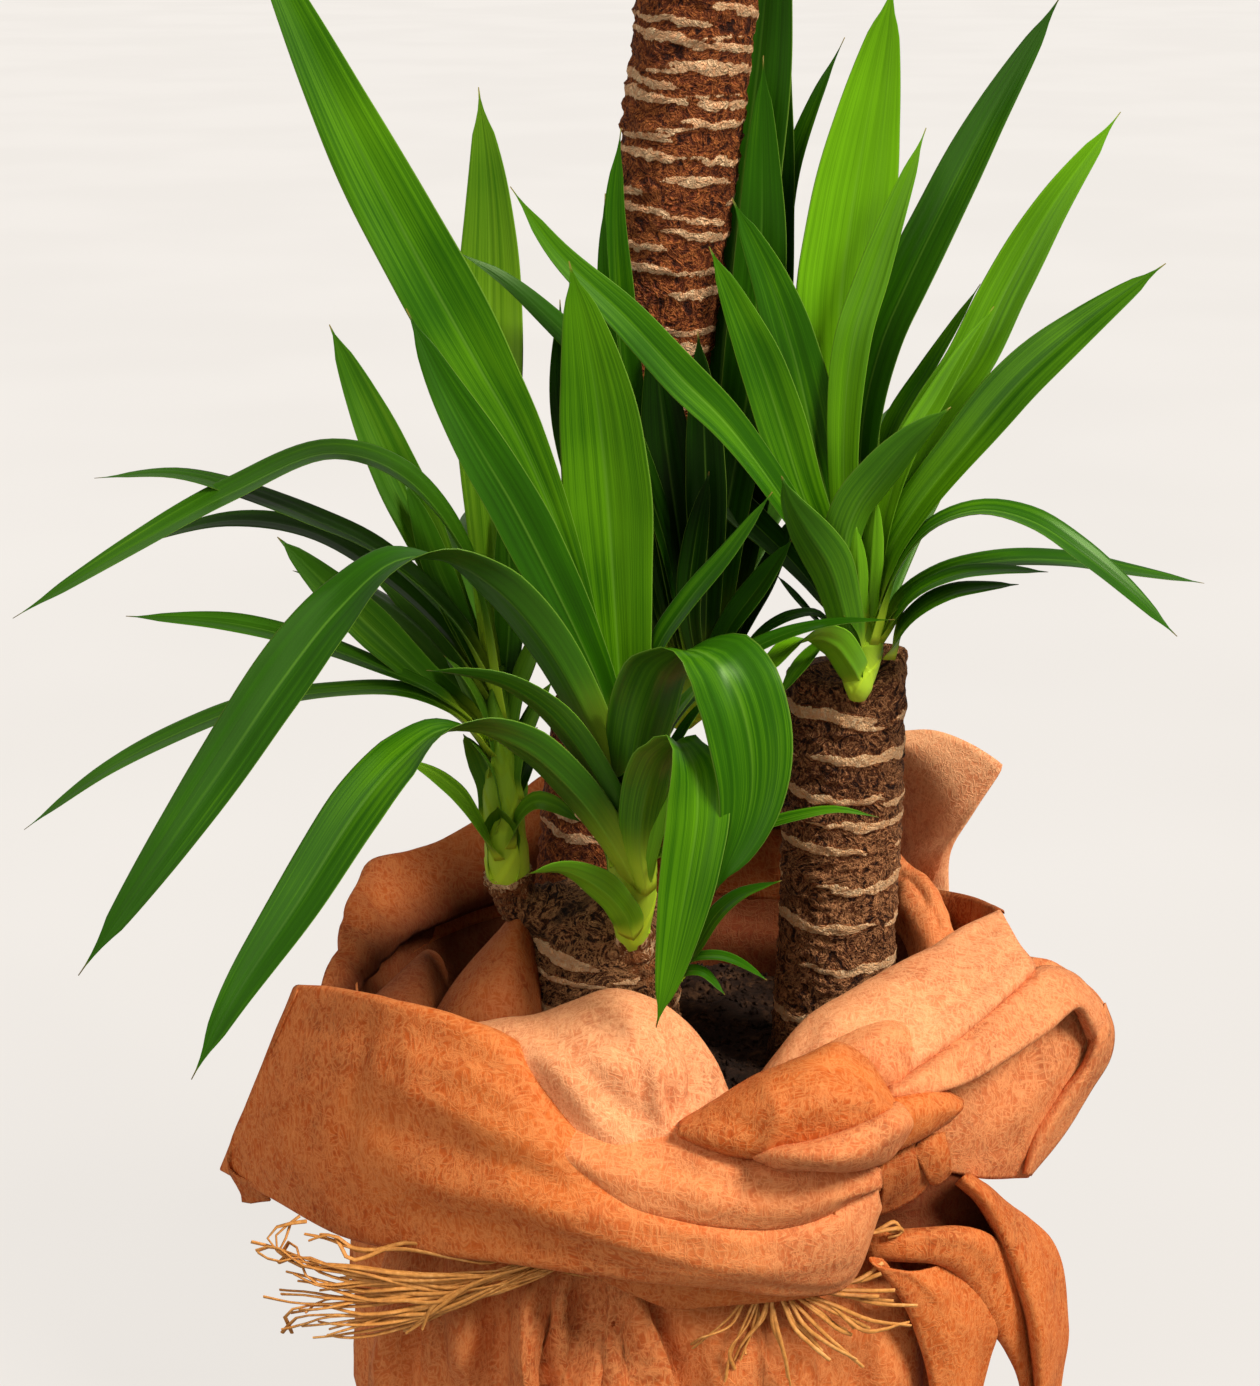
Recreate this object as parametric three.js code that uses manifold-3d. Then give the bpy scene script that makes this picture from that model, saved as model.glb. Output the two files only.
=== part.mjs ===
import * as THREE from 'three';
import { mergeVertices } from 'three/addons/utils/BufferGeometryUtils.js';
import Module from 'manifold-3d';

// Potted yucca: three canes with leafy shoots in a nursery pot, inside a gathered fibre wrap tied with raffia.
// Millimetres, +Z up, the pot's axis is x = y = 0, the front is -Y and the wrap stands on z = 0.

// Pot and soil
const POT_BASE_R = 92;
const POT_RIM_R = 125;
const POT_FLOOR_Z = 1.6;
const POT_RIM_Z = 210;
const POT_WALL = 2.5;
const SOIL_Z = 196;
const GAP = 0.3;

// Canes: foot on the soil, top, radius
const TALL = { foot: [-41.5, 28], top: [37.5, 28], topZ: 862, r: 25.5, ringStep: 27.8, sides: 12, seed: 11 };
const MEDIUM = { foot: [81, 5], top: [83.4, 4], topZ: 388, r: 26.2, ringStep: 18.6, sides: 14, seed: 23 };
const SHORT = { foot: [-25, -40], top: [-25.4, -40], topZ: 303, r: 33, ringStep: 17, sides: 16, seed: 37 };
const CANE_BURIED = 50;

// Leaves
const LEAF_THICK = 0.8;
const LEAF_CHANNEL = 0.17;
const LEAF_STEP = 84;
const LEAF_TURN = 0.85;
const TIP_WIDTH = 1.2;

// Wrap and raffia
const WRAP_THICK = 1.2;
const WAIST_Z = 147;
const WAIST_R = 118;
const INNER_LAYER_R = 130;
const INNER_LAYER_Z = 228;
const LEFT_ENDS = 8;
const FRONT_ENDS = 7;

// Front viewpoint of the leaf and fold tables. A table point is [s, t, y]: millimetres right of the pot's axis
// and up on an upright picture plane through the aim point, and the real depth y behind (+) or before (-) the axis.
const VIEW_PITCH = THREE.MathUtils.degToRad(18);
const VIEW_DISTANCE = 1150;
const VIEW_AIM = new THREE.Vector3(-13, 0, 377);
const VIEW_T0 = 360;
const VIEW_FORWARD = new THREE.Vector3(0, Math.cos(VIEW_PITCH), -Math.sin(VIEW_PITCH));
const VIEW_UP = new THREE.Vector3(0, Math.sin(VIEW_PITCH), Math.cos(VIEW_PITCH));
const VIEW_EYE = VIEW_AIM.clone().addScaledVector(VIEW_FORWARD, -VIEW_DISTANCE);

const COLOURS = {
  pot: '#2b2724',
  soil: '#2a1a10',
  tall: '#6d4630',
  medium: '#5b3c2c',
  short: '#59402f',
  leafDeep: '#2c5a12',
  leafMid: '#3f7a16',
  leafDark: '#1d3d10',
  leafLight: '#5a9318',
  wrap: '#c0683a',
  raffia: '#c98f4c',
};

// Leaf tables: [width, root width ratio, [s, t, y, roll] from root to tip]. Roll 0 turns the upper face
// to the viewpoint, 180 the underside; 90 is the left side's natural turn and -90 the right side's.
const LEFT_LEAVES = [
  [22, 0.6, [-69, 350, -46, 90], [-82, 415, -49, 80], [-112, 456, -55, 62], [-145, 467, -60, 62],
    [-190, 449, -66, 55], [-235, 424, -72, 50], [-286, 393, -80, 45]],
  [18, 0.6, [-71, 358, -44, 80], [-88, 390, -45, 70], [-122, 422, -49, 65], [-152, 437, -52, 62],
    [-182, 449, -54, 60], [-214, 457, -56, 60], [-250, 455, -58, 60]],
  [16, 0.6, [-73, 355, -40, 80], [-95, 388, -40, 65], [-125, 415, -42, 60], [-155, 432, -44, 60],
    [-190, 436.5, -45, 60], [-238, 424, -46, 60]],
  [19, 0.6, [-74, 345, -48, 70], [-98, 362, -54, 40], [-120, 382, -58, 25], [-142, 403, -60, 20],
    [-169, 429, -62, 15]],
  [15, 0.6, [-74, 340, -52, 90], [-98, 360, -60, 65], [-125, 372, -66, 60], [-155, 383, -69, 55],
    [-190, 391, -71, 50], [-236, 394, -72, 50]],
  [16, 0.6, [-74, 333, -54, 90], [-88, 350, -62, 70], [-112, 361, -68, 60], [-145, 361, -73, 60],
    [-180, 355, -78, 58], [-212, 343, -82, 55], [-245, 326, -86, 55], [-281, 299.5, -90, 50]],
  [21, 0.6, [-74, 360, -38, 60], [-88, 392, -34, 35], [-103, 428, -30, 20], [-117, 458, -26, 15],
    [-130, 487, -22, 10], [-146, 523, -18, 5]],
  [29, 0.6, [-71, 358, -36, 20], [-73, 420, -28, 12], [-76, 470, -22, 8], [-75, 530, -14, 4], [-76, 585, -8, 0],
    [-80, 628, -4, 0]],
  [12, 0.9, [-71, 287, -54, 110], [-78, 299, -60, 70], [-88, 314, -66, 55], [-100, 324, -70, 50],
    [-113, 331, -72, 50]],
  [12, 1.0, [-66, 292, -56, -100], [-62, 306, -58, -60], [-55, 312, -60, -50], [-47, 310.5, -62, -50],
    [-35, 303, -64, -50]],
  [11, 0.9, [-66, 305, -44, -60], [-61, 322, -38, -40], [-54, 345, -33, -40]],
  [14, 0.6, [-73, 355, -42, 60], [-86, 388, -38, 40], [-98, 415, -35, 25], [-107, 440, -33, 20],
    [-113, 454, -32, 20]],
  [15, 0.6, [-70, 350, -40, 0], [-67, 380, -34, 10], [-66, 410, -30, 10], [-69, 448, -27, 10]],
];

const FRONT_LEAVES = [
  [37, 0.5, [-14, 320, -70, 10], [-17, 360, -68, 8], [-20, 405, -68, 5], [-23.5, 452, -70, 0],
    [-28, 492, -71, 0], [-34, 525, -72, 0], [-40, 551, -72, 0]],
  [32, 0.5, [-17, 322, -70, 30], [-30, 385, -74, 25], [-45, 436, -80, 20], [-62, 471, -86, 16],
    [-80, 503, -90, 14], [-110, 559, -93, 14], [-140, 616, -93, 14], [-163, 664, -91, 14], [-185, 710, -88, 14]],
  [17, 0.7, [-16, 322, -74, 50], [-24, 358, -80, 35], [-34, 384, -85, 30], [-48, 409, -90, 25],
    [-64, 436, -94, 22], [-80, 464, -97, 20], [-96, 495, -98, 15], [-112, 530, -98, 15]],
  [28, 0.55, [-15, 310, -78, 170], [-30, 347, -90, 160], [-50, 383, -98, 150], [-72, 408, -105, 135],
    [-95, 421, -111, 100], [-118, 419, -117, 60], [-143, 397, -122, 35], [-168, 365, -127, 25],
    [-195, 325, -133, 20], [-228, 277, -139, 15], [-257, 235, -143, 10]],
  [27, 0.55, [-10, 275, -82, 170], [-22, 297, -92, 160], [-38, 318, -100, 150], [-58, 336, -108, 135],
    [-80, 345, -115, 105], [-98, 344.5, -121, 70], [-115, 331, -127, 40], [-133, 310, -134, 30],
    [-160, 268, -144, 25], [-188, 225, -153, 20], [-207, 189, -159, 15]],
  [17, 0.9, [-13, 292, -82, 160], [-22, 314, -92, 150], [-36, 338, -99, 140], [-50, 354, -105, 130],
    [-68, 365, -111, 120], [-85, 369, -116, 115], [-103, 370, -120, 110]],
  [16, 1.1, [-12, 253, -82, 180], [-15, 262, -90, 178], [-23, 272, -96, 160], [-33, 279, -100, 135],
    [-44, 282.5, -102, 120], [-58, 280, -104, 115]],
  [38, 0.5, [-13, 298, -80, -180], [-12, 325, -86, -175], [-7, 352, -94, -165], [1, 373, -102, -135],
    [13, 381, -110, -85], [25, 376, -117, -40], [34, 362, -123, -15], [40, 340, -128, -5], [41, 318, -131, 0],
    [37, 299, -133, 5], [24, 271, -135, 10]],
  [26, 0.6, [-6, 272, -84, -180], [-9, 295, -92, -175], [-6, 318, -101, -165], [0, 334, -110, -130],
    [9, 339.5, -118, -80], [16, 328, -126, -30], [17, 308, -132, -5], [14, 285, -136, 5], [9, 258, -139, 8],
    [3.5, 232, -140, 8], [-1.5, 212, -141, 8]],
  [14, 0.6, [-12, 305, -70, -60], [-9, 345, -68, -60], [-2, 378, -69, -55], [12, 400, -71, -50],
    [30, 422, -73, -45], [50, 449, -75, -40]],
  [9, 0.8, [-8, 284, -80, -60], [4, 291, -92, -60], [18, 297, -104, -60], [30, 297, -112, -60],
    [45, 301.5, -116, -60], [62, 306, -116, -60], [78, 308.5, -113, -60], [97, 305, -108, -60]],
  [11, 0.8, [-8, 272, -84, 170], [-5, 290, -90, 160], [-1, 308, -94, 150], [5, 326, -96, 150]],
  [11, 0.6, [-9, 300, -66, -60], [-5, 325, -66, -60], [3, 345, -68, -60], [14, 360, -70, -60],
    [26, 372, -72, -60]],
  [9, 0.6, [-8, 292, -64, -60], [0, 322, -62, -60], [8, 340, -62, -60], [18, 354, -62, -60], [28, 362, -62, -60]],
  [12, 0.6, [-9, 300, -66, -80], [5, 345, -58, -65], [25, 368, -56, -60], [48, 383, -58, -60],
    [75, 391, -60, -60], [104, 392.5, -62, -60]],
  [18, 0.6, [-15, 320, -66, 0], [-26, 375, -58, 0], [-34, 425, -55, 0], [-40, 470, -54, 0]],
];

const RIGHT_LEAVES = [
  [40, 0.4, [88, 375, -12, 0], [84, 430, -4, 0], [80, 490, 4, 0], [80, 530, 10, 0], [84, 565, 15, 0],
    [90, 602, 19, 0], [97, 640, 23, 0], [104, 676, 25, 0]],
  [24, 0.6, [90, 385, -12, -60], [88, 440, -6, -35], [90, 482, -2, -30], [98, 515, 2, -30], [109, 541, 6, -30],
    [128, 580, 12, -30], [149, 620, 18, -25], [178.5, 670, 24, -20]],
  [22, 0.6, [93, 385, -16, -60], [97, 425, -16, -30], [107, 458, -14, -22], [122, 485, -12, -20],
    [137, 506, -10, -20], [154, 540, -6, -20], [175, 577, -2, -15], [204, 617, 6, -10]],
  [24, 0.6, [92, 385, -20, -70], [100, 420, -24, -45], [112, 441, -27, -38], [135, 470, -30, -35],
    [160, 499, -32, -32], [190, 525, -33, -30], [224, 550, -33, -30]],
  [21, 0.7, [89, 380, -26, 180], [85, 402, -31, 180], [81, 424, -35, 200], [86, 442, -38, 215],
    [98, 458, -40, 215], [112, 473, -42, 210], [129, 486.5, -44, 205]],
  [24, 0.5, [86, 385, -8, 30], [77, 435, -6, 15], [69, 470, -4, 10], [60, 508, -2, 8], [49, 542, 0, 5],
    [32, 579, 2, 0]],
  [22, 0.5, [85, 382, -16, 40], [73, 425, -18, 20], [63, 450, -18, 12], [55, 475, -17, 10], [45, 505, -16, 8],
    [34, 531, -15, 5], [22, 557.5, -14, 0]],
  [17, 0.6, [87, 385, -15, -30], [82, 440, -13, -25], [82, 485, -9, -22], [86, 518, -6, -20], [94, 543, -3, -20],
    [104, 572, 0, -20], [118, 610, 4, -15]],
  [11, 0.6, [92, 388, -6, -60], [94, 440, 0, -45], [103, 478, 4, -40], [118, 503, 8, -40], [130, 522, 10, -40],
    [142, 541, 12, -40]],
  [12, 0.6, [94, 388, -18, -60], [99, 435, -21, -40], [110, 470, -21, -30], [122, 490, -20, -30],
    [135, 512, -18, -30], [148, 531, -16, -30]],
  [17, 0.6, [95, 382, -26, -110], [104, 414, -32, -75], [120, 434, -39, -68], [142, 441.5, -45, -62],
    [165, 436.5, -51, -50], [187, 422, -55, -42], [208, 405, -58, -38], [229, 385, -60, -35]],
  [17, 0.6, [96, 380, -20, -110], [106, 401, -23, -65], [124, 413, -28, -60], [150, 419, -33, -58],
    [180, 419, -37, -58], [210, 414, -41, -58], [241, 408.5, -44, -60]],
  [14, 0.9, [102, 376, -20, -120], [107, 389, -29, -70], [117, 399, -34, -60], [130, 405, -37, -60],
    [144, 407, -39, -60], [159, 408, -41, -60]],
  [12, 0.6, [98, 383, -24, -100], [112, 403, -35, -65], [130, 412, -41, -60], [150, 414.5, -46, -60],
    [172, 413.5, -50, -60]],
  [21, 0.7, [86, 374, -28, 170], [81, 398, -36, 165], [75, 417, -41, 158], [65, 433, -45, 150],
    [58, 445, -47, 145], [54, 456, -48, 140]],
  [19, 0.5, [84, 384, -20, 50], [68, 424, -26, 35], [52, 450, -31, 28], [30, 479, -35, 24], [10, 499, -39, 20],
    [-15, 526, -42, 18], [-45, 555, -45, 15], [-66, 584, -47, 12]],
  [18, 0.9, [89, 364, -24, 180], [84, 374, -36, 170], [78, 382, -42, 150], [70, 385.5, -46, 115],
    [59, 382, -49, 70], [50, 374, -51, 45], [43, 366, -52, 35]],
  [10, 0.8, [85, 380, -22, 110], [74, 383, -31, 75], [63, 373, -37, 50], [53, 359, -40, 45]],
  [8, 0.7, [80, 384, -10, 90], [70, 395, -11, 60], [59, 394.5, -12, 55], [49, 390, -13, 50], [38, 382, -14, 45]],
  [6, 0.7, [78, 383, -4, 90], [68, 394, 0, 60], [60, 403, 2, 50], [52, 412, 3, 45]],
  [9, 0.9, [89, 385, -26, 180], [88, 410, -33, 180], [87, 434, -36, 180]],
  [10, 0.9, [92, 385, -24, 160], [94, 418, -28, 150], [96, 447, -30, 150]],
  [16, 0.5, [84, 385, 0, 60], [62, 415, 10, 30], [40, 437, 12, 15], [18, 455, 12, 10], [-12, 474, 10, 5]],
];

const MIDDLE_LEAVES = [
  [34, 0.5, [24, 366, 12, 0], [25, 440, 18, 0], [28, 510, 24, 0], [36, 580, 29, 0], [44, 640, 32, 0],
    [50, 700, 34, 0], [55, 745, 35, 0]],
  [27, 0.5, [26, 366, 14, -30], [40, 450, 26, -12], [45, 520, 34, 0], [47, 580, 38, 0], [50, 640, 41, 0],
    [56, 695, 43, 0]],
  [25, 0.5, [22, 366, 6, 0], [30, 440, 10, 0], [40, 500, 14, 0], [45, 560, 18, 0], [45.5, 600, 20, 0],
    [46, 642, 21, 0]],
  [14, 0.5, [26, 366, 16, -40], [42, 460, 34, -30], [50, 540, 46, -25], [57, 588, 50, -20], [68, 620, 52, -18],
    [82, 650, 54, -15]],
  [17, 0.5, [12, 366, 2, 30], [-5, 430, -6, 20], [-15, 490, -9, 12], [-19, 540, -9, 8], [-20, 575, -8, 5],
    [-17, 610, -6, 0]],
  [9, 0.6, [8, 366, 0, 30], [-12, 450, -14, 20], [-22, 510, -18, 15], [-25, 550, -19, 10], [-24, 581, -19, 5]],
  [16, 0.6, [14, 366, 2, 60], [2, 430, -10, 45], [-15, 475, -18, 40], [-32, 508, -23, 35], [-50, 527, -27, 30],
    [-70, 544, -30, 28], [-91, 556, -32, 25]],
  [17, 0.6, [8, 366, 0, 30], [-14, 410, -10, 20], [-32, 450, -14, 12], [-42, 490, -17, 8], [-44, 534, -19, 0]],
  [24, 0.5, [16, 366, 0, 10], [10, 420, -6, 5], [3, 470, -10, 0], [-3, 522, -13, 0]],
  [18, 0.5, [20, 366, -2, 0], [21, 420, -10, 0], [20, 470, -14, 0], [17, 520, -16, 0]],
  [12, 0.5, [18, 366, -6, 0], [13, 398, -16, 0], [16, 428, -20, 0], [22, 458, -23, 0]],
  [17, 0.6, [20, 366, -6, -40], [31, 390, -14, -50], [45, 409, -18, -50], [59, 428, -21, -50]],
  [14, 0.6, [26, 366, 6, -50], [38, 393, 12, -40], [49, 415, 14, -40], [60, 440, 14, -40]],
];

const TINY_LEAVES = [
  [9, 0.5, [7, 236, -42, -60], [16, 247, -57, -45], [25, 262, -64, -40], [36, 271, -70, -45], [54, 277, -76, -55]],
  [7, 0.5, [7, 238, -42, -60], [17, 243.5, -58, -60], [28, 243.5, -66, -60], [37, 240, -71, -55],
    [47.5, 233, -76, -50]],
  [7, 0.6, [7, 232, -44, -60], [13, 237, -60, -60], [20, 236, -66, -55], [29, 226.5, -72, -50]],
];

// Back leaves that the front leaves hide: [shoot centre, leaf count, length, seed]
const LEFT_BACK = { centre: [-68, -42, 368], count: 4, length: 150, seed: 5, from: 88, to: 165 };
const RIGHT_BACK = { centre: [88, -8, 404], count: 4, length: 185, seed: 8, from: -5, to: 78 };
const MIDDLE_BACK = { centre: [22, 22, 392], count: 3, length: 175, seed: 4, from: 48, to: 86 };

// Top shoot on the tall cane: golden-angle spiral
const TOP_SHOOT = { count: 21, longest: 290, width: 34, seed: 17 };

function at(s, t, y) {
  const right = (s - VIEW_AIM.x) / VIEW_DISTANCE;
  const up = (t - VIEW_T0) / VIEW_DISTANCE;
  const ray = VIEW_FORWARD.clone().addScaledVector(VIEW_UP, up);
  ray.x += right;
  const reach = (y - VIEW_EYE.y) / ray.y;
  return VIEW_EYE.clone().addScaledVector(ray, reach);
}

function random(seed) {
  let state = seed >>> 0;
  return () => {
    state = (state + 0x6d2b79f5) >>> 0;
    let t = state;
    t = Math.imul(t ^ (t >>> 15), t | 1);
    t ^= t + Math.imul(t ^ (t >>> 7), t | 61);
    return ((t ^ (t >>> 14)) >>> 0) / 4294967296;
  };
}

// Faceted solids are held as { points, faces } until they are fused.
function solid(points, faces) {
  return { points, faces };
}

// End caps: a fan for a round section, two strips for a blade's channelled section of six corners.
const BLADE_CAP = [[0, 1, 4], [0, 4, 5], [1, 2, 3], [1, 3, 4]];

function fanCap(n) {
  return Array.from({ length: n - 2 }, (_, j) => [0, j + 1, j + 2]);
}

// Closed tube of rings of equal length.
function lofted(rings, cap = fanCap(rings[0].length)) {
  const n = rings[0].length;
  const points = rings.flat();
  const faces = [];
  for (let i = 0; i + 1 < rings.length; i += 1) {
    for (let j = 0; j < n; j += 1) {
      const a = i * n + j;
      const b = i * n + ((j + 1) % n);
      faces.push([a, b, b + n], [a, b + n, a + n]);
    }
  }
  const last = (rings.length - 1) * n;
  for (const [a, b, c] of cap) {
    faces.push([a, c, b]);
    faces.push([last + a, last + b, last + c]);
  }
  return solid(points, faces);
}

function frames(points) {
  const tangents = points.map((p, i) => {
    const before = points[Math.max(i - 1, 0)];
    const after = points[Math.min(i + 1, points.length - 1)];
    return after.clone().sub(before).normalize();
  });
  const side = new THREE.Vector3(1, 0, 0);
  if (Math.abs(tangents[0].x) > 0.8) side.set(0, 1, 0);
  return tangents.map((tangent) => {
    side.addScaledVector(tangent, -side.dot(tangent)).normalize();
    const other = tangent.clone().cross(side);
    return { tangent, side: side.clone(), other };
  });
}

function tube(points, radii, sides, flat = 1) {
  const rings = frames(points).map((frame, i) => {
    const ring = [];
    for (let j = 0; j < sides; j += 1) {
      const a = (2 * Math.PI * j) / sides;
      const p = points[i].clone();
      p.addScaledVector(frame.side, Math.cos(a) * radii[i]);
      p.addScaledVector(frame.other, Math.sin(a) * radii[i] * flat);
      ring.push(p);
    }
    return ring;
  });
  return lofted(rings);
}

// Blade width along its length: narrow clasping root, widest past the middle, long sharp tip.
function bladeShape(u, root) {
  const stops = [
    [0, 0.6 * root], [0.15, 0.42 + 0.4 * root], [0.35, 0.82], [0.55, 1], [0.72, 0.88], [0.86, 0.55], [0.95, 0.24], [1, 0],
  ];
  let i = 0;
  while (i < stops.length - 2 && u > stops[i + 1][0]) i += 1;
  const f = (u - stops[i][0]) / (stops[i + 1][0] - stops[i][0]);
  return THREE.MathUtils.lerp(stops[i][1], stops[i + 1][1], f);
}

// One channelled blade along points, with its across direction at each point.
function blade(points, across, width, root) {
  const last = points.length - 1;
  const rings = frames(points).map((frame, i) => {
    const u = i / last;
    const half = Math.max(width * bladeShape(u, root), TIP_WIDTH) / 2;
    const side = across[i].clone().addScaledVector(frame.tangent, -across[i].dot(frame.tangent)).normalize();
    const face = frame.tangent.clone().cross(side);
    const lift = half * 2 * LEAF_CHANNEL * (1 - 0.5 * u);
    const rise = [lift / 2, -lift / 2, lift / 2];
    const top = [-1, 0, 1].map((k, j) => points[i].clone().addScaledVector(side, k * half)
      .addScaledVector(face, rise[j] + LEAF_THICK / 2));
    const under = [1, 0, -1].map((k, j) => points[i].clone().addScaledVector(side, k * half)
      .addScaledVector(face, rise[j] - LEAF_THICK / 2));
    return [...top, ...under];
  });
  return lofted(rings, BLADE_CAP);
}

// A leaf from its table row.
function tableLeaf([width, root, ...stations]) {
  const path = new THREE.CatmullRomCurve3(stations.map(([s, t, y]) => at(s, t, y)), false, 'centripetal');
  const turn = Math.abs(path.getTangentAt(0).angleTo(path.getTangentAt(0.5)))
    + Math.abs(path.getTangentAt(0.5).angleTo(path.getTangentAt(1)));
  const steps = THREE.MathUtils.clamp(Math.round(path.getLength() / LEAF_STEP + turn / LEAF_TURN) + 1, 3, 8);
  const points = path.getSpacedPoints(steps);
  const across = points.map((point, i) => {
    const u = path.getUtoTmapping(i / steps) * (stations.length - 1);
    const k = Math.min(Math.floor(u), stations.length - 2);
    const roll = THREE.MathUtils.degToRad(THREE.MathUtils.lerp(stations[k][3], stations[k + 1][3], u - k));
    const tangent = path.getTangentAt(i / steps);
    const facing = tangent.clone().cross(VIEW_FORWARD).normalize();
    const normal = tangent.clone().cross(facing);
    return facing.multiplyScalar(Math.cos(roll)).addScaledVector(normal, Math.sin(roll));
  });
  return blade(points, across, width, root);
}

// A leaf that grows from a centre toward an azimuth, rises, and arches over under its weight.
function archedLeaf(centre, azimuth, elevation, length, droop, width, root, steps) {
  const a = THREE.MathUtils.degToRad(azimuth);
  const out = new THREE.Vector3(Math.cos(a), Math.sin(a), 0);
  const across = new THREE.Vector3(Math.sin(a), -Math.cos(a), 0);
  const points = [];
  const p = centre.clone();
  for (let i = 0; i <= steps; i += 1) {
    points.push(p.clone());
    const e = THREE.MathUtils.degToRad(elevation - droop * ((i + 0.5) / steps) ** 1.6);
    p.addScaledVector(out, (Math.cos(e) * length) / steps);
    p.z += (Math.sin(e) * length) / steps;
  }
  return blade(points, points.map(() => across), width, root);
}

function backLeaves({ centre, count, length, seed, from, to }) {
  const draw = random(seed);
  const leaves = [];
  for (let i = 0; i < count; i += 1) {
    const azimuth = from + ((to - from) * (i + 0.3 + 0.4 * draw())) / count;
    const long = length * (0.85 + 0.3 * draw());
    const elevation = 52 + 14 * draw();
    const c = new THREE.Vector3(...centre);
    c.z -= 14 * draw();
    leaves.push(archedLeaf(c, azimuth, elevation, long, 62, 24, 0.5, 4));
  }
  return leaves;
}

function topLeaves(centre) {
  const draw = random(TOP_SHOOT.seed);
  const leaves = [];
  for (let i = 0; i < TOP_SHOOT.count; i += 1) {
    const f = i / (TOP_SHOOT.count - 1);
    const azimuth = i * 137.5 + 12 * draw();
    const elevation = THREE.MathUtils.lerp(30, 84, f ** 0.8);
    const length = TOP_SHOOT.longest * THREE.MathUtils.lerp(0.8, 0.62, f) * (0.9 + 0.2 * draw());
    const droop = THREE.MathUtils.lerp(66, 12, f);
    const c = centre.clone();
    c.z += 52 * f;
    leaves.push(archedLeaf(c, azimuth, elevation, length, droop, TOP_SHOOT.width * (1 - 0.35 * f), 0.5, 4));
  }
  return leaves;
}

// Cane: rings every few millimetres with a low ledge at each leaf scar, swollen foot, seeded lumps.
function cane(spec, grow = 0) {
  const draw = random(spec.seed);
  const bottom = SOIL_Z - CANE_BURIED;
  const rings = [];
  const stations = [];
  const visible = spec.topZ - SOIL_Z;
  const count = Math.round(visible / spec.ringStep);
  for (let i = 0; i < count; i += 1) {
    stations.push([i / count, -0.3], [(i + 0.8) / count, 1]);
  }
  const lumps = Array.from({ length: 6 }, () => [1 + Math.floor(draw() * 3), draw() * 6.3, draw() * 2 - 1]);
  const makeRing = (z, r, f) => {
    const k = (z - SOIL_Z) / visible;
    const cx = THREE.MathUtils.lerp(spec.foot[0], spec.top[0], k);
    const cy = THREE.MathUtils.lerp(spec.foot[1], spec.top[1], k);
    const ring = [];
    for (let j = 0; j < spec.sides; j += 1) {
      const a = (2 * Math.PI * j) / spec.sides;
      let lump = 0;
      for (const [order, phase, size] of lumps) lump += size * Math.sin(order * a + phase + f * 9 * size);
      const radius = r * (1 + 0.012 * lump) + grow;
      ring.push(new THREE.Vector3(cx + radius * Math.cos(a), cy + radius * Math.sin(a), z));
    }
    return ring;
  };
  rings.push(makeRing(bottom - grow, spec.r * 1.14, -0.3));
  for (const [f, ledge] of stations) {
    const swell = 1 + 0.14 * Math.exp(-(f * visible) / 22);
    rings.push(makeRing(SOIL_Z + f * visible, spec.r * swell + ledge, f));
  }
  const crown = spec.round ?? 0.14;
  rings.push(makeRing(spec.topZ - spec.r * crown + grow, spec.r * 0.99, 1));
  rings.push(makeRing(spec.topZ + grow, spec.r * (1 - crown * 1.2), 1));
  return lofted(rings);
}

// Thick sheet over a grid of points; closed = true joins the last column to the first.
function sheet(grid, thick, closed = false) {
  const rows = grid.length;
  const cols = grid[0].length;
  const wrapCol = (j) => (closed ? (j + cols) % cols : THREE.MathUtils.clamp(j, 0, cols - 1));
  const normals = grid.map((row, i) => row.map((p, j) => {
    const down = grid[Math.min(i + 1, rows - 1)][j].clone().sub(grid[Math.max(i - 1, 0)][j]);
    const along = row[wrapCol(j + 1)].clone().sub(row[wrapCol(j - 1)]);
    return down.cross(along).normalize();
  }));
  const points = [];
  for (const sign of [1, -1]) {
    for (let i = 0; i < rows; i += 1) {
      for (let j = 0; j < cols; j += 1) {
        points.push(grid[i][j].clone().addScaledVector(normals[i][j], (sign * thick) / 2));
      }
    }
  }
  const under = rows * cols;
  const faces = [];
  const lastCol = closed ? cols : cols - 1;
  const quad = (a, b, c, d) => faces.push([a, b, c], [a, c, d]);
  for (let i = 0; i + 1 < rows; i += 1) {
    for (let j = 0; j < lastCol; j += 1) {
      const a = i * cols + j;
      const b = i * cols + wrapCol(j + 1);
      const c = b + cols;
      const d = a + cols;
      faces.push([a, d, c], [a, c, b]);
      faces.push([under + a, under + c, under + d], [under + a, under + b, under + c]);
    }
  }
  for (let j = 0; j < lastCol; j += 1) {
    const b = wrapCol(j + 1);
    quad(j, b, under + b, under + j);
    const e = (rows - 1) * cols;
    quad(e + b, e + j, under + e + j, under + e + b);
  }
  if (!closed) {
    for (let i = 0; i + 1 < rows; i += 1) {
      const a = i * cols;
      const c = a + cols;
      quad(c, a, under + a, under + c);
      const e = a + cols - 1;
      const g = e + cols;
      quad(e, g, under + g, under + e);
    }
  }
  return solid(points, faces);
}

// Smooth grid through rows of control points.
function smoothGrid(rows, across, down) {
  const lines = rows.map((row) => new THREE.CatmullRomCurve3(row, false, 'centripetal').getPoints(across));
  const columns = [];
  for (let j = 0; j <= across; j += 1) {
    columns.push(new THREE.CatmullRomCurve3(lines.map((line) => line[j]), false, 'centripetal').getPoints(down));
  }
  return Array.from({ length: down + 1 }, (_, i) => columns.map((column) => column[i]));
}

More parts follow.
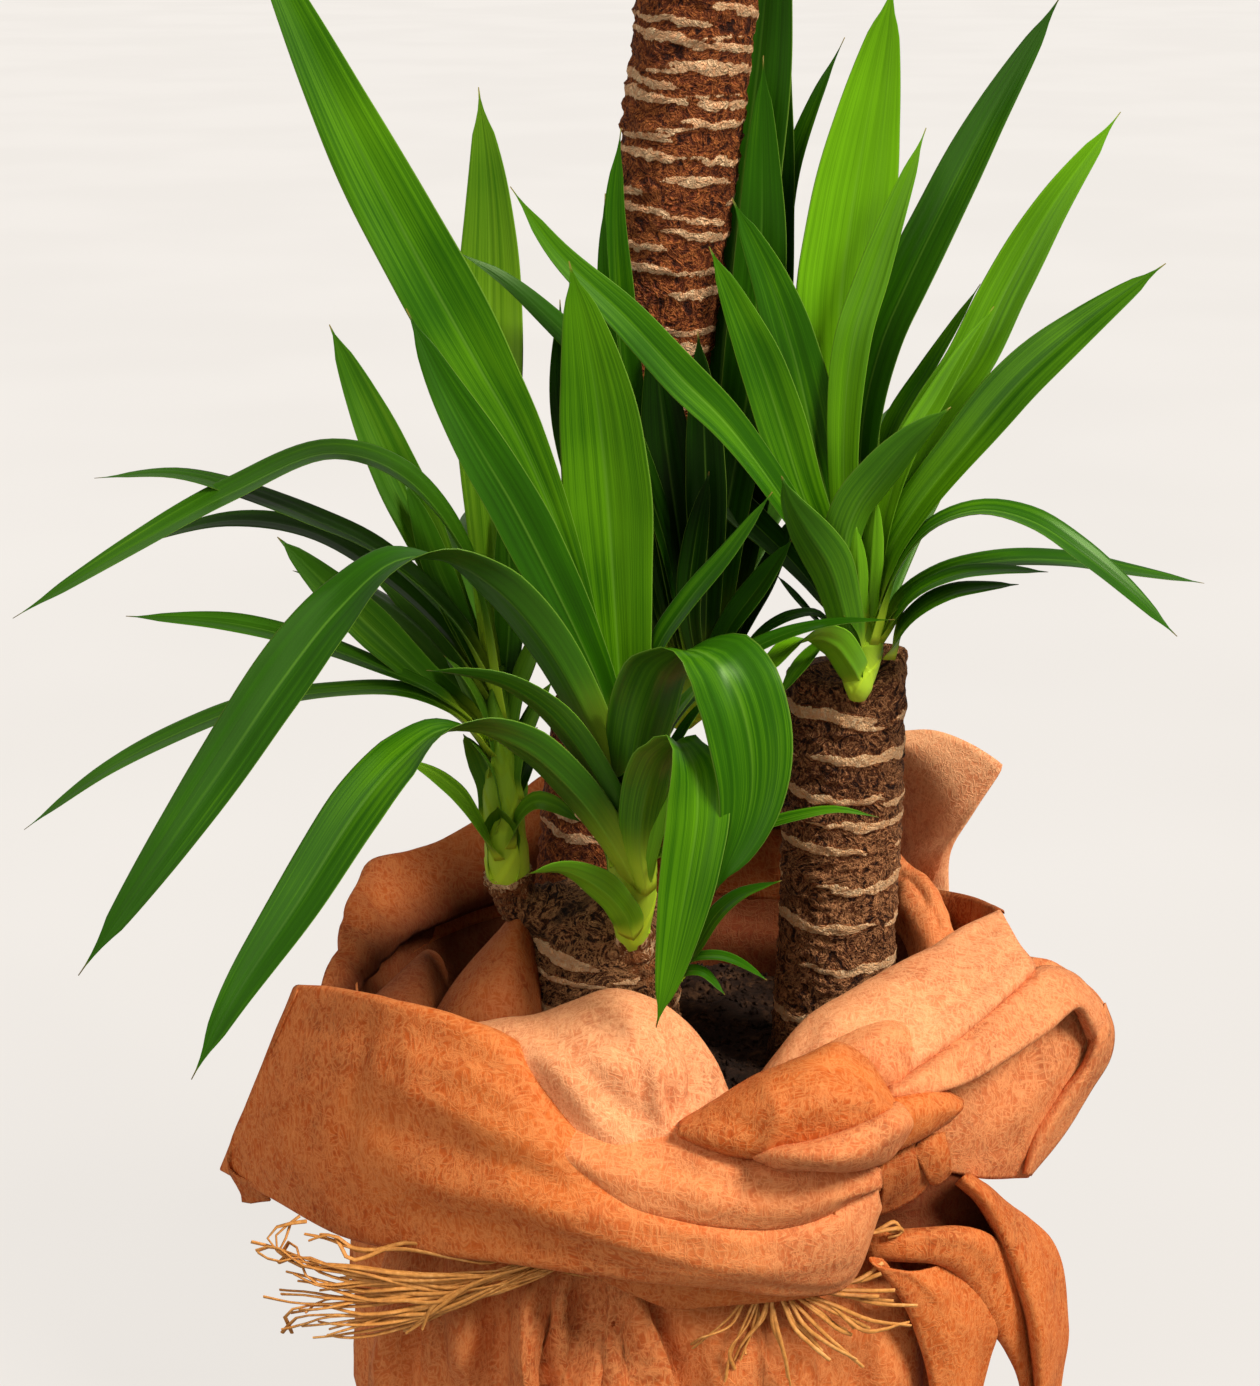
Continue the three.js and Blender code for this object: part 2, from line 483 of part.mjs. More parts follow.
// Grid of a panel between two edges, bulged toward the viewpoint in the middle.
function panelGrid(top, bottom, bulge, across, down) {
  const rows = [0, 0.33, 0.67, 1].map((f) => top.map((p, i) => {
    const a = at(...p);
    const b = at(...bottom[i]);
    const point = a.lerp(b, f);
    point.y -= bulge * Math.sin(Math.PI * f);
    return point;
  }));
  return smoothGrid(rows, across, down);
}

function panel(top, bottom, bulge, across, down) {
  return sheet(panelGrid(top, bottom, bulge, across, down), WRAP_THICK);
}

function folded(rows, across, down) {
  return sheet(smoothGrid(rows.map((row) => row.map((p) => at(...p))), across, down), WRAP_THICK);
}

// Inner layer of cloth that runs from a row of a turned-out panel back into the upright wall.
function innerLayer(row, step) {
  const outer = row.filter((_, i) => i % step === 0);
  const inner = outer.map((p) => {
    const reach = INNER_LAYER_R / Math.hypot(p.x, p.y);
    return new THREE.Vector3(p.x * reach, p.y * reach, INNER_LAYER_Z);
  });
  return sheet([outer, inner], WRAP_THICK);
}

// Wrap folds: edges as [s, t, y]
const BAND_TOP = [
  [-162, 229, -52], [-148, 228, -72], [-122, 222, -98], [-95, 213, -114], [-70, 198, -128], [-40, 164, -142],
  [-10, 139, -152], [25, 131, -155], [58, 130, -150], [84, 138, -140], [95, 147, -126],
];
const BAND_BOTTOM = [
  [-194, 150, -26], [-172, 138, -60], [-140, 121, -96], [-105, 114, -122], [-70, 110, -140], [-38, 105, -152],
  [-5, 100, -158], [28, 97, -158], [60, 94, -150], [84, 99, -136], [98, 132, -120],
];
const BAND_BACK_TOP = [[-160, 229, -57], [-167, 211, -57], [-175, 190, -53], [-187, 158, -37]];
const BAND_BACK_BOTTOM = [[-150, 226, -44], [-160, 205, -24], [-168, 180, -8], [-181, 134, -8]];
const UNDER_TOP = [[-36, 112, -158], [-10, 107, -163], [25, 104, -163], [60, 101, -155], [80, 102, -141]];
const UNDER_BOTTOM = [[-32, 103, -136], [-8, 92, -141], [8, 88, -143], [42, 90, -143], [78, 95, -131]];
const HUMP = [
  [[-94, 188, -86], [-74, 188, -82], [-55, 190, -80], [-38, 192, -80], [-20, 194, -80], [-2, 192, -80],
    [10, 188, -82], [18, 180, -88], [24, 170, -96]],
  [[-97, 213, -98], [-75, 215, -93], [-55, 217, -92], [-38, 223, -92], [-20, 229, -93], [-2, 224, -95],
    [12, 214, -99], [24, 199, -106], [30, 184, -112]],
  [[-99, 204, -114], [-76, 199, -122], [-56, 198, -127], [-38, 202, -130], [-20, 205, -130], [-2, 200, -130],
    [8, 192, -130], [14, 184, -128], [14, 176, -126]],
  [[-99, 190, -116], [-74, 178, -130], [-54, 165, -138], [-36, 152, -143], [-16, 142, -146], [0, 148, -146],
    [6, 156, -143], [9, 163, -139], [10, 168, -134]],
];
const MID_TOP = [
  [-34, 168, -138], [-12, 168, -139], [8, 166, -139], [22, 160, -145], [38, 154, -149], [55, 151, -150],
  [72, 148.5, -149], [88, 147, -145], [98, 147, -134],
];
const MID_BOTTOM = [
  [-38, 148, -150], [-14, 134, -158], [8, 129, -160], [25, 126, -162], [45, 124, -161], [60, 125, -156],
  [78, 131, -148], [92, 140, -136], [97, 143, -125],
];
const KNOT_AXIS = [
  [10, 168, -136], [24, 170, -142], [40, 173, -147], [60, 176, -150], [80, 177, -150], [95, 172, -146],
  [105, 169, -138], [111, 168, -130],
];
const KNOT_RADII = [2, 8, 16.5, 23, 27, 22, 14, 3];
const RIGHT_TOP = [
  [42, 188, -102], [52, 205, -98], [62, 215, -92], [73, 224, -84], [88, 231, -72], [104, 240, -56],
  [120, 249, -36], [135, 257, -14], [150, 263, 6],
];
const RIGHT_BOTTOM = [
  [46, 180, -118], [64, 184, -126], [82, 183, -130], [98, 181, -128], [112, 194, -118], [126, 204, -104],
  [140, 215, -86], [154, 226, -66], [168, 238, -38],
];
const SECOND_TOP = [[98, 182, -120], [115, 196, -110], [130, 206, -96], [150, 220, -72], [168, 236, -42]];
const SECOND_BOTTOM = [[102, 178, -124], [122, 183, -117], [142, 192, -104], [162, 205, -82], [186, 222, -50]];
const OUTER_EDGE = [
  [165, 242, -26], [182, 237, -20], [193, 229, -16], [200, 217, -14], [199.5, 204, -18], [192, 189, -24],
  [181, 172, -30], [172, 159, -36], [163, 146, -42],
];
const OUTER_ROOT = [
  [140, 222, -40], [146, 214, -46], [148, 206, -52], [148, 198, -56], [144, 190, -60], [138, 180, -64],
  [132, 170, -68], [128, 158, -72], [126, 147, -76],
];
const SMALL_ROLL = [[98, 168, -128], [112, 170, -122], [124, 174, -114], [134, 177, -106]];
const SMALL_ROLL_RADII = [8, 12, 9, 2];
const STRAP_TOP = [[103, 162, -130], [116, 166, -126], [127, 169, -118]];
const STRAP_BOTTOM = [[97, 130, -114], [112, 137, -110], [126, 143, -102]];
const TAIL_OUTER_LEFT = [
  [125, 152, -80], [142, 134, -68], [152, 119, -64], [160, 97, -62], [165, 74, -60], [167, 50, -58], [166, 26, -56],
];
const TAIL_OUTER_RIGHT = [
  [136, 152, -66], [150, 135, -44], [167, 123, -30], [178, 105, -20], [180, 83, -16], [177, 60, -16],
  [170, 32, -18],
];
const TAIL_INNER_TOP = [
  [92, 121, -112], [115, 122, -108], [133, 123, -98], [146, 118, -84], [156, 103, -72], [163, 84, -66],
  [167, 60, -56], [169, 30, -50],
];
const TAIL_INNER_BOTTOM = [
  [92, 109, -114], [115, 108, -110], [131, 102, -101], [141, 90, -92], [150, 77, -84], [158, 64, -78],
  [163, 50, -72], [166, 24, -64],
];
const TAIL_HOOD_TOP = [[94, 130, -98], [112, 139, -90], [124, 144, -82], [134, 146, -74]];
const TAIL_HOOD_BOTTOM = [[92, 116, -112], [114, 117, -108], [132, 117, -97], [148, 114, -83]];
const BACK_FOLD = [
  [-150, 229, -34], [-143, 248, -6], [-139, 266, 22], [-130, 283, 52], [-108, 292, 80], [-80, 304, 98],
  [-50, 324, 108], [-15, 331, 113], [20, 334, 113], [60, 338, 111], [92, 342, 106],
];
const BACK_LIP = [
  [-149, 226, -40], [-134, 240, -14], [-119, 251, 12], [-106, 257, 38], [-92, 264, 62], [-72, 276, 80],
  [-46, 300, 94], [-15, 312, 100], [20, 318, 101], [60, 324, 100], [90, 330, 96],
];
const FLAP_INNER = [
  [92, 338, 96], [104, 337, 90], [115, 333, 86], [123, 324, 82], [127.5, 312, 78], [128, 301, 75], [124, 288, 72],
  [120, 268, 70],
];
const FLAP_OUTER = [
  [92, 343, 104], [106, 343, 96], [121, 343.5, 90], [137, 338, 82], [152, 328, 74], [140, 309, 71],
  [129, 290, 70], [128, 268, 70],
];
const FLAP_ROOT = [
  [88, 332, 112], [94, 328, 114], [100, 322, 116], [105, 314, 116], [108, 304, 114], [110, 293, 110],
  [112, 280, 104], [112, 262, 98],
];
const CORD_FOLD_TOP = [[96, 294, 66], [106, 287, 58], [115, 281, 51], [124, 271, 44], [129, 262, 38], [130, 250, 30]];
const CORD_FOLD_BOTTOM = [
  [94, 276, 62], [104, 272, 54], [111, 266, 46], [117, 259, 40], [119, 252, 34], [116, 240, 26],
];
const RIGHT_BACK_TOP = [[104, 274, 72], [134, 269, 52], [150, 263, 18]];
const RIGHT_BACK_BOTTOM = [[104, 246, 70], [132, 246, 46], [150, 246, 4]];
const CONE_LEFT = [[-66, 262, -50], [-77, 246, -62], [-87, 232, -72], [-100, 214, -88]];
const CONE_RIGHT = [[-61, 263, -54], [-60, 246, -68], [-59, 232, -78], [-54, 210, -88]];
const CRUMPLE_TOP = [[-134, 222, -66], [-118, 234, -48], [-103, 247, -28]];
const CRUMPLE_BOTTOM = [[-126, 204, -78], [-110, 204, -70], [-97, 206, -58]];

// Wrap body: underside disc, pleated skirt, tied waist and the wall inside the collar.
function wrapVessel() {
  const profile = [
    [0, 0.6, 0], [92, 0.6, 0], [104, 0.6, 0], [118, 8, 0], [136, 30, 5], [143, 60, 7], [142, 95, 7], [131, 122, 4],
    [WAIST_R, WAIST_Z - 5, 0], [WAIST_R, WAIST_Z + 5, 0], [134, 212, 0], [139, 250, 0],
  ];
  const around = 24;
  const grid = profile.map(([r, z, pleat]) => {
    const row = [];
    for (let j = 0; j < around; j += 1) {
      const a = (2 * Math.PI * j) / around;
      const side = r > 100 && z < WAIST_Z ? 10 * Math.max(0, Math.cos(a)) ** 2 : 0;
      const radius = Math.max(r, 0.4) + pleat * Math.sin(9 * a + 1.3 * Math.sin(2 * a)) + side * (pleat / 7);
      row.push(new THREE.Vector3(radius * Math.cos(a), radius * Math.sin(a), z));
    }
    return row;
  });
  return sheet(grid, WRAP_THICK, true);
}

// Wall round the back: from inside the collar up to the fold line and over to the lip.
function backWall() {
  const count = BACK_FOLD.length;
  const foot = [];
  const mid = [];
  for (let i = 0; i < count; i += 1) {
    const a = THREE.MathUtils.degToRad(202 - (172 * i) / (count - 1));
    foot.push(new THREE.Vector3(138 * Math.cos(a), 138 * Math.sin(a), 240));
    const fold = at(...BACK_FOLD[i]);
    mid.push(fold.clone().lerp(foot[i], 0.45));
    mid[i].x *= 1.04;
    mid[i].y = mid[i].y * 1.03 + 2;
  }
  const rows = [foot, mid, BACK_FOLD.map((p) => at(...p)), BACK_LIP.map((p) => at(...p))];
  return sheet(smoothGrid(rows, 14, 4), WRAP_THICK);
}

function knot(axis, radii, sides) {
  return tube(axis.map((p) => at(...p)), radii, sides, 0.8);
}

function wrapParts() {
  const outer = panelGrid(OUTER_EDGE, OUTER_ROOT, 0, 8, 3);
  const hood = panelGrid(TAIL_HOOD_TOP, TAIL_HOOD_BOTTOM, 0, 3, 2);
  return [
    wrapVessel(),
    backWall(),
    sheet(outer, WRAP_THICK),
    sheet(hood, WRAP_THICK),
    innerLayer(outer[3], 4),
    innerLayer(hood[1], 3),
    panel(BAND_TOP, BAND_BOTTOM, 9, 14, 4),
    panel(MID_TOP, MID_BOTTOM, 6, 8, 3),
    panel(SECOND_TOP, SECOND_BOTTOM, 6, 4, 3),
    panel(BAND_BACK_TOP, BAND_BACK_BOTTOM, 0, 4, 2),
    panel(UNDER_TOP, UNDER_BOTTOM, 0, 5, 1),
    panel(STRAP_TOP, STRAP_BOTTOM, 0, 3, 2),
    panel(TAIL_OUTER_LEFT, TAIL_OUTER_RIGHT, 4, 7, 3),
    panel(CRUMPLE_TOP, CRUMPLE_BOTTOM, 3, 3, 2),
    panel(RIGHT_BACK_TOP, RIGHT_BACK_BOTTOM, 0, 2, 2),
    folded(HUMP, 11, 5),
    knot(KNOT_AXIS, KNOT_RADII, 9),
    panel(RIGHT_TOP, RIGHT_BOTTOM, 8, 8, 3),
    knot(SMALL_ROLL, SMALL_ROLL_RADII, 7),
    panel(TAIL_INNER_TOP, TAIL_INNER_BOTTOM, 3, 8, 2),
    folded([FLAP_OUTER, FLAP_INNER, FLAP_ROOT], 8, 3),
    panel(CORD_FOLD_TOP, CORD_FOLD_BOTTOM, 5, 5, 2),
    panel(CONE_LEFT, CONE_RIGHT, 8, 4, 3),
  ];
}

// Raffia: the tie round the waist and the frayed ends at the left and the front.
function raffiaParts() {
  const parts = [];
  const ringR = WAIST_R + WRAP_THICK / 2 + GAP + 2.4;
  const ring = [];
  for (let j = 0; j < 40; j += 1) {
    const a = (2 * Math.PI * j) / 40;
    const section = [];
    for (let k = 0; k < 5; k += 1) {
      const b = (2 * Math.PI * k) / 5;
      const r = ringR + 2.1 * Math.cos(b);
      section.push(new THREE.Vector3(r * Math.cos(a), r * Math.sin(a), WAIST_Z + 3.2 * Math.sin(b)));
    }
    ring.push(section);
  }
  const points = ring.flat();
  const faces = [];
  for (let j = 0; j < 40; j += 1) {
    for (let k = 0; k < 5; k += 1) {
      const a = j * 5 + k;
      const b = j * 5 + ((k + 1) % 5);
      const c = ((j + 1) % 40) * 5 + ((k + 1) % 5);
      const d = ((j + 1) % 40) * 5 + k;
      faces.push([a, d, c], [a, c, b]);
    }
  }
  parts.push(solid(points, faces));
  const draw = random(71);
  const onRing = (degrees, rise) => {
    const a = THREE.MathUtils.degToRad(degrees);
    return new THREE.Vector3(ringR * Math.cos(a), ringR * Math.sin(a), WAIST_Z + rise);
  };
  for (let i = 0; i < LEFT_ENDS; i += 1) {
    const f = i / (LEFT_ENDS - 1);
    const start = onRing(246 - 6 * draw(), 3 * draw() - 1.5);
    const bend = at(-95 - 8 * draw(), 105 - 15 * f, -126 - 4 * draw());
    const out = at(-132 - 8 * draw(), 104 - 18 * f, -124 - 6 * draw());
    const end = at(-158 - 16 * draw(), 112 - 32 * f, -112 - 8 * draw());
    const path = new THREE.CatmullRomCurve3([start, bend, out, end]);
    parts.push(tube(path.getPoints(4), [1.5, 1.3, 1.2, 1, 0.7], 4, 0.6));
  }
  for (let i = 0; i < FRONT_ENDS; i += 1) {
    const f = i / (FRONT_ENDS - 1);
    const start = onRing(286 + 14 * f, 0);
    const bend = at(30 + 36 * f, 88 - 3 * draw(), -134 - 4 * draw());
    const end = at(24 + 84 * f + 6 * draw(), 58 + 26 * f ** 2 + 8 * draw(), -140 + 12 * f);
    const path = new THREE.CatmullRomCurve3([start, bend, end]);
    parts.push(tube(path.getPoints(3), [1.4, 1.2, 1, 0.7], 4, 0.6));
  }
  return parts;
}

function lathe(profile, sides) {
  const geometry = new THREE.LatheGeometry(profile.map(([r, z]) => new THREE.Vector2(r, z)), sides);
  geometry.rotateX(Math.PI / 2);
  return geometry;
}

const wasm = await Module();
wasm.setup();

function fromGeometry(geometry) {
  const plain = geometry.index ? geometry.toNonIndexed() : geometry.clone();
  plain.deleteAttribute('normal');
  plain.deleteAttribute('uv');
  const merged = mergeVertices(plain, 1e-3);
  return new wasm.Manifold(new wasm.Mesh({
    numProp: 3,
    vertProperties: new Float32Array(merged.attributes.position.array),
    triVerts: new Uint32Array(merged.index.array),
  }));
}

// Turns a { points, faces } solid outward and makes it a manifold.
function toManifold({ points, faces }) {
  let volume = 0;
  for (const [a, b, c] of faces) {
    volume += points[a].dot(points[b].clone().cross(points[c]));
  }
  const flip = volume < 0;
  const positions = points.flatMap((p) => [p.x, p.y, p.z]);
  const index = faces.flatMap(([a, b, c]) => (flip ? [a, c, b] : [a, b, c]));
  const geometry = new THREE.BufferGeometry();
  geometry.setAttribute('position', new THREE.Float32BufferAttribute(positions, 3));
  geometry.setIndex(index);
  return fromGeometry(geometry);
}

function fuse(parts) {
  return parts.map(toManifold).reduce((whole, next) => whole.add(next));
}

// Keeps the one large outer skin: loose scrap is dropped and sealed hollows are filled.
function oneBody(manifold) {
  const mesh = manifold.getMesh();
  const position = mesh.vertProperties;
  const owner = Array.from({ length: position.length / 3 }, (_, i) => i);
  const find = (i) => {
    let root = i;
    while (owner[root] !== root) root = owner[root];
    while (owner[i] !== root) [owner[i], i] = [root, owner[i]];
    return root;
  };
  for (let t = 0; t < mesh.triVerts.length; t += 3) {
    owner[find(mesh.triVerts[t + 1])] = find(mesh.triVerts[t]);
    owner[find(mesh.triVerts[t + 2])] = find(mesh.triVerts[t]);
  }
  const corner = (i) => new THREE.Vector3(position[3 * i], position[3 * i + 1], position[3 * i + 2]);
  const skins = new Map();
  for (let t = 0; t < mesh.triVerts.length; t += 3) {
    const [a, b, c] = mesh.triVerts.slice(t, t + 3);
    const root = find(a);
    if (!skins.has(root)) skins.set(root, { volume: 0, triangles: [] });
    const skin = skins.get(root);
    skin.volume += corner(a).dot(corner(b).cross(corner(c)));
    skin.triangles.push(a, b, c);
  }
  const largest = [...skins.values()].reduce((best, next) => (next.volume > best.volume ? next : best));
  return new wasm.Manifold(new wasm.Mesh({
    numProp: 3,
    vertProperties: new Float32Array(position),
    triVerts: new Uint32Array(largest.triangles),
  }));
}

const group = new THREE.Group();

function addNode(name, manifold, colour, roughness) {
  const mesh = manifold.getMesh();
  const geometry = new THREE.BufferGeometry();
  geometry.setAttribute('position', new THREE.BufferAttribute(new Float32Array(mesh.vertProperties), 3));
  geometry.setIndex(new THREE.BufferAttribute(new Uint32Array(mesh.triVerts), 1));
  const material = new THREE.MeshStandardMaterial({ color: colour, roughness, metalness: 0 });
  const node = new THREE.Mesh(geometry, material);
  node.name = name;
  group.add(node);
  console.log(name, mesh.triVerts.length / 3);
}

// Shoot stems: short tapered bulbs, sunk in sockets in their canes
function stem(points, radii, sides = 9) {
  return { points: points.map((p) => at(...p)), radii, sides };
}
const STEMS = {
  left: stem([[-65, 268, -42], [-67, 280, -45], [-68, 292, -46], [-70, 318, -46], [-71, 350, -44], [-71, 372, -42]],
    [6, 9.5, 10, 8.5, 8, 4]),
  front: stem([[-10, 246, -58], [-11, 257, -68], [-12, 272, -72], [-12, 296, -72], [-14, 322, -71], [-15, 344, -70]],
    [8, 10.5, 11, 11, 9, 4]),
  right: stem([[89, 356, -6], [89, 366, -14], [89, 380, -18], [90, 398, -18], [90, 414, -18]], [9, 12, 12, 9, 4]),
  middle: stem([[8, 352, 20], [18, 364, 8], [20, 376, 4], [20, 392, 4]], [9, 11, 11, 5]),
  tiny: stem([[2, 232, -44], [9, 236, -46], [12, 240, -50]], [3.4, 3, 1.6], 7),
};

function stemSolid({ points, radii, sides }, grow = 0) {
  return tube(points, radii.map((r) => r + grow), sides);
}

// The knob of the short cane that carries the left shoot
const KNOB = [[-40, 265, -42], [-50, 267, -43], [-60, 271, -43], [-66, 280, -44]].map((p) => at(...p));
const KNOB_RADII = [16, 13, 11.5, 10];

const stemHole = (name) => toManifold(stemSolid(STEMS[name], GAP));
const tallHead = new THREE.Vector3(TALL.top[0], TALL.top[1], TALL.topZ + 6);
const headCore = tube(
  [[0, -12, 9], [0, 4, 12], [0, 34, 12], [0, 66, 6]].map(([dx, dz]) => new THREE.Vector3(
    tallHead.x + dx, tallHead.y, tallHead.z + dz)), [11, 13, 12, 6], 10);

let tallCane = toManifold(cane(TALL));
let mediumCane = toManifold(cane(MEDIUM));
let shortCane = toManifold(cane({ ...SHORT, round: 0.36 })).add(toManifold(tube(KNOB, KNOB_RADII, 10)));
tallCane = tallCane.subtract(stemHole('middle'));
tallCane = tallCane.subtract(toManifold({ ...headCore, points: headCore.points.map((p) => p.clone()
  .sub(tallHead).multiplyScalar(1.03).add(tallHead)) }));
mediumCane = mediumCane.subtract(stemHole('right'));
shortCane = shortCane.subtract(stemHole('left')).subtract(stemHole('front')).subtract(stemHole('tiny'));

// Canes grown by the gap trim whatever leaf root would touch the bark.
const tallClear = toManifold(cane(TALL, GAP));
const mediumClear = toManifold(cane(MEDIUM, GAP));
const shortClear = toManifold(cane({ ...SHORT, round: 0.36 }, GAP)).add(
  toManifold(tube(KNOB, KNOB_RADII.map((r) => r + GAP), 10)));

function shoot(name, leaves, trims) {
  let foliage = fuse(leaves);
  for (const trim of trims) foliage = foliage.subtract(trim);
  return oneBody(foliage.add(toManifold(stemSolid(STEMS[name]))));
}

const wrapBody = oneBody(fuse(wrapParts()));
addNode('fibre_wrap', wrapBody, COLOURS.wrap, 0.9);
addNode('raffia_tie', oneBody(fuse(raffiaParts())), COLOURS.raffia, 0.75);

const potWall = (z) => THREE.MathUtils.lerp(POT_BASE_R, POT_RIM_R, (z - POT_FLOOR_Z) / (POT_RIM_Z - POT_FLOOR_Z));
const potProfile = [
  [0, POT_FLOOR_Z], [POT_BASE_R, POT_FLOOR_Z], [potWall(190), 190], [POT_RIM_R, POT_RIM_Z],
  [POT_RIM_R - POT_WALL, POT_RIM_Z], [POT_BASE_R - POT_WALL, POT_FLOOR_Z + POT_WALL], [0, POT_FLOOR_Z + POT_WALL],
];
addNode('nursery_pot', fromGeometry(lathe(potProfile, 40)), COLOURS.pot, 0.6);

const soilInset = POT_WALL + GAP + 0.8;
const soilProfile = [
  [0, POT_FLOOR_Z + POT_WALL + GAP], [POT_BASE_R - soilInset - 1, POT_FLOOR_Z + POT_WALL + GAP],
  [potWall(SOIL_Z) - soilInset, SOIL_Z - 2], [80, SOIL_Z], [40, SOIL_Z + 2], [0, SOIL_Z + 1],
];
const soil = [tallClear, mediumClear, shortClear].reduce(
  (body, hole) => body.subtract(hole), fromGeometry(lathe(soilProfile, 32)));
addNode('potting_soil', oneBody(soil), COLOURS.soil, 0.95);

addNode('tall_cane', oneBody(tallCane), COLOURS.tall, 0.85);
addNode('medium_cane', oneBody(mediumCane), COLOURS.medium, 0.85);
addNode('short_cane', oneBody(shortCane), COLOURS.short, 0.85);

const leftShoot = shoot('left', [...LEFT_LEAVES.map(tableLeaf), ...backLeaves(LEFT_BACK)], [shortClear]);
const frontShoot = shoot('front', FRONT_LEAVES.map(tableLeaf), [shortClear]);
const rightShoot = shoot('right', [...RIGHT_LEAVES.map(tableLeaf), ...backLeaves(RIGHT_BACK)], [mediumClear]);
const middleShoot = shoot('middle', [...MIDDLE_LEAVES.map(tableLeaf), ...backLeaves(MIDDLE_BACK)], [tallClear]);
const tinyShoot = shoot('tiny', TINY_LEAVES.map(tableLeaf), [shortClear]);
addNode('left_shoot', leftShoot, COLOURS.leafDeep, 0.5);
addNode('front_shoot', frontShoot, COLOURS.leafMid, 0.45);
addNode('right_shoot', rightShoot, COLOURS.leafLight, 0.45);
addNode('middle_shoot', middleShoot, COLOURS.leafDark, 0.5);
addNode('tiny_shoot', tinyShoot, COLOURS.leafMid, 0.5);
addNode('top_shoot', oneBody(fuse([headCore, ...topLeaves(tallHead)])), COLOURS.leafMid, 0.5);

export default group;
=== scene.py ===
"""Potted yucca: three canes with leafy shoots in a nursery pot, in a gathered fibre wrap tied with raffia.

Metres, +Z up, the pot's axis is x = y = 0 and the front is -Y.
"""
from __future__ import annotations

import logging
import math
from dataclasses import dataclass, field
from enum import Enum
from typing import Callable, Sequence

import bpy
import numpy as np
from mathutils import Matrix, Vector


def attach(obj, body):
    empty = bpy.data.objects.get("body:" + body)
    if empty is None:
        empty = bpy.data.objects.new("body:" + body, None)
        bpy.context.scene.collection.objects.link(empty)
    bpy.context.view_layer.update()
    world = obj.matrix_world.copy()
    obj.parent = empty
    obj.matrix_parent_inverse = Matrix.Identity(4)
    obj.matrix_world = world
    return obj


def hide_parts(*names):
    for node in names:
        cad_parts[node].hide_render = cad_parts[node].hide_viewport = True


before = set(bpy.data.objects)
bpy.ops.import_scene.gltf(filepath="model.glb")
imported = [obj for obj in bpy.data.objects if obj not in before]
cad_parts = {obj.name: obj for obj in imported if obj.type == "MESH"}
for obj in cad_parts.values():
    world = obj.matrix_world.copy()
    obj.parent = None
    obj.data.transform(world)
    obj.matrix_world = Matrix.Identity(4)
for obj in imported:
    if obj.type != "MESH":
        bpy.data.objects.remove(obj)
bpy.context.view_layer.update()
LOG = logging.getLogger("potted_yucca")
MM = 0.001

# Front viewpoint of every table: a table point is [s, t, y]. s and t are millimetres right of the pot's axis
# and up, on a picture plane through the aim point. y is the real depth behind (+) or before (-) the axis.
VIEW_PITCH = math.radians(18)
VIEW_DISTANCE = 1150.0
VIEW_AIM = np.array([-13.0, 0.0, 377.0])
VIEW_T0 = 360.0
VIEW_FORWARD = np.array([0.0, math.cos(VIEW_PITCH), -math.sin(VIEW_PITCH)])
VIEW_UP = np.array([0.0, math.sin(VIEW_PITCH), math.cos(VIEW_PITCH)])
VIEW_EYE = VIEW_AIM - VIEW_FORWARD * VIEW_DISTANCE
LENS_PIXELS = 2600.0
PHOTO_LONG_SIDE = 1386.0
SENSOR = 36.0


def at(points: Sequence[Sequence[float]]) -> np.ndarray:
    """Turn table points into places in the frame.

    Args:
        points: rows that begin with s, t, y in millimetres.

    Returns:
        An array of x, y, z in metres.
    """
    table = np.array([row[:3] for row in points], float)
    ray = VIEW_FORWARD + VIEW_UP * ((table[:, 1:2] - VIEW_T0) / VIEW_DISTANCE)
    ray[:, 0] += (table[:, 0] - VIEW_AIM[0]) / VIEW_DISTANCE
    reach = (table[:, 2] - VIEW_EYE[1]) / ray[:, 1]
    return (VIEW_EYE + ray * reach[:, None]) * MM


def unit(vectors: np.ndarray) -> np.ndarray:
    """Return the vectors at length one."""
    length = np.linalg.norm(vectors, axis=-1, keepdims=True)
    return vectors / np.maximum(length, 1e-12)


def smooth(low: float, high: float, value: np.ndarray) -> np.ndarray:
    """Return an eased step from 0 at low to 1 at high."""
    t = np.clip((value - low) / (high - low), 0, 1)
    return t * t * (3 - 2 * t)


def spline(points: np.ndarray, count: int) -> tuple[np.ndarray, np.ndarray]:
    """Lay a centripetal Catmull-Rom curve through points.

    Args:
        points: the points on the curve.
        count: how many evenly spaced samples to give back.

    Returns:
        The samples, and each one's place in station numbers.
    """
    p = np.asarray(points, float)
    ends = np.vstack([2 * p[0] - p[1], p, 2 * p[-1] - p[-2]])
    knots = np.concatenate([[0], np.cumsum(np.sqrt(np.linalg.norm(np.diff(ends, axis=0), axis=1)) + 1e-9)])
    dense, station = [], []
    for i in range(len(p) - 1):
        t = np.linspace(knots[i + 1], knots[i + 2], 24, endpoint=i == len(p) - 2)[:, None]
        k = knots[i:i + 4]
        a = [(ends[i + j] * (k[j + 1] - t) + ends[i + j + 1] * (t - k[j])) / (k[j + 1] - k[j])
             for j in range(3)]
        b = [(a[j] * (k[j + 2] - t) + a[j + 1] * (t - k[j])) / (k[j + 2] - k[j]) for j in range(2)]
        dense.append((b[0] * (k[2] - t) + b[1] * (t - k[1])) / (k[2] - k[1]))
        station.append(i + (t[:, 0] - k[1]) / (k[2] - k[1]))
    dense, station = np.vstack(dense), np.concatenate(station)
    length = np.concatenate([[0], np.cumsum(np.linalg.norm(np.diff(dense, axis=0), axis=1))])
    even = np.linspace(0, length[-1], count)
    samples = np.stack([np.interp(even, length, dense[:, c]) for c in range(dense.shape[1])], axis=1)
    return samples, np.interp(even, length, station)


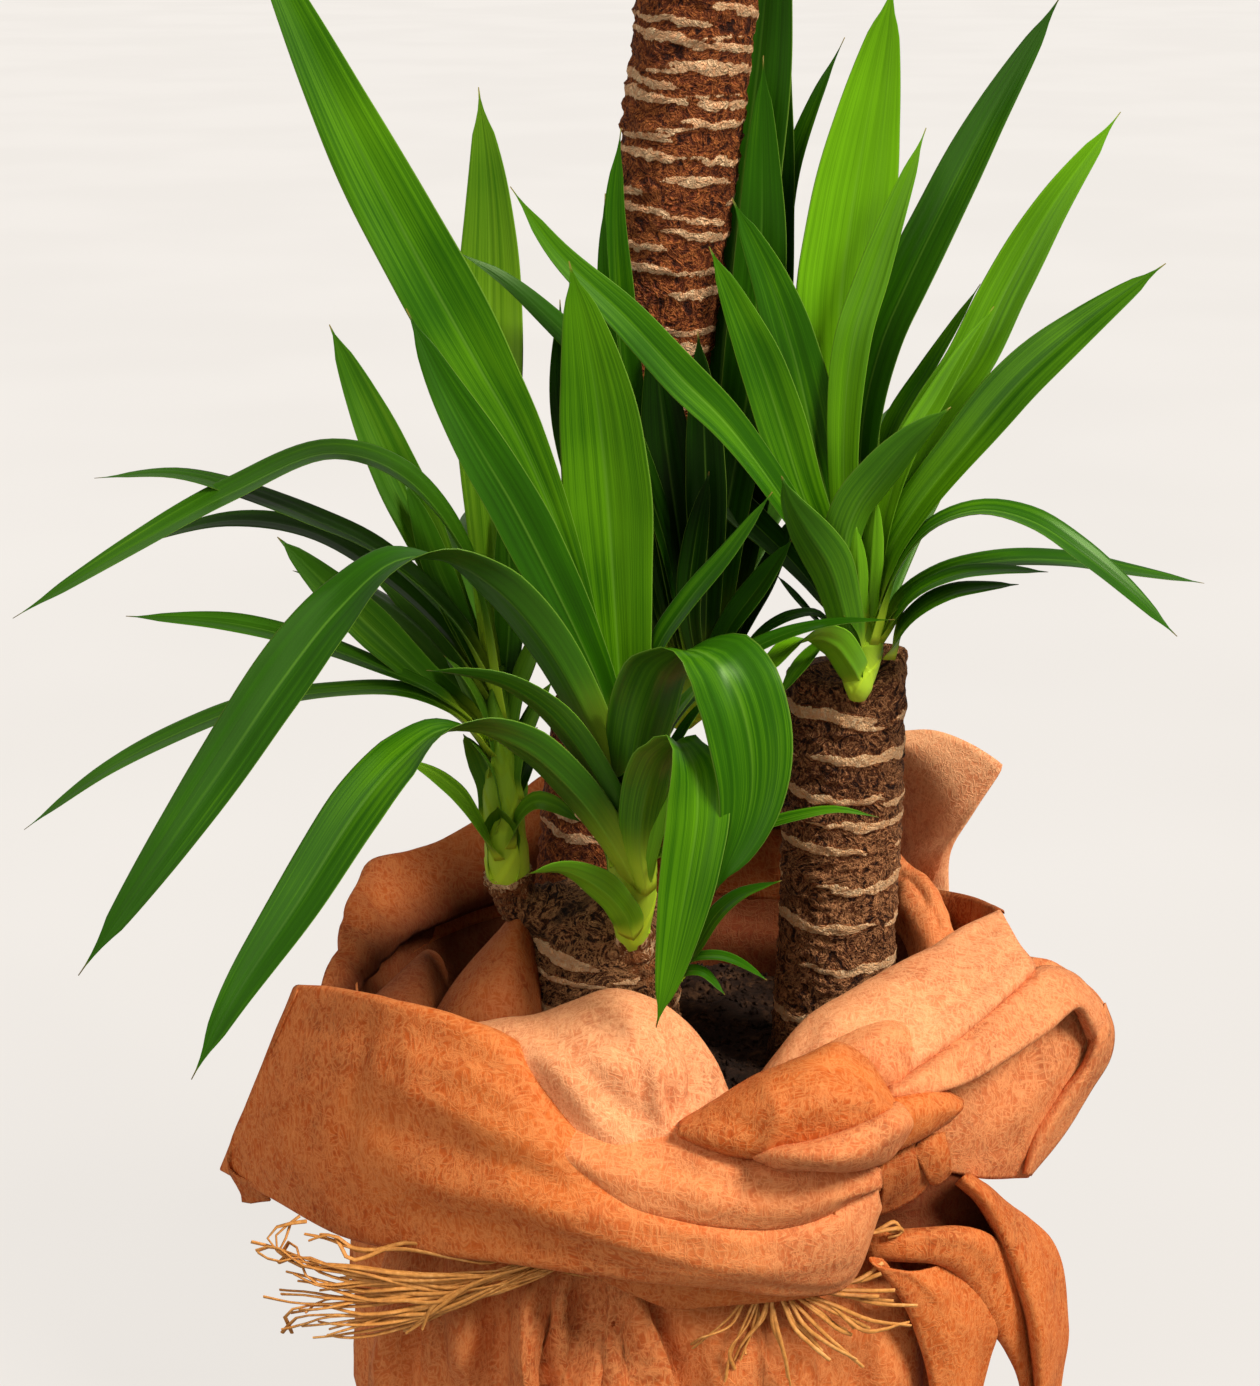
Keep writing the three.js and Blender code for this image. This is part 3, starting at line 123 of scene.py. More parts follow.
def lattice(cell: np.ndarray, seed: int) -> np.ndarray:
    """Return a steady random number from 0 to 1 for each whole-numbered cell.

    Args:
        cell: the cells, as rows of three whole numbers.
        seed: which numbers.

    Returns:
        One number for each cell.
    """
    with np.errstate(over="ignore"):
        n = (cell[..., 0].astype(np.int64) * 374761393 + cell[..., 1].astype(np.int64) * 668265263
             + cell[..., 2].astype(np.int64) * 1274126177 + seed * 974634777) & 0xFFFFFFFF
        n = ((n ^ (n >> 13)) * 1103515245) & 0xFFFFFFFF
        n = ((n ^ (n >> 16)) * 668265263) & 0xFFFFFFFF
    return (n ^ (n >> 15)) / 4294967295.0


def noise(places: np.ndarray, seed: int = 0) -> np.ndarray:
    """Return smooth value noise.

    Args:
        places: points of two or three numbers, one noise cell apart at a step of 1.
        seed: which noise.

    Returns:
        Numbers from -1 to 1.
    """
    p = np.asarray(places, float)
    if p.shape[-1] == 2:
        p = np.concatenate([p, np.zeros(p.shape[:-1] + (1,))], axis=-1)
    base = np.floor(p)
    f = p - base
    f = f * f * (3 - 2 * f)
    total = np.zeros(p.shape[:-1])
    for corner in range(8):
        step = np.array([corner & 1, corner >> 1 & 1, corner >> 2 & 1])
        weight = np.prod(np.where(step, f, 1 - f), axis=-1)
        total += weight * lattice(base + step, seed)
    return 2 * total - 1


def layered(places: np.ndarray, seed: int, octaves: int) -> np.ndarray:
    """Return noise summed over octaves, each half as large and half as strong.

    Args:
        places: points of two or three numbers.
        seed: which noise.
        octaves: how many.

    Returns:
        The sums.
    """
    total = np.zeros(places.shape[:-1])
    for k in range(octaves):
        total += noise(places * 2 ** k + 17 * k, seed + k) / 2 ** k
    return total


def pair(*fields: np.ndarray) -> np.ndarray:
    """Stack coordinate fields into points."""
    return np.stack(np.broadcast_arrays(*fields), axis=-1)


def angles(count: int) -> np.ndarray:
    """Return one row of angles once round."""
    return np.linspace(0, 2 * math.pi, count, endpoint=False)[None, :]


def column(start: float, stop: float, count: int) -> np.ndarray:
    """Return one column of evenly spaced numbers."""
    return np.linspace(start, stop, count)[:, None]


def cylinder(radius: np.ndarray | float, angle: np.ndarray, z: np.ndarray) -> np.ndarray:
    """Return the places at a radius, an angle and a height."""
    return pair(radius * np.cos(angle), radius * np.sin(angle), z)


def turned_from(middle: np.ndarray | float, angle: np.ndarray) -> np.ndarray:
    """Return how far angles lie from a middle one, between minus and plus half a turn."""
    return (angle - middle + math.pi) % (2 * math.pi) - math.pi


def path_length(points: np.ndarray) -> float:
    """Return the length of a line of points."""
    return np.linalg.norm(np.diff(points, axis=0), axis=1).sum()


@dataclass
class Patches:
    """Grids of one piece, gathered before they become a mesh."""

    places: list[np.ndarray] = field(default_factory=list)
    quads: list[np.ndarray] = field(default_factory=list)
    fields: dict[str, list[np.ndarray]] = field(default_factory=dict)
    uvs: list[np.ndarray] = field(default_factory=list)
    size: int = 0

    def add(self, grid: np.ndarray, closed: bool = False, caps: bool = False, uv: np.ndarray | None = None,
            **fields: np.ndarray) -> None:
        """Add a grid of points.

        Args:
            grid: rows by columns by three numbers. An outward face has its rows upward and its columns
                anticlockwise.
            closed: whether the last column joins the first.
            caps: whether both ends are closed with a fan.
            uv: a UV place for each point.
            fields: by attribute name, values for each point, or ones that are spread over them.
        """
        rows, cols = grid.shape[:2]
        index = np.arange(rows * cols).reshape(rows, cols) + self.size
        right = np.roll(index, -1, axis=1) if closed else index[:, 1:]
        left = index if closed else index[:, :-1]
        quads = np.stack([left[:-1], right[:-1], right[1:], left[1:]], axis=-1).reshape(-1, 4)
        self.quads.append(quads)
        places = [grid.reshape(-1, 3)]
        extra = {k: [np.broadcast_to(v, (rows, cols)).ravel()] for k, v in fields.items()}
        flat_uv = [np.zeros((rows * cols, 2)) if uv is None else uv.reshape(-1, 2)]
        self.size += rows * cols
        if caps:
            for row, turn in ((0, -1), (rows - 1, 1)):
                centre = self.size
                places.append(grid[row].mean(axis=0)[None])
                for k, v in extra.items():
                    v.append(np.array([v[0].reshape(rows, cols)[row].mean()]))
                flat_uv.append(flat_uv[0].reshape(rows, cols, 2)[row].mean(axis=0)[None])
                a, b = index[row], np.roll(index[row], -1)
                fan = [a, b] if turn > 0 else [b, a]
                self.quads.append(np.stack([*fan, np.full(cols, centre), np.full(cols, -1)], axis=1))
                self.size += 1
        self.places.append(np.vstack(places))
        self.uvs.append(np.vstack(flat_uv))
        for k, v in extra.items():
            self.fields.setdefault(k, []).append(np.concatenate(v))

    def mesh(self, name: str) -> bpy.types.Object:
        """Make the piece's object.

        Args:
            name: the piece's name.

        Returns:
            The object, at the origin, linked to the scene.
        """
        places = np.vstack(self.places)
        faces = np.vstack(self.quads)
        sizes = np.where(faces[:, 3] < 0, 3, 4)
        corners = faces[faces >= 0]
        mesh = bpy.data.meshes.new(name)
        mesh.vertices.add(len(places))
        mesh.vertices.foreach_set("co", places.astype(np.float32).ravel())
        mesh.loops.add(len(corners))
        mesh.loops.foreach_set("vertex_index", corners.astype(np.int32))
        mesh.polygons.add(len(faces))
        mesh.polygons.foreach_set("loop_start", np.concatenate([[0], np.cumsum(sizes)[:-1]]).astype(np.int32))
        mesh.update(calc_edges=True)
        mesh.polygons.foreach_set("use_smooth", np.ones(len(faces), bool))
        layer = mesh.uv_layers.new(name="along")
        layer.data.foreach_set("uv", np.vstack(self.uvs)[corners].astype(np.float32).ravel())
        for key, values in self.fields.items():
            attribute = mesh.attributes.new(key, "FLOAT", "POINT")
            attribute.data.foreach_set("value", np.concatenate(values).astype(np.float32))
        mesh.validate()
        return placed(name, mesh)


def placed(name: str, data: bpy.types.ID) -> bpy.types.Object:
    """Put a mesh, a camera or a light in the scene at the origin.

    Args:
        name: the object's name.
        data: what it shows.

    Returns:
        The object.
    """
    thing = bpy.data.objects.new(name, data)
    bpy.context.scene.collection.objects.link(thing)
    return thing


def frames_along(points: np.ndarray) -> tuple[np.ndarray, np.ndarray]:
    """Return the side and the other direction at each point of a path, without twist.

    Args:
        points: the path.

    Returns:
        Two arrays of unit directions, square to the path and to each other.
    """
    tangent = unit(np.gradient(points, axis=0))
    side = np.array([1.0, 0, 0]) if abs(tangent[0][0]) < 0.8 else np.array([0, 1.0, 0])
    sides = []
    for t in tangent:
        side = unit(side - t * side.dot(t))
        sides.append(side)
    return np.array(sides), np.cross(tangent, sides)


def tube(path: np.ndarray, radius: np.ndarray, angle: np.ndarray) -> np.ndarray:
    """Lay rings round a path.

    Args:
        path: the centre line, one point for each ring.
        radius: of each point, one row for each ring.
        angle: of each column, as one row.

    Returns:
        The grid of rings.
    """
    side, other = frames_along(path)
    return (path[:, None] + side[:, None] * (radius * np.cos(angle))[..., None]
            + other[:, None] * (radius * np.sin(angle))[..., None])


class Value:
    """A socket whose arithmetic adds Math nodes."""

    def __init__(self, tree: Shader, socket: bpy.types.NodeSocket) -> None:
        """Wrap a socket of a shader."""
        self.tree, self.socket = tree, socket

    def _math(self, kind: str, *values: Value | float) -> Value:
        """Add one Math node."""
        return self.tree.node("ShaderNodeMath", {"operation": kind}, dict(enumerate(values)))

    def __add__(self, other: Value | float) -> Value:
        """Add."""
        return self._math("ADD", self, other)

    def __radd__(self, other: float) -> Value:
        """Add to a number."""
        return self._math("ADD", other, self)

    def __sub__(self, other: Value | float) -> Value:
        """Subtract."""
        return self._math("SUBTRACT", self, other)

    def __rsub__(self, other: float) -> Value:
        """Subtract from a number."""
        return self._math("SUBTRACT", other, self)

    def __mul__(self, other: Value | float) -> Value:
        """Multiply."""
        return self._math("MULTIPLY", self, other)

    def __truediv__(self, other: Value | float) -> Value:
        """Divide."""
        return self._math("DIVIDE", self, other)

    def __pow__(self, other: Value | float) -> Value:
        """Raise to a power."""
        return self._math("POWER", self, other)

    def clamp(self) -> Value:
        """Keep between 0 and 1."""
        return self.tree.node("ShaderNodeClamp", {}, {0: self})

    def size(self) -> Value:
        """Drop the sign."""
        return self._math("ABSOLUTE", self)

    def most(self, other: Value | float) -> Value:
        """Take the larger."""
        return self._math("MAXIMUM", self, other)

    def step(self, low: float, high: float) -> Value:
        """Ease from 0 at low to 1 at high."""
        return self.tree.node("ShaderNodeMapRange", {"interpolation_type": "SMOOTHSTEP"},
                              {0: self, 1: low, 2: high, 3: 0.0, 4: 1.0})

    def ridge(self) -> Value:
        """Turn a noise of 0 to 1 into thin crests at its middle value."""
        return 1 - ((self - 0.5) * 2).size()


class Shader:
    """One material's node tree."""

    def __init__(self, name: str) -> None:
        """Start an empty material.

        Args:
            name: the material's name.
        """
        self.material = bpy.data.materials.new(name)
        self.material.use_nodes = True
        self.nodes = self.material.node_tree.nodes
        self.links = self.material.node_tree.links
        self.nodes.clear()

    def node(self, kind: str, settings: dict, inputs: dict, out: int | str = 0) -> Value:
        """Add a node.

        Args:
            kind: the node's type.
            settings: its properties, set first; "stops" fills a colour ramp.
            inputs: numbers, colours or values by socket number or name.
            out: which output to give back.

        Returns:
            The chosen output as a value.
        """
        made = self.nodes.new(kind)
        for key, value in settings.items():
            if key == "stops":
                ramp = made.color_ramp
                while len(ramp.elements) < len(value):
                    ramp.elements.new(0.5)
                for element, (place, colour) in zip(ramp.elements, value):
                    element.position, element.color = place, self.filled(colour)
            else:
                setattr(made, key, value)
        for key, value in inputs.items():
            if isinstance(value, Value):
                self.links.new(value.socket, made.inputs[key])
            else:
                made.inputs[key].default_value = value
        return Value(self, made.outputs[out])

    def place(self) -> Value:
        """Return the Object coordinates."""
        return self.node("ShaderNodeTexCoord", {}, {}, "Object")

    def stretched(self, scale: tuple[float, float, float], source: Value | None = None) -> Value:
        """Return coordinates times a scale for each axis."""
        return self.node("ShaderNodeMapping", {}, {0: source or self.place(), "Scale": scale})

    def cloud(self, scale: float, detail: float = 3.0, rough: float = 0.55, warp: float = 0.0,
              source: Value | None = None) -> Value:
        """Return noise of about 0 to 1.

        Args:
            scale: cells to a metre.
            detail: octaves.
            rough: share of each finer octave.
            warp: how far the noise is drawn out of shape.
            source: coordinates other than the Object ones.

        Returns:
            The noise.
        """
        return self.node("ShaderNodeTexNoise", {}, {
            "Vector": source or self.place(), "Scale": scale, "Detail": detail, "Roughness": rough,
            "Distortion": warp})

    def field(self, name: str) -> Value:
        """Return one of the piece's own attributes."""
        return self.node("ShaderNodeAttribute", {"attribute_name": name}, {}, "Fac")

    def ramp(self, source: Value, *stops: tuple[float, str]) -> Value:
        """Return a colour from a ramp."""
        return self.node("ShaderNodeValToRGB", {"stops": stops}, {0: source})

    @staticmethod
    def filled(colour: Value | str) -> Value | tuple:
        """Turn a colour code into the numbers of a colour socket, and let a value through."""
        return colour if isinstance(colour, Value) else (*srgb(colour), 1.0)

    def mix(self, share: Value | float, low: Value | str, high: Value | str) -> Value:
        """Return a mixture of two colours."""
        return self.node("ShaderNodeMix", {"data_type": "RGBA", "clamp_result": True},
                         {0: share, 6: self.filled(low), 7: self.filled(high)}, 2)

    def bump(self, height: Value, depth: float, strength: float = 1.0) -> Value:
        """Return a normal raised by height times depth in metres."""
        return self.node("ShaderNodeBump", {}, {"Height": height, "Distance": depth, "Strength": strength})

    def finish(self, colour: Value | str, rough: Value | float, normal: Value | None = None,
               **constants: Value | float | tuple) -> bpy.types.Material:
        """Close the tree with one surface shader.

        Args:
            colour: the base colour.
            rough: the roughness.
            normal: the bumped normal.
            constants: numbers set on the shader's own sockets, by name with spaces as underscores.

        Returns:
            The material.
        """
        inputs = {"Base Color": self.filled(colour), "Roughness": rough}
        if normal:
            inputs["Normal"] = normal
        inputs.update({key.replace("_", " "): value for key, value in constants.items()})
        surface = self.node("ShaderNodeBsdfPrincipled", {}, inputs)
        out = self.nodes.new("ShaderNodeOutputMaterial")
        self.links.new(surface.socket, out.inputs[0])
        return self.material


def srgb(code: str) -> tuple[float, float, float]:
    """Return the linear colour of a six-figure colour code."""
    parts = [int(code[i:i + 2], 16) / 255 for i in (0, 2, 4)]
    return tuple(c / 12.92 if c <= 0.04045 else ((c + 0.055) / 1.055) ** 2.4 for c in parts)


# Leaf tables: [width, root width ratio, [s, t, y, roll] from root to tip]. Roll 0 turns the upper face to
# the viewpoint, 180 the underside; 90 is the left side's natural turn and -90 the right side's. A root ratio
# below 0 stands for a leaf that starts as a narrow stalk.
LEFT_LEAVES = [
    [22, 0.6, [-69, 350, -46, 90], [-82, 415, -49, 80], [-112, 456, -55, 62], [-145, 467, -60, 62],
     [-190, 449, -66, 55], [-235, 424, -72, 50], [-286, 393, -80, 45]],
    [18, 0.6, [-71, 358, -44, 80], [-88, 390, -45, 70], [-122, 422, -49, 65], [-152, 437, -52, 62],
     [-182, 449, -54, 60], [-214, 457, -56, 60], [-250, 455, -58, 60]],
    [16, 0.6, [-73, 355, -40, 80], [-95, 388, -40, 65], [-125, 415, -42, 60], [-155, 432, -44, 60],
     [-190, 436.5, -45, 60], [-238, 424, -46, 60]],
    [19, 0.6, [-74, 345, -48, 70], [-98, 362, -54, 40], [-120, 382, -58, 25], [-142, 403, -60, 20],
     [-169, 429, -62, 15]],
    [15, 0.6, [-74, 340, -52, 90], [-98, 360, -60, 65], [-125, 372, -66, 60], [-155, 383, -69, 55],
     [-190, 391, -71, 50], [-236, 394, -72, 50]],
    [16, 0.6, [-74, 333, -54, 90], [-88, 350, -62, 70], [-112, 361, -68, 60], [-145, 361, -73, 60],
     [-180, 355, -78, 58], [-212, 343, -82, 55], [-245, 326, -86, 55], [-281, 299.5, -90, 50]],
    [21, 0.6, [-74, 360, -38, 60], [-88, 392, -34, 35], [-103, 428, -30, 20], [-117, 458, -26, 15],
     [-130, 487, -22, 10], [-146, 523, -18, 5]],
    [29, 0.6, [-71, 358, -36, 20], [-73, 420, -28, 12], [-76, 470, -22, 8], [-75, 530, -14, 4],
     [-76, 585, -8, 0], [-80, 628, -4, 0]],
    [12, 0.9, [-71, 287, -54, 110], [-78, 299, -60, 70], [-88, 314, -66, 55], [-100, 324, -70, 50],
     [-113, 331, -72, 50]],
    [12, 1.0, [-66, 292, -56, -100], [-62, 306, -58, -60], [-55, 312, -60, -50], [-47, 310.5, -62, -50],
     [-35, 303, -64, -50]],
    [11, 0.9, [-66, 305, -44, -60], [-61, 322, -38, -40], [-54, 345, -33, -40]],
    [14, 0.6, [-73, 355, -42, 60], [-86, 388, -38, 40], [-98, 415, -35, 25], [-107, 440, -33, 20],
     [-113, 454, -32, 20]],
    [15, 0.6, [-70, 350, -40, 0], [-67, 380, -34, 10], [-66, 410, -30, 10], [-69, 448, -27, 10]],
]

FRONT_LEAVES = [
    [37, 0.5, [-14, 320, -70, 10], [-17, 360, -68, 8], [-20, 405, -68, 5], [-23.5, 452, -70, 0],
     [-28, 492, -71, 0], [-34, 525, -72, 0], [-40, 551, -72, 0]],
    [32, -1, [-17, 322, -70, 30], [-30, 385, -74, 25], [-46, 436, -80, 20], [-62, 473, -86, 16],
     [-80, 505, -90, 14], [-110, 559, -93, 14], [-140, 616, -93, 14], [-163, 664, -91, 14],
     [-185, 710, -88, 14]],
    [24, 0.3, [-16, 322, -76, 40], [-25, 360, -86, 30], [-35, 384, -92, 26], [-50, 415, -98, 22],
     [-65, 444, -103, 20], [-80, 469, -105, 18], [-96, 497, -104, 15], [-112, 530, -101, 15]],
    [28, 0.55, [-15, 310, -78, 170], [-30, 347, -90, 160], [-50, 383, -98, 150], [-72, 408, -105, 135],
     [-95, 421, -111, 100], [-118, 419, -117, 60], [-143, 397, -122, 35], [-168, 365, -127, 25],
     [-195, 325, -133, 20], [-228, 277, -139, 15], [-257, 235, -143, 10]],
    [27, 0.55, [-10, 275, -82, 170], [-22, 297, -92, 160], [-38, 318, -100, 150], [-58, 336, -108, 135],
     [-80, 345, -115, 105], [-98, 344.5, -121, 70], [-115, 331, -127, 40], [-133, 310, -134, 30],
     [-160, 268, -144, 25], [-188, 225, -153, 20], [-207, 189, -159, 15]],
    [17, 0.9, [-13, 292, -82, 160], [-22, 314, -92, 150], [-36, 338, -99, 140], [-50, 354, -105, 130],
     [-68, 365, -111, 120], [-85, 369, -116, 115], [-103, 370, -120, 110]],
    [16, 1.1, [-12, 253, -82, 180], [-15, 262, -90, 178], [-23, 272, -96, 160], [-33, 279, -100, 135],
     [-44, 282.5, -102, 120], [-58, 280, -104, 115]],
    [38, 0.5, [-13, 298, -80, -180], [-12, 325, -86, -175], [-7, 352, -94, -165], [1, 373, -102, -135],
     [13, 381, -110, -85], [25, 376, -117, -40], [34, 362, -123, -15], [40, 340, -128, -5],
     [41, 318, -131, 0], [37, 299, -133, 5], [24, 271, -135, 10]],
    [26, 0.6, [-6, 272, -84, -180], [-9, 295, -92, -175], [-6, 318, -101, -165], [0, 334, -110, -130],
     [9, 339.5, -118, -80], [16, 328, -126, -30], [17, 308, -132, -5], [14, 285, -136, 5],
     [9, 258, -139, 8], [3.5, 232, -140, 8], [-1.5, 212, -141, 8]],
    [14, 0.6, [-12, 305, -70, -60], [-9, 345, -68, -60], [-2, 378, -69, -55], [12, 400, -71, -50],
     [30, 422, -73, -45], [50, 449, -75, -40]],
    [9, 0.8, [-8, 284, -80, -60], [4, 291, -92, -60], [18, 297, -104, -60], [30, 297, -112, -60],
     [45, 301.5, -116, -60], [62, 306, -116, -60], [78, 308.5, -113, -60], [97, 305, -108, -60]],
    [11, 0.8, [-8, 272, -84, 170], [-5, 290, -90, 160], [-1, 308, -94, 150], [5, 326, -96, 150]],
    [11, 0.6, [-9, 300, -66, -60], [-5, 325, -66, -60], [3, 345, -68, -60], [14, 360, -70, -60],
     [26, 372, -72, -60]],
    [9, 0.6, [-8, 292, -64, -60], [0, 322, -62, -60], [8, 340, -62, -60], [18, 354, -62, -60],
     [28, 362, -62, -60]],
    [12, 0.6, [-9, 300, -66, -80], [5, 345, -58, -65], [25, 368, -56, -60], [48, 383, -58, -60],
     [75, 391, -60, -60], [104, 392.5, -62, -60]],
    [18, 0.6, [-15, 320, -66, 0], [-26, 375, -58, 0], [-34, 425, -55, 0], [-40, 470, -54, 0]],
]

RIGHT_LEAVES = [
    [40, 0.4, [88, 375, -12, 0], [84, 430, -4, 0], [80, 490, 4, 0], [80, 530, 10, 0], [84, 565, 15, 0],
     [90, 602, 19, 0], [97, 640, 23, 0], [104, 676, 25, 0]],
    [24, 0.6, [90, 385, -12, -60], [88, 440, -6, -35], [90, 482, -2, -30], [98, 515, 2, -30],
     [109, 541, 6, -30], [128, 580, 12, -30], [149, 620, 18, -25], [178.5, 670, 24, -20]],
    [22, 0.6, [93, 385, -16, -60], [97, 425, -16, -30], [107, 458, -14, -22], [122, 485, -12, -20],
     [137, 506, -10, -20], [154, 540, -6, -20], [175, 577, -2, -15], [204, 617, 6, -10]],
    [24, 0.6, [92, 385, -20, -70], [100, 420, -24, -45], [112, 441, -27, -38], [135, 470, -30, -35],
     [160, 499, -32, -32], [190, 525, -33, -30], [224, 550, -33, -30]],
    [21, 0.7, [89, 380, -26, 180], [85, 402, -31, 180], [81, 424, -35, 200], [86, 442, -38, 215],
     [98, 458, -40, 215], [112, 473, -42, 210], [129, 486.5, -44, 205]],
    [24, 0.5, [86, 385, -8, 30], [77, 435, -6, 15], [69, 470, -4, 10], [60, 508, -2, 8], [49, 542, 0, 5],
     [32, 579, 2, 0]],
    [22, 0.5, [85, 382, -16, 40], [73, 425, -18, 20], [63, 450, -18, 12], [55, 475, -17, 10],
     [45, 505, -16, 8], [34, 531, -15, 5], [22, 557.5, -14, 0]],
    [17, 0.6, [87, 385, -15, -30], [82, 440, -13, -25], [82, 485, -9, -22], [86, 518, -6, -20],
     [94, 543, -3, -20], [104, 572, 0, -20], [118, 610, 4, -15]],
    [11, 0.6, [92, 388, -6, -60], [94, 440, 0, -45], [103, 478, 4, -40], [118, 503, 8, -40],
     [130, 522, 10, -40], [142, 541, 12, -40]],
    [12, 0.6, [94, 388, -18, -60], [99, 435, -21, -40], [110, 470, -21, -30], [122, 490, -20, -30],
     [135, 512, -18, -30], [148, 531, -16, -30]],
    [17, 0.6, [95, 382, -26, -110], [104, 414, -32, -75], [120, 434, -39, -68], [142, 441.5, -45, -62],
     [165, 436.5, -51, -50], [187, 422, -55, -42], [208, 405, -58, -38], [229, 385, -60, -35]],
    [17, 0.6, [96, 380, -20, -110], [106, 401, -23, -65], [124, 413, -28, -60], [150, 419, -33, -58],
     [180, 419, -37, -58], [210, 414, -41, -58], [241, 408.5, -44, -60]],
    [14, 0.9, [102, 376, -20, -120], [107, 389, -29, -70], [117, 399, -34, -60], [130, 405, -37, -60],
     [144, 407, -39, -60], [159, 408, -41, -60]],
    [12, 0.6, [98, 383, -24, -100], [112, 403, -35, -65], [130, 412, -41, -60], [150, 414.5, -46, -60],
     [172, 413.5, -50, -60]],
    [21, 0.7, [86, 374, -28, 170], [81, 398, -36, 165], [75, 417, -41, 158], [65, 433, -45, 150],
     [58, 445, -47, 145], [54, 456, -48, 140]],
    [19, 0.5, [84, 384, -20, 50], [68, 424, -26, 35], [52, 450, -31, 28], [30, 479, -35, 24],
     [10, 499, -39, 20], [-15, 526, -42, 18], [-45, 555, -45, 15], [-66, 584, -47, 12]],
    [18, 0.9, [89, 364, -24, 180], [84, 374, -36, 170], [78, 382, -42, 150], [70, 385.5, -46, 115],
     [59, 382, -49, 70], [50, 374, -51, 45], [43, 366, -52, 35]],
    [10, 0.8, [85, 380, -22, 110], [74, 383, -31, 75], [63, 373, -37, 50], [53, 359, -40, 45]],
    [8, 0.7, [80, 384, -10, 90], [70, 395, -11, 60], [59, 394.5, -12, 55], [49, 390, -13, 50],
     [38, 382, -14, 45]],
    [6, 0.7, [78, 383, -4, 90], [68, 394, 0, 60], [60, 403, 2, 50], [52, 412, 3, 45]],
    [9, 0.9, [89, 385, -26, 180], [88, 410, -33, 180], [87, 434, -36, 180]],
    [10, 0.9, [92, 385, -24, 160], [94, 418, -28, 150], [96, 447, -30, 150]],
    [16, 0.5, [84, 385, 0, 60], [62, 415, 10, 30], [40, 437, 12, 15], [18, 455, 12, 10], [-12, 474, 10, 5]],
]

MIDDLE_LEAVES = [
    [34, 0.5, [24, 366, 12, 0], [25, 440, 18, 0], [28, 510, 24, 0], [36, 580, 29, 0], [44, 640, 32, 0],
     [50, 700, 34, 0], [55, 745, 35, 0]],
    [27, 0.5, [26, 366, 14, -30], [40, 450, 26, -12], [45, 520, 34, 0], [47, 580, 38, 0], [50, 640, 41, 0],
     [56, 695, 43, 0]],
    [25, 0.5, [22, 366, 6, 0], [30, 440, 10, 0], [40, 500, 14, 0], [45, 560, 18, 0], [45.5, 600, 20, 0],
     [46, 642, 21, 0]],
    [14, 0.5, [26, 366, 16, -40], [42, 460, 34, -30], [50, 540, 46, -25], [57, 588, 50, -20],
     [68, 620, 52, -18], [82, 650, 54, -15]],
    [17, 0.5, [12, 366, 2, 30], [-5, 430, -6, 20], [-15, 490, -9, 12], [-19, 540, -9, 8], [-20, 575, -8, 5],
     [-17, 610, -6, 0]],
    [9, 0.6, [8, 366, 0, 30], [-12, 450, -14, 20], [-22, 510, -18, 15], [-25, 550, -19, 10],
     [-24, 581, -19, 5]],
    [16, 0.6, [14, 366, 2, 60], [2, 430, -10, 45], [-15, 475, -18, 40], [-32, 508, -23, 35],
     [-50, 527, -27, 30], [-70, 544, -30, 28], [-91, 556, -32, 25]],
    [17, 0.6, [8, 366, 0, 30], [-14, 410, -10, 20], [-32, 450, -14, 12], [-42, 490, -17, 8],
     [-44, 534, -19, 0]],
    [24, 0.5, [16, 366, 0, 10], [10, 420, -6, 5], [3, 470, -10, 0], [-3, 522, -13, 0]],
    [18, 0.5, [20, 366, -2, 0], [21, 420, -10, 0], [20, 470, -14, 0], [17, 520, -16, 0]],
    [12, 0.5, [18, 366, -6, 0], [13, 398, -16, 0], [16, 428, -20, 0], [22, 458, -23, 0]],
    [17, 0.6, [20, 366, -6, -40], [31, 390, -14, -50], [45, 409, -18, -50], [59, 428, -21, -50]],
    [14, 0.6, [26, 366, 6, -50], [38, 393, 12, -40], [49, 415, 14, -40], [60, 440, 14, -40]],
]

TINY_LEAVES = [
    [9, 0.5, [7, 236, -42, -60], [16, 247, -57, -45], [25, 262, -64, -40], [36, 271, -70, -45],
     [54, 277, -76, -55]],
    [7, 0.5, [7, 238, -42, -60], [17, 243.5, -58, -60], [28, 243.5, -66, -60], [37, 240, -71, -55],
     [47.5, 233, -76, -50]],
    [7, 0.6, [7, 232, -44, -60], [13, 237, -60, -60], [20, 236, -66, -55], [29, 226.5, -72, -50]],
]

# How bright each leaf of a table is, 0 deep to 1 bright
LEFT_TONES = [.4, .3, .3, .45, .3, .4, .5, .72, .7, .6, .3, .35, .2]
FRONT_TONES = [.64, .56, .36, .42, .5, .5, .85, .5, .6, .5, .5, .85, .6, .35, .3, .2]
RIGHT_TONES = [
    .92, .4, .78, .62, .62, .48, .62, .85, .65, .9, .5, .5, .5, .45, .55, .56, .85, .5, .3, .35, .9, .9, .2,
]
MIDDLE_TONES = [.3, .26, .34, .45, .45, .2, .3, .15, .1, .1, .12, .35, .1]
TINY_TONES = [.5, .5, .5]

# Outline of every blade: stations from root to tip, and the share of the full width at the last five of them
BLADE_STATIONS = (0, .15, .35, .55, .72, .86, .95, 1)
BLADE_SHARES = (1, .88, .55, .24, 0)
# Where the lengthwise lines of points lie across a blade
BLADE_COLUMNS = np.array([-1, -.95, -.82, -.64, -.45, -.27, -.12, 0, .12, .27, .45, .64, .82, .95, 1])
# Metres: how high the keel stands under a blade, how deep its pleats are, how thin it gets, how far one
# sheath of a bulb stands over the next, and the half width from which a blade has its full thickness
KEEL_HEIGHT = 0.0006
PLEAT_DEPTH = 0.00022
LEAST_BODY = 0.00003
SHEATH_STEP = 0.00055
FULL_HALF = 0.004
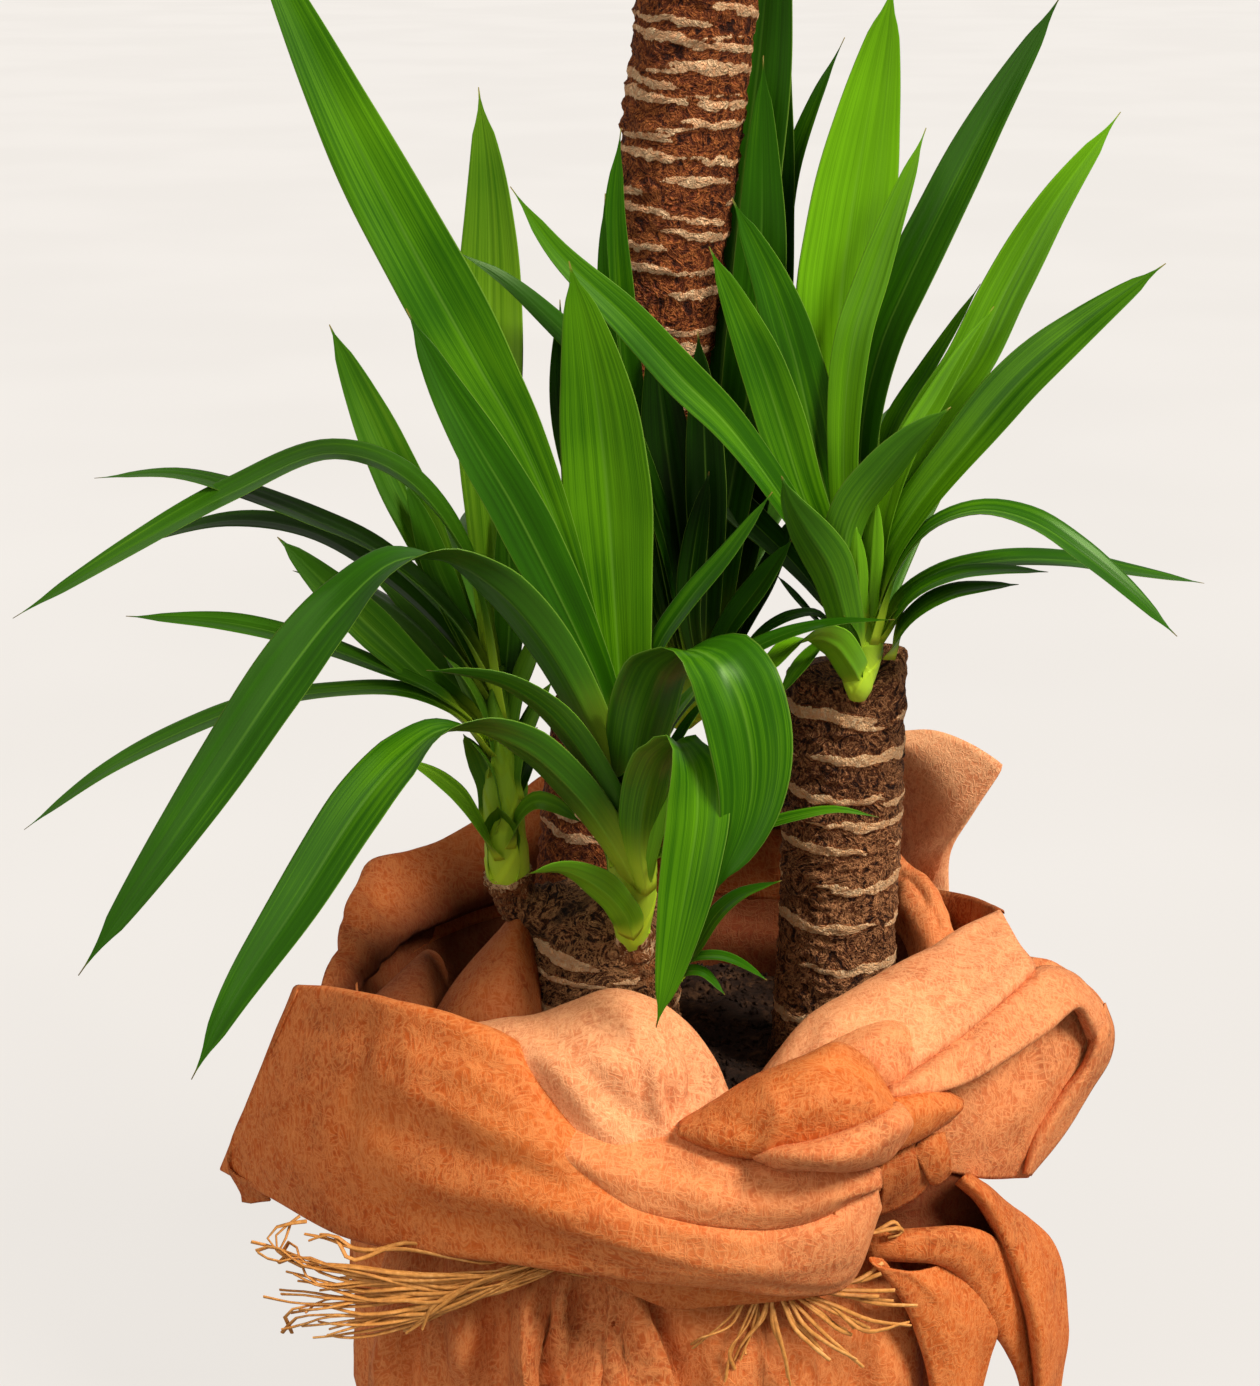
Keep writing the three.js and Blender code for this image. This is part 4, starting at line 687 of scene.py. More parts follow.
# How many seeds one shoot's leaves have to themselves, and the degrees between leaves of the top shoot
SEEDS_A_SHOOT = 40
GOLDEN_ANGLE = 137.5


def draws(seed: int) -> Callable[[], float]:
    """Return a seeded draw of numbers from 0 to 1, the same one that the solids use.

    Args:
        seed: which row of numbers.

    Returns:
        A function that gives the next number at each call.
    """
    state, mask = seed, 0xFFFFFFFF

    def draw() -> float:
        """Give the next number.

        Returns:
            A number from 0 to 1.
        """
        nonlocal state
        state = (state + 0x6D2B79F5) & mask
        t = state
        t = ((t ^ (t >> 15)) * (t | 1)) & mask
        t = (t ^ ((t + (((t ^ (t >> 7)) * (t | 61)) & mask)) & mask)) & mask
        return (t ^ (t >> 14)) / 4294967296
    return draw


@dataclass
class Leaf:
    """One strap leaf: a keeled blade with a clasping root, a raised midrib and a needle tip."""

    centre: np.ndarray
    across: np.ndarray
    width: float
    root: float
    tone: float
    seed: int
    pale: float = 1.0
    thick: float = 0.9 * MM
    channel: float = 0.17

    @classmethod
    def from_table(cls, row: Sequence, tone: float, seed: int) -> Leaf:
        """Read a leaf from its table row.

        Args:
            row: width, root ratio and stations.
            tone: brightness of its green.
            seed: the leaf's own number.

        Returns:
            The leaf.
        """
        width, root, *stations = row
        rolls = np.radians([station[3] for station in stations])
        points = at(stations)
        centre, place = spline(points, int(np.clip(path_length(points) / 0.0045, 22, 72)))
        roll = np.interp(place, np.arange(len(rolls)), rolls)
        tangent = unit(np.gradient(centre, axis=0))
        facing = unit(np.cross(tangent, VIEW_FORWARD))
        normal = np.cross(tangent, facing)
        across = facing * np.cos(roll)[:, None] + normal * np.sin(roll)[:, None]
        return cls(centre, across, width * MM, root, tone, seed)

    @classmethod
    def arched(cls, centre: np.ndarray, azimuth: float, elevation: float, length: float, droop: float,
               width: float, tone: float, seed: int) -> Leaf:
        """Grow a leaf that rises from a centre toward an azimuth and arches over.

        Args:
            centre: where it starts, in millimetres.
            azimuth: compass direction in degrees.
            elevation: its first rise in degrees.
            length: in millimetres.
            droop: how many degrees it falls over its length.
            width: in millimetres.
            tone: brightness of its green.
            seed: the leaf's own number.

        Returns:
            The leaf.
        """
        a, steps = math.radians(azimuth), 4
        p, points = np.array(centre, float), []
        for i in range(steps + 1):
            points.append(p.copy())
            e = math.radians(elevation - droop * ((i + 0.5) / steps) ** 1.6)
            step = np.array([math.cos(a) * math.cos(e), math.sin(a) * math.cos(e), math.sin(e)])
            p += step * length / steps
        path, _ = spline(np.array(points) * MM, int(np.clip(length / 5, 22, 60)))
        across = np.tile([math.sin(a), -math.cos(a), 0.0], (len(path), 1))
        return cls(path, across, width * MM, 0.5, tone, seed)

    def add_to(self, patches: Patches) -> None:
        """Add the blade to a piece.

        Args:
            patches: the piece.
        """
        along = column(0, 1, len(self.centre))
        half = self.half_width(along)
        tangent = unit(np.gradient(self.centre, axis=0))
        side = unit(self.across - tangent * (self.across * tangent).sum(axis=1, keepdims=True))
        face = np.cross(tangent, side)
        x = BLADE_COLUMNS[::-1][None, :]
        cupped = 1 + 1.5 * np.clip(1 - along / 0.16, 0, 1)
        lift = 2 * half * self.channel * (1 - 0.5 * along) * cupped
        length = path_length(self.centre)
        wave = noise(pair(along * length * 22 + self.seed, np.sign(x) * 3.1), self.seed)
        pleat = (np.cos(x * math.pi * 3.2 + self.seed) * PLEAT_DEPTH * np.sin(math.pi * along)
                 * self.width / 0.03)
        rise = lift * (np.abs(x) ** 1.35 - 0.5) + pleat + wave * x ** 2 * half * 0.09
        narrow = np.minimum(1, half / FULL_HALF)
        body = self.thick / 2 * np.sqrt(np.clip(1 - x ** 2, 0, 1)) * narrow + LEAST_BODY
        keel = KEEL_HEIGHT * np.exp(-(x / 0.09) ** 2) * (1 - along) * narrow
        under = (rise - body - keel)[:, -2:0:-1]
        offset = np.concatenate([x, x[:, -2:0:-1]], axis=1)
        height = np.concatenate([rise + body, under], axis=1)
        grid = (self.centre[:, None] + side[:, None] * (offset * half)[..., None]
                + face[:, None] * height[..., None])
        uv = pair(offset * self.width / 2 + self.seed * 0.13, along * length)
        below = np.arange(offset.size) >= x.size
        patches.add(grid, closed=True, caps=True, uv=uv, margin=np.abs(offset), far=along, tone=self.tone,
                    pale=self.pale, below=below.astype(float))

    def half_width(self, along: np.ndarray) -> np.ndarray:
        """Return half the blade's width at places along it, in metres.

        Args:
            along: places from 0 at the root to 1 at the tip.

        Returns:
            The half widths.
        """
        foot = (.14, .22, .5) if self.root < 0 else (0.6 * self.root, 0.42 + 0.4 * self.root, .82)
        fine = np.linspace(0, 1, 401)
        shape = np.interp(fine, BLADE_STATIONS, (*foot, *BLADE_SHARES))
        shape = np.convolve(np.pad(shape, 20, mode="edge"), np.ones(41) / 41, mode="valid")
        tip = np.minimum(1, (1 - along) * 14 + 0.03)
        return np.maximum(self.width * np.interp(along, fine, shape) * tip, 0.0004) / 2


@dataclass(frozen=True)
class Bulb:
    """Swollen base of a shoot with overlapping leaf sheaths that cross in Vs."""

    stations: tuple
    radii: tuple
    sheaths: int = 5
    first_side: float = -90.0
    seed: int = 1

    def add_to(self, patches: Patches) -> None:
        """Add the bulb to a piece.

        Args:
            patches: the piece.
        """
        path, radii = self.middle_line()
        radii = radii[:, None] * MM
        angle, along = angles(96), column(0, 1, len(path))
        layer, lip = np.zeros((2, len(path), angle.size))
        for k in range(self.sheaths):
            centre = math.radians(self.first_side + 180 * k + 25 * math.sin(k * 2.3 + self.seed))
            apart = np.abs(turned_from(centre, angle)) / math.pi
            edge = (k + 0.7) / self.sheaths * 0.72 + 0.5 * (1 - apart) ** 1.2 - 0.12
            gap = edge - along
            layer += smooth(-0.008, 0.008, gap)
            lip = np.maximum(lip, np.exp(-(gap / 0.014) ** 2) * (apart > 0.05))
        grid = tube(path, radii + (layer - self.sheaths / 2) * SHEATH_STEP, angle)
        uv = pair(angle * radii, along * 0.12)
        patches.add(grid, closed=True, caps=True, uv=uv, margin=np.clip(lip, 0, 1) * 0.98, far=along * 0.2,
                    tone=0.62, pale=1.0, below=0.0)

    def middle_line(self) -> tuple[np.ndarray, np.ndarray]:
        """Return the bulb's middle line in metres and its radius there in millimetres."""
        path, place = spline(at(self.stations), 90)
        return path, np.interp(place, np.arange(len(self.radii)), self.radii)

    def clasps(self, count: int, number: int) -> list[Leaf]:
        """Return the short sheath leaves that clasp the bulb and flare away from it.

        Args:
            count: how many.
            number: seed of the first.

        Returns:
            The leaves, lowest first.
        """
        path, radii = self.middle_line()
        made = []
        for k in range(count):
            row = int(8 + 62 * k / count)
            azimuth = self.first_side + 164 * k + 20 * math.sin(k * 1.7)
            a = math.radians(azimuth)
            foot = path[row] / MM + np.array([math.cos(a), math.sin(a), 0]) * radii[row] * 0.45
            leaf = Leaf.arched(foot, azimuth, elevation=84, length=40 + 5 * k, droop=40,
                               width=radii[row] * 2.1, tone=0.6, seed=number + k)
            leaf.root, leaf.channel = 1.15, 0.42
            made.append(leaf)
        return made


@dataclass(frozen=True)
class LeafSkin:
    """Green of a strap leaf: parallel veins, pale clasping root, thin light margins and a soft gloss."""

    name: str
    deep: str = "0a2002"
    mid: str = "255303"
    bright: str = "669f0c"
    root: str = "acc82c"
    rough: float = 0.34

    def make(self) -> bpy.types.Material:
        """Build the material.

        Returns:
            The material.
        """
        m = Shader(self.name)
        uv = m.node("ShaderNodeUVMap", {"uv_map": "along"}, {})
        fine = m.cloud(1.0, 3, 0.6, 0, m.stretched((2600, 9, 1), uv))
        broad = m.cloud(1.0, 2, 0.5, 0, m.stretched((520, 5, 1), uv))
        drift = m.cloud(14, 2)
        tone = m.field("tone") + (fine - 0.5) * 0.5 + (broad - 0.5) * 0.5 + (drift - 0.5) * 0.6
        green = m.ramp(tone.clamp(), (0.0, self.deep), (0.5, self.mid), (1.0, self.bright))
        far, margin = m.field("far"), m.field("margin")
        youth = (m.field("pale") * (1 - (far + (fine - 0.5) * 0.05).step(0.02, 0.2))) ** 1.3
        green = m.mix(youth.clamp(), green, self.root)
        rib = (1 - margin.step(0.0, 0.07)) * (1 - far.step(0.5, 0.95))
        green = m.mix(rib * 0.22, green, "7fae3a")
        rim = margin.step(0.955, 1.0) * (1 - far.step(0.9, 1.0)) * 0.5
        green = m.mix(rim, green, "86a83c")
        green = m.mix(m.field("below") * 0.15, green, "5f8a30")
        dry = far.step(0.975, 1.0) * 0.7
        green = m.mix(dry, green, "8a6a34")
        rough = self.rough + (broad - 0.5) * 0.16 + youth * 0.08
        normal = m.bump(broad, 0.0004, 0.25)
        return m.finish(green, rough, normal, Specular_IOR_Level=0.26, Specular_Tint=(0.5, 0.72, 0.3, 1.0))


class Side(Enum):
    """Which way a fan of back leaves opens, as azimuths in degrees."""

    LEFT = (88, 165)
    RIGHT = (58, 104)
    MIDDLE = (48, 86)


@dataclass
class Shoot:
    """A fan of leaves on its bulb."""

    name: str
    rows: list
    tones: list
    bulb: Bulb
    skin: LeafSkin
    back: Side | None = None
    back_centre: tuple = (0.0, 0.0, 0.0)
    back_count: int = 0
    back_length: float = 150.0
    back_seed: int = 1
    pale: float = 1.0
    number: int = 0
    clasps: int = 0

    def leaves(self) -> list[Leaf]:
        """Return every leaf of the fan.

        Returns:
            The leaves seen in the photo, then those that clasp the bulb, then those behind.
        """
        first = self.number * SEEDS_A_SHOOT
        made = [Leaf.from_table(row, tone, first + i)
                for i, (row, tone) in enumerate(zip(self.rows, self.tones))]
        for leaf in made:
            leaf.pale = self.pale
        made += self.bulb.clasps(self.clasps, first + 20)
        if self.back:
            draw, (start, stop) = draws(self.back_seed), self.back.value
            for i in range(self.back_count):
                azimuth = start + (stop - start) * (i + 0.3 + 0.4 * draw()) / self.back_count
                length = self.back_length * (0.85 + 0.3 * draw())
                elevation = 52 + 14 * draw()
                centre = np.array(self.back_centre) - [0, 0, 14 * draw()]
                made.append(Leaf.arched(centre, azimuth, elevation, length, droop=62, width=24, tone=0.4,
                                        seed=first + 30 + i))
        return made

    def build(self) -> None:
        """Build the piece and dress it."""
        patches = Patches()
        for leaf in self.leaves():
            leaf.add_to(patches)
        self.bulb.add_to(patches)
        settle(patches.mesh(self.name + "_leaves"), self.name, self.skin.make())


@dataclass
class TopShoot:
    """The head of leaves on the tall cane, spiralled at the golden angle."""

    count: int = 21
    longest: float = 290.0
    width: float = 34.0
    seed: int = 17
    head: tuple = (37.5, 28.0, 868.0)
    skin: LeafSkin = LeafSkin("top_leaf")

    def build(self) -> None:
        """Build the piece and dress it."""
        draw, patches = draws(self.seed), Patches()
        for i in range(self.count):
            f = i / (self.count - 1)
            azimuth = i * GOLDEN_ANGLE + 12 * draw()
            elevation = 30 + 54 * f ** 0.8
            length = self.longest * (0.8 - 0.18 * f) * (0.9 + 0.2 * draw())
            droop = 66 - 54 * f
            centre = np.array(self.head) + [0, 0, 52 * f]
            width = self.width * (1 - 0.35 * f)
            Leaf.arched(centre, azimuth, elevation, length, droop, width, tone=0.35 + 0.4 * f,
                        seed=300 + i).add_to(patches)
        head = np.array(self.head) * MM
        path, place = spline(head + np.array([[0, 0, z] for z in (-.012, .004, .034, .066)]), 40)
        radii = np.interp(place, range(4), [.011, .0135, .0125, .006])
        angle, along = angles(48), column(0, 1, len(path))
        ripple = 0.0006 * np.sin(along * 60 + 2 * np.sin(angle * 2))
        patches.add(tube(path, radii[:, None] + ripple, angle), closed=True, caps=True, margin=0.3, far=0.05,
                    tone=0.8, pale=1.0, below=0.0)
        settle(patches.mesh("top_shoot_leaves"), "top_shoot", self.skin.make())


def settle(piece: bpy.types.Object, slot: str, finish: bpy.types.Material | None = None) -> None:
    """Dress a piece, let it ride on the plant and stand for its node.

    Args:
        piece: the finished piece.
        slot: the node that it replaces.
        finish: its material, where it has none yet.
    """
    if finish:
        piece.data.materials.append(finish)
    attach(piece, "root")
    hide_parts(slot)
    LOG.info("%s: %d faces", piece.name, len(piece.data.polygons))


# Millimetres: the potting mix's level, how deep the canes stand in it, and how far a scar's field reaches
SOIL_Z = 196.0
CANE_BURIED = 40.0
SCAR_REACH = 3.0


@dataclass(frozen=True)
class Scar:
    """One leaf scar on a cane: height, middle azimuth, half span, thickness, tilt."""

    z: float
    azimuth: float
    span: float
    thick: float
    tilt: float = 0.0


@dataclass(frozen=True)
class Bark:
    """Wrinkled bark with cream leaf scars."""

    name: str
    dark: str
    mid: str
    light: str
    scar: str = "e2b083"
    curl: float = 1.0
    burn: float = 0.0

    def make(self) -> bpy.types.Material:
        """Build the material.

        Returns:
            The material.
        """
        m = Shader(self.name)
        grain = m.cloud(240, 4, 0.6, 1.6)
        swirl = m.cloud(84 / self.curl ** 0.6, 3, 0.55, 3.2 * self.curl)
        chips = m.cloud(140, 3, 0.5, 4.0 * self.curl)
        streak = m.cloud(1.0, 4, 0.6, 0.8, m.stretched((330, 330, 90)))
        blotch = m.cloud(22, 3)
        lines, cracks = swirl.ridge() ** 5, chips.ridge() ** 4
        tone = ((grain - 0.5) * 0.6 / self.curl + (streak - 0.5) * 0.5 + (blotch - 0.5) * 0.8
                + (swirl - 0.5) * 0.9 + lines * 0.75 * self.curl ** 0.5 - cracks * 0.55 * self.curl ** 0.3
                + 0.42)
        bark = m.ramp(tone.clamp(), (0.0, self.dark), (0.45, self.mid), (0.9, self.light))
        bark = m.mix(m.cloud(17, 3, 0.6, 1.0).step(0.55, 0.66) * self.burn, bark, "120b07")
        edge = m.field("scar") + (grain - 0.5) * 2.4 + (streak - 0.5) * 1.5
        scar = edge.step(-0.12, 0.12)
        rim = edge.step(-0.75, -0.1) * (1 - scar)
        inside = m.ramp((grain * 0.5 + chips * 0.5).clamp(), (0.24, "b8642c"), (0.41, self.scar),
                        (0.66, "ffdaa8"))
        colour = m.mix(rim * 0.75, bark, "9a5222")
        colour = m.mix(scar, colour, inside)
        colour = m.mix(m.field("shade"), colour, "1c120c")
        height = grain * 0.3 + streak * 0.3 + lines * 0.7 - cracks * 0.6 + scar * 0.4
        return m.finish(colour, 0.72 - scar * 0.06, m.bump(height, 0.003, 0.95), Specular_IOR_Level=0.15)


@dataclass
class Cane:
    """A length of trunk with ring scars, a swollen foot and a cut or rounded top."""

    name: str
    foot: tuple
    top: tuple
    top_z: float
    r: float
    scars: list
    seed: int
    bark: Bark
    crown: float = 0.14
    rough: float = 1.0
    rows: int = 400
    around: int = 170
    torn: tuple = ()

    def radius(self, angle: np.ndarray, z: np.ndarray) -> tuple[np.ndarray, np.ndarray]:
        """Give the surface of the cane.

        Args:
            angle: angles round the axis.
            z: heights in millimetres.

        Returns:
            The radius in millimetres, and how far inside a scar each point lies.
        """
        depth = np.full(np.broadcast(angle, z).shape, -SCAR_REACH)
        relief = np.zeros_like(depth)
        ring = cylinder(2.2, angle, z * 0.05)
        wander = noise(ring, self.seed) * 1.6 + noise(ring * 2.7, self.seed + 1) * 0.9
        for i, scar in enumerate(self.scars):
            middle_angle = math.radians(scar.azimuth)
            share = np.abs(turned_from(middle_angle, angle)) / math.radians(scar.span)
            lens = scar.thick / 2 * np.sqrt(np.clip(1 - share ** 2, 0, 1)) * (1 + 0.35 * noise(ring * 1.9, i))
            above = z - (scar.z + scar.tilt * np.sin(angle - middle_angle) + wander)
            inside = lens - np.abs(above) - 0.9 * (share > 1)
            depth = np.maximum(depth, inside)
            ledge = smooth(-1.4, 0.2, above) * (1 - smooth(0.5, 6.5, above)) * (1 - smooth(0.9, 1.25, share))
            relief += 0.9 * ledge
        p = cylinder(self.r, angle, z)
        relief += 0.8 * layered(p / [5, 5, 2.4], self.seed, 3) * self.rough
        crest = 1 - np.abs(layered(p / [9, 9, 5] + 0.6 * noise(p / 6, 3)[..., None], self.seed + 5, 2))
        relief += 1.1 * (crest - 0.6) * self.rough
        relief += 0.9 * noise(p / 30, self.seed + 8)
        relief = np.where(depth > 0, relief * 0.5 + 0.6, relief)
        swell = 1 + 0.14 * np.exp(-np.maximum(z - SOIL_Z, 0) / 22)
        return self.r * swell + relief - 0.35, np.clip(depth, -SCAR_REACH, SCAR_REACH)

    def grid(self) -> tuple[np.ndarray, np.ndarray, np.ndarray]:
        """Return the cane's grid, its scar field and its shade field.

        Returns:
            The grid in metres, and two fields with one number for each point.
        """
        z = np.concatenate([np.linspace(SOIL_Z - CANE_BURIED, SOIL_Z, 8, endpoint=False),
                            np.linspace(SOIL_Z, self.top_z, self.rows)])[:, None]
        angle = angles(self.around)
        radius, depth = self.radius(angle, z)
        cap = self.crown * self.r
        down = np.clip((z - (self.top_z - cap)) / max(cap, 0.01), 0, 1)
        radius = radius * np.sqrt(np.clip(1 - (down * 0.92) ** 2.4, 0.0, 1))
        k = (z - SOIL_Z) / (self.top_z - SOIL_Z)
        cx = self.foot[0] + (self.top[0] - self.foot[0]) * k
        cy = self.foot[1] + (self.top[1] - self.foot[1]) * k
        grid = pair(cx + radius * np.cos(angle), cy + radius * np.sin(angle), z) * MM
        ragged = 1 + 0.3 * noise(pair(angle * 6, 0), 2)
        for azimuth, width, rise in self.torn:
            apart = turned_from(math.radians(azimuth), angle)
            lift = rise * np.exp(-(apart / math.radians(width)) ** 2) * ragged
            grid[..., 2] += lift * smooth(self.top_z - 16, self.top_z, z) * MM
        shade = np.broadcast_to(0.75 * (1 - smooth(0, 26, z - SOIL_Z)), depth.shape)
        rim, centre = grid[-1], grid[-1].mean(axis=0)
        top = np.array([centre + (rim - centre) * f for f in (0.72, 0.4, 0.12)])
        top[..., 2] += 0.0008 * noise(top * 300, self.seed)
        tail = np.full(top.shape[:2], 0.6)
        return (np.concatenate([grid, top]), np.concatenate([depth, tail]),
                np.concatenate([shade, np.zeros_like(tail)]))

    def extras(self, patches: Patches) -> None:
        """Add what grows out of this cane alone."""

    def build(self) -> None:
        """Build the piece and dress it."""
        patches = Patches()
        grid, depth, shade = self.grid()
        patches.add(grid, closed=True, caps=True, scar=depth, shade=shade)
        self.extras(patches)
        settle(patches.mesh(self.name + "_bark"), self.name, self.bark.make())


@dataclass
class KnobbedCane(Cane):
    """The short cane, with the side knob that carries the left shoot."""

    knob: tuple = ((-34, 260, -41), (-44, 262, -42), (-54, 264, -43), (-61, 267, -43), (-65, 273, -43.5))
    knob_radii: tuple = (17, 15, 12, 9.5, 8.6)
    collars: tuple = (
        (((-6, 234, -54), (-9, 243, -60), (-11, 251, -66), (-12, 258.5, -69.5)), (17, 12.5, 8.5, 7.2)),
        (((-61, 264, -43), (-64, 270, -43.5), (-66, 276, -44), (-67, 281, -44.5)), (8.5, 9, 9.8, 10.6)),
    )

    def limb(self, patches: Patches, axis: tuple, radii: tuple, tan: tuple, rings: float, seed: int) -> None:
        """Add a knob or a papery collar.

        Args:
            patches: the piece.
            axis: table points of its middle line.
            radii: one radius for each, in millimetres.
            tan: how much scar colour it has at its foot and at its end.
            rings: how many rings run round it.
            seed: which relief.
        """
        path, place = spline(at(axis), 54)
        size = np.interp(place, range(len(radii)), radii) * MM
        angle, along = angles(80), column(0, 1, len(path))
        p = cylinder(3, angle, along * 6)
        ring = np.sin(along * rings * 6.28 + noise(p * 0.7, seed + 6) * 2.2)
        skin = 0.0009 * noise(p, seed) + 0.0005 * ring
        patches.add(tube(path, size[:, None] + skin, angle), closed=True, caps=True, shade=0.0,
                    scar=tan[0] + (tan[1] - tan[0]) * along)

    def extras(self, patches: Patches) -> None:
        """Add the knob and the two collars.

        Args:
            patches: the piece.
        """
        self.limb(patches, self.knob, self.knob_radii, tan=(-1.4, -0.8), rings=6, seed=3)
        for number, (axis, radii) in enumerate(self.collars):
            self.limb(patches, axis, radii, tan=(-1.0, 0.15), rings=5, seed=12 + number)


def ringed(levels: Sequence[float], seed: int, thick: float, axis_y: float, r: float, span: float,
           crossed: bool) -> list[Scar]:
    """Lay leaf scars up a cane.

    Args:
        levels: heights of the bands on the picture plane, at the cane's front.
        seed: which draw.
        thick: usual thickness of a scar.
        axis_y: depth of the cane's axis.
        r: the cane's radius.
        span: usual half width of a scar, in degrees.
        crossed: whether short lenses alternate in steps, or long ones ring the cane.

    Returns:
        The scars: four or five at each level where they cross, two or three where they ring the cane.
    """
    draw, scars = draws(seed), []
    for i, level in enumerate(levels):
        z = at([[0, level, axis_y - r]])[0][2] / MM
        turn = -90 + (38 if i % 2 else -40) + 24 * (draw() - 0.5)
        for k in range(4 if crossed else 2):
            side = turn + (88 if crossed else 178) * k + 26 * (draw() - 0.5)
            drop = 4.4 * ((k % 2) - 0.5) * (1 if crossed else 0.4) + 1.2 * (draw() - 0.5)
            size = thick * (0.75 + 0.5 * draw())
            scars.append(Scar(z - drop, side, span * (0.8 + 0.45 * draw()), size,
                              (-2.6 if crossed else 0) + 2.0 * (draw() - 0.5)))
        if draw() > 0.55:
            scars.append(Scar(z + 6 * (draw() - 0.5), turn + (60 if i % 2 == 0 else -60), 20 + 16 * draw(),
                              thick * (0.25 + 0.2 * draw()), 4 * (draw() - 0.5)))
    return scars


# Heights of the scar bands on the picture plane, at the front of each cane
TALL_LEVELS = [294 + 12.6 * i for i in range(44)]
MEDIUM_LEVELS = [213, 236, 254, 272, 288, 299, 311, 330, 347]
SHORT_LEVELS = [182, 199, 214]
SHORT_SCARS = [Scar(280, -124, 34, 6.8, -5), Scar(269, -122, 42, 3.4, -3), Scar(272, -42, 40, 3.6, 3),
               Scar(262, 100, 80, 5, 2), Scar(284, 40, 50, 4, -2)]


@dataclass(frozen=True)
class Plastic:
    """Matte black nursery-pot plastic with scuffs."""

    def make(self) -> bpy.types.Material:
        """Build the material.

        Returns:
            The material.
        """
        m = Shader("nursery_pot_plastic")
        scuff = m.cloud(60, 4, 0.6, 0.5)
        film = m.cloud(9, 3)
        colour = m.ramp((scuff * 0.6 + film * 0.4).clamp(), (0.3, "15120f"), (0.75, "2b2622"))
        return m.finish(colour, 0.5 + (scuff - 0.5) * 0.3, m.bump(scuff, 0.0002, 0.4))


@dataclass(frozen=True)
class Peat:
    """Dark moist potting mix with paler bark and fibre crumbs."""

    def make(self) -> bpy.types.Material:
        """Build the material.

        Returns:
            The material.
        """
        m = Shader("potting_mix")
        crumb = m.cloud(240, 4, 0.65, 0.6)
        patch = m.cloud(45, 3)
        colour = m.ramp((crumb * 0.55 + patch * 0.45).clamp(), (0.3, "120b06"), (0.52, "2c1b10"),
                        (0.66, "5a3d26"), (0.8, "8d6a48"))
        return m.finish(colour, 0.92, m.bump(crumb, 0.0016, 0.8), Specular_IOR_Level=0.2)


@dataclass
class Soil:
    """The potting mix: a lumpy disc in the pot with loose crumbs strewn over it."""

    radius: float = 0.1205
    area: float = 0.0456
    z: float = SOIL_Z * MM
    crumbs: int = 2600
    crumb_size: float = 0.0042
    seed: int = 6

    def surface(self) -> np.ndarray:
        """Return the lumpy top with its skirt down the pot's wall.

        Returns:
            The grid, from the wall inward.
        """
        top = cylinder(column(0.002, self.radius - 0.0012, 56)[::-1], angles(150), 0.0)
        top[..., 2] = self.z - 0.001 + 0.0022 * layered(top[..., :2] * 90, self.seed, 4)
        skirt = top[:1].copy()
        skirt[..., 2] = self.z - 0.03
        return np.concatenate([skirt, top])

    def build(self) -> None:
        """Build the piece and dress it."""
        patches = Patches()
        patches.add(self.surface(), closed=True, caps=True)
        bed = patches.mesh("potting_soil_bed")
        finish = Peat().make()
        bed.data.materials.append(finish)
        piece = grown(bed, crumbs_tree(finish), "potting_mix",
                      {"Density": self.crumbs / self.area, "Size": self.crumb_size, "Seed": self.seed})
        settle(piece, "potting_soil")


def group_tree(name: str, sockets: dict[str, tuple[str, float | int]]) -> bpy.types.GeometryNodeTree:
    """Start a Geometry Nodes tree with named inputs.

    Args:
        name: the tree's name.
        sockets: each input's socket type and first value, by name.

    Returns:
        The tree, with its geometry sockets made.
    """
    tree = bpy.data.node_groups.new(name, "GeometryNodeTree")
    tree.interface.new_socket("Geometry", in_out="INPUT", socket_type="NodeSocketGeometry")
    for key, (kind, value) in sockets.items():
        socket = tree.interface.new_socket(key, in_out="INPUT", socket_type=kind)
        socket.default_value = value
    tree.interface.new_socket("Geometry", in_out="OUTPUT", socket_type="NodeSocketGeometry")
    return tree


class Grower:
    """Adds nodes to a Geometry Nodes tree in a line of plain calls."""

    def __init__(self, tree: bpy.types.GeometryNodeTree) -> None:
        """Start with the group's own input."""
        self.tree = tree
        self.source = tree.nodes.new("NodeGroupInput")

    def given(self, name: str) -> bpy.types.NodeSocket:
        """Return one of the tree's named inputs."""
        return self.source.outputs[name]

    def node(self, kind: str, settings: dict, inputs: dict, out: int | str = 0) -> bpy.types.NodeSocket:
        """Add a node.

        Args:
            kind: the node's type.
            settings: its properties.
            inputs: numbers or sockets, by number or name.
            out: the output to give back.

        Returns:
            The output socket.
        """
        made = self.tree.nodes.new(kind)
        for key, value in settings.items():
            setattr(made, key, value)
        for key, value in inputs.items():
            if isinstance(value, bpy.types.NodeSocket):
                self.tree.links.new(value, made.inputs[key])
            else:
                made.inputs[key].default_value = value
        return made.outputs[out]

    def close(self, geometry: bpy.types.NodeSocket, material: bpy.types.Material) -> None:
        """Realize, set the material and link the output.

        Args:
            geometry: what the tree has made.
            material: its finish.
        """
        real = self.node("GeometryNodeRealizeInstances", {}, {0: geometry})
        dressed = self.node("GeometryNodeSetMaterial", {}, {0: real, "Material": material})
        out = self.tree.nodes.new("NodeGroupOutput")
        self.tree.links.new(dressed, out.inputs[0])


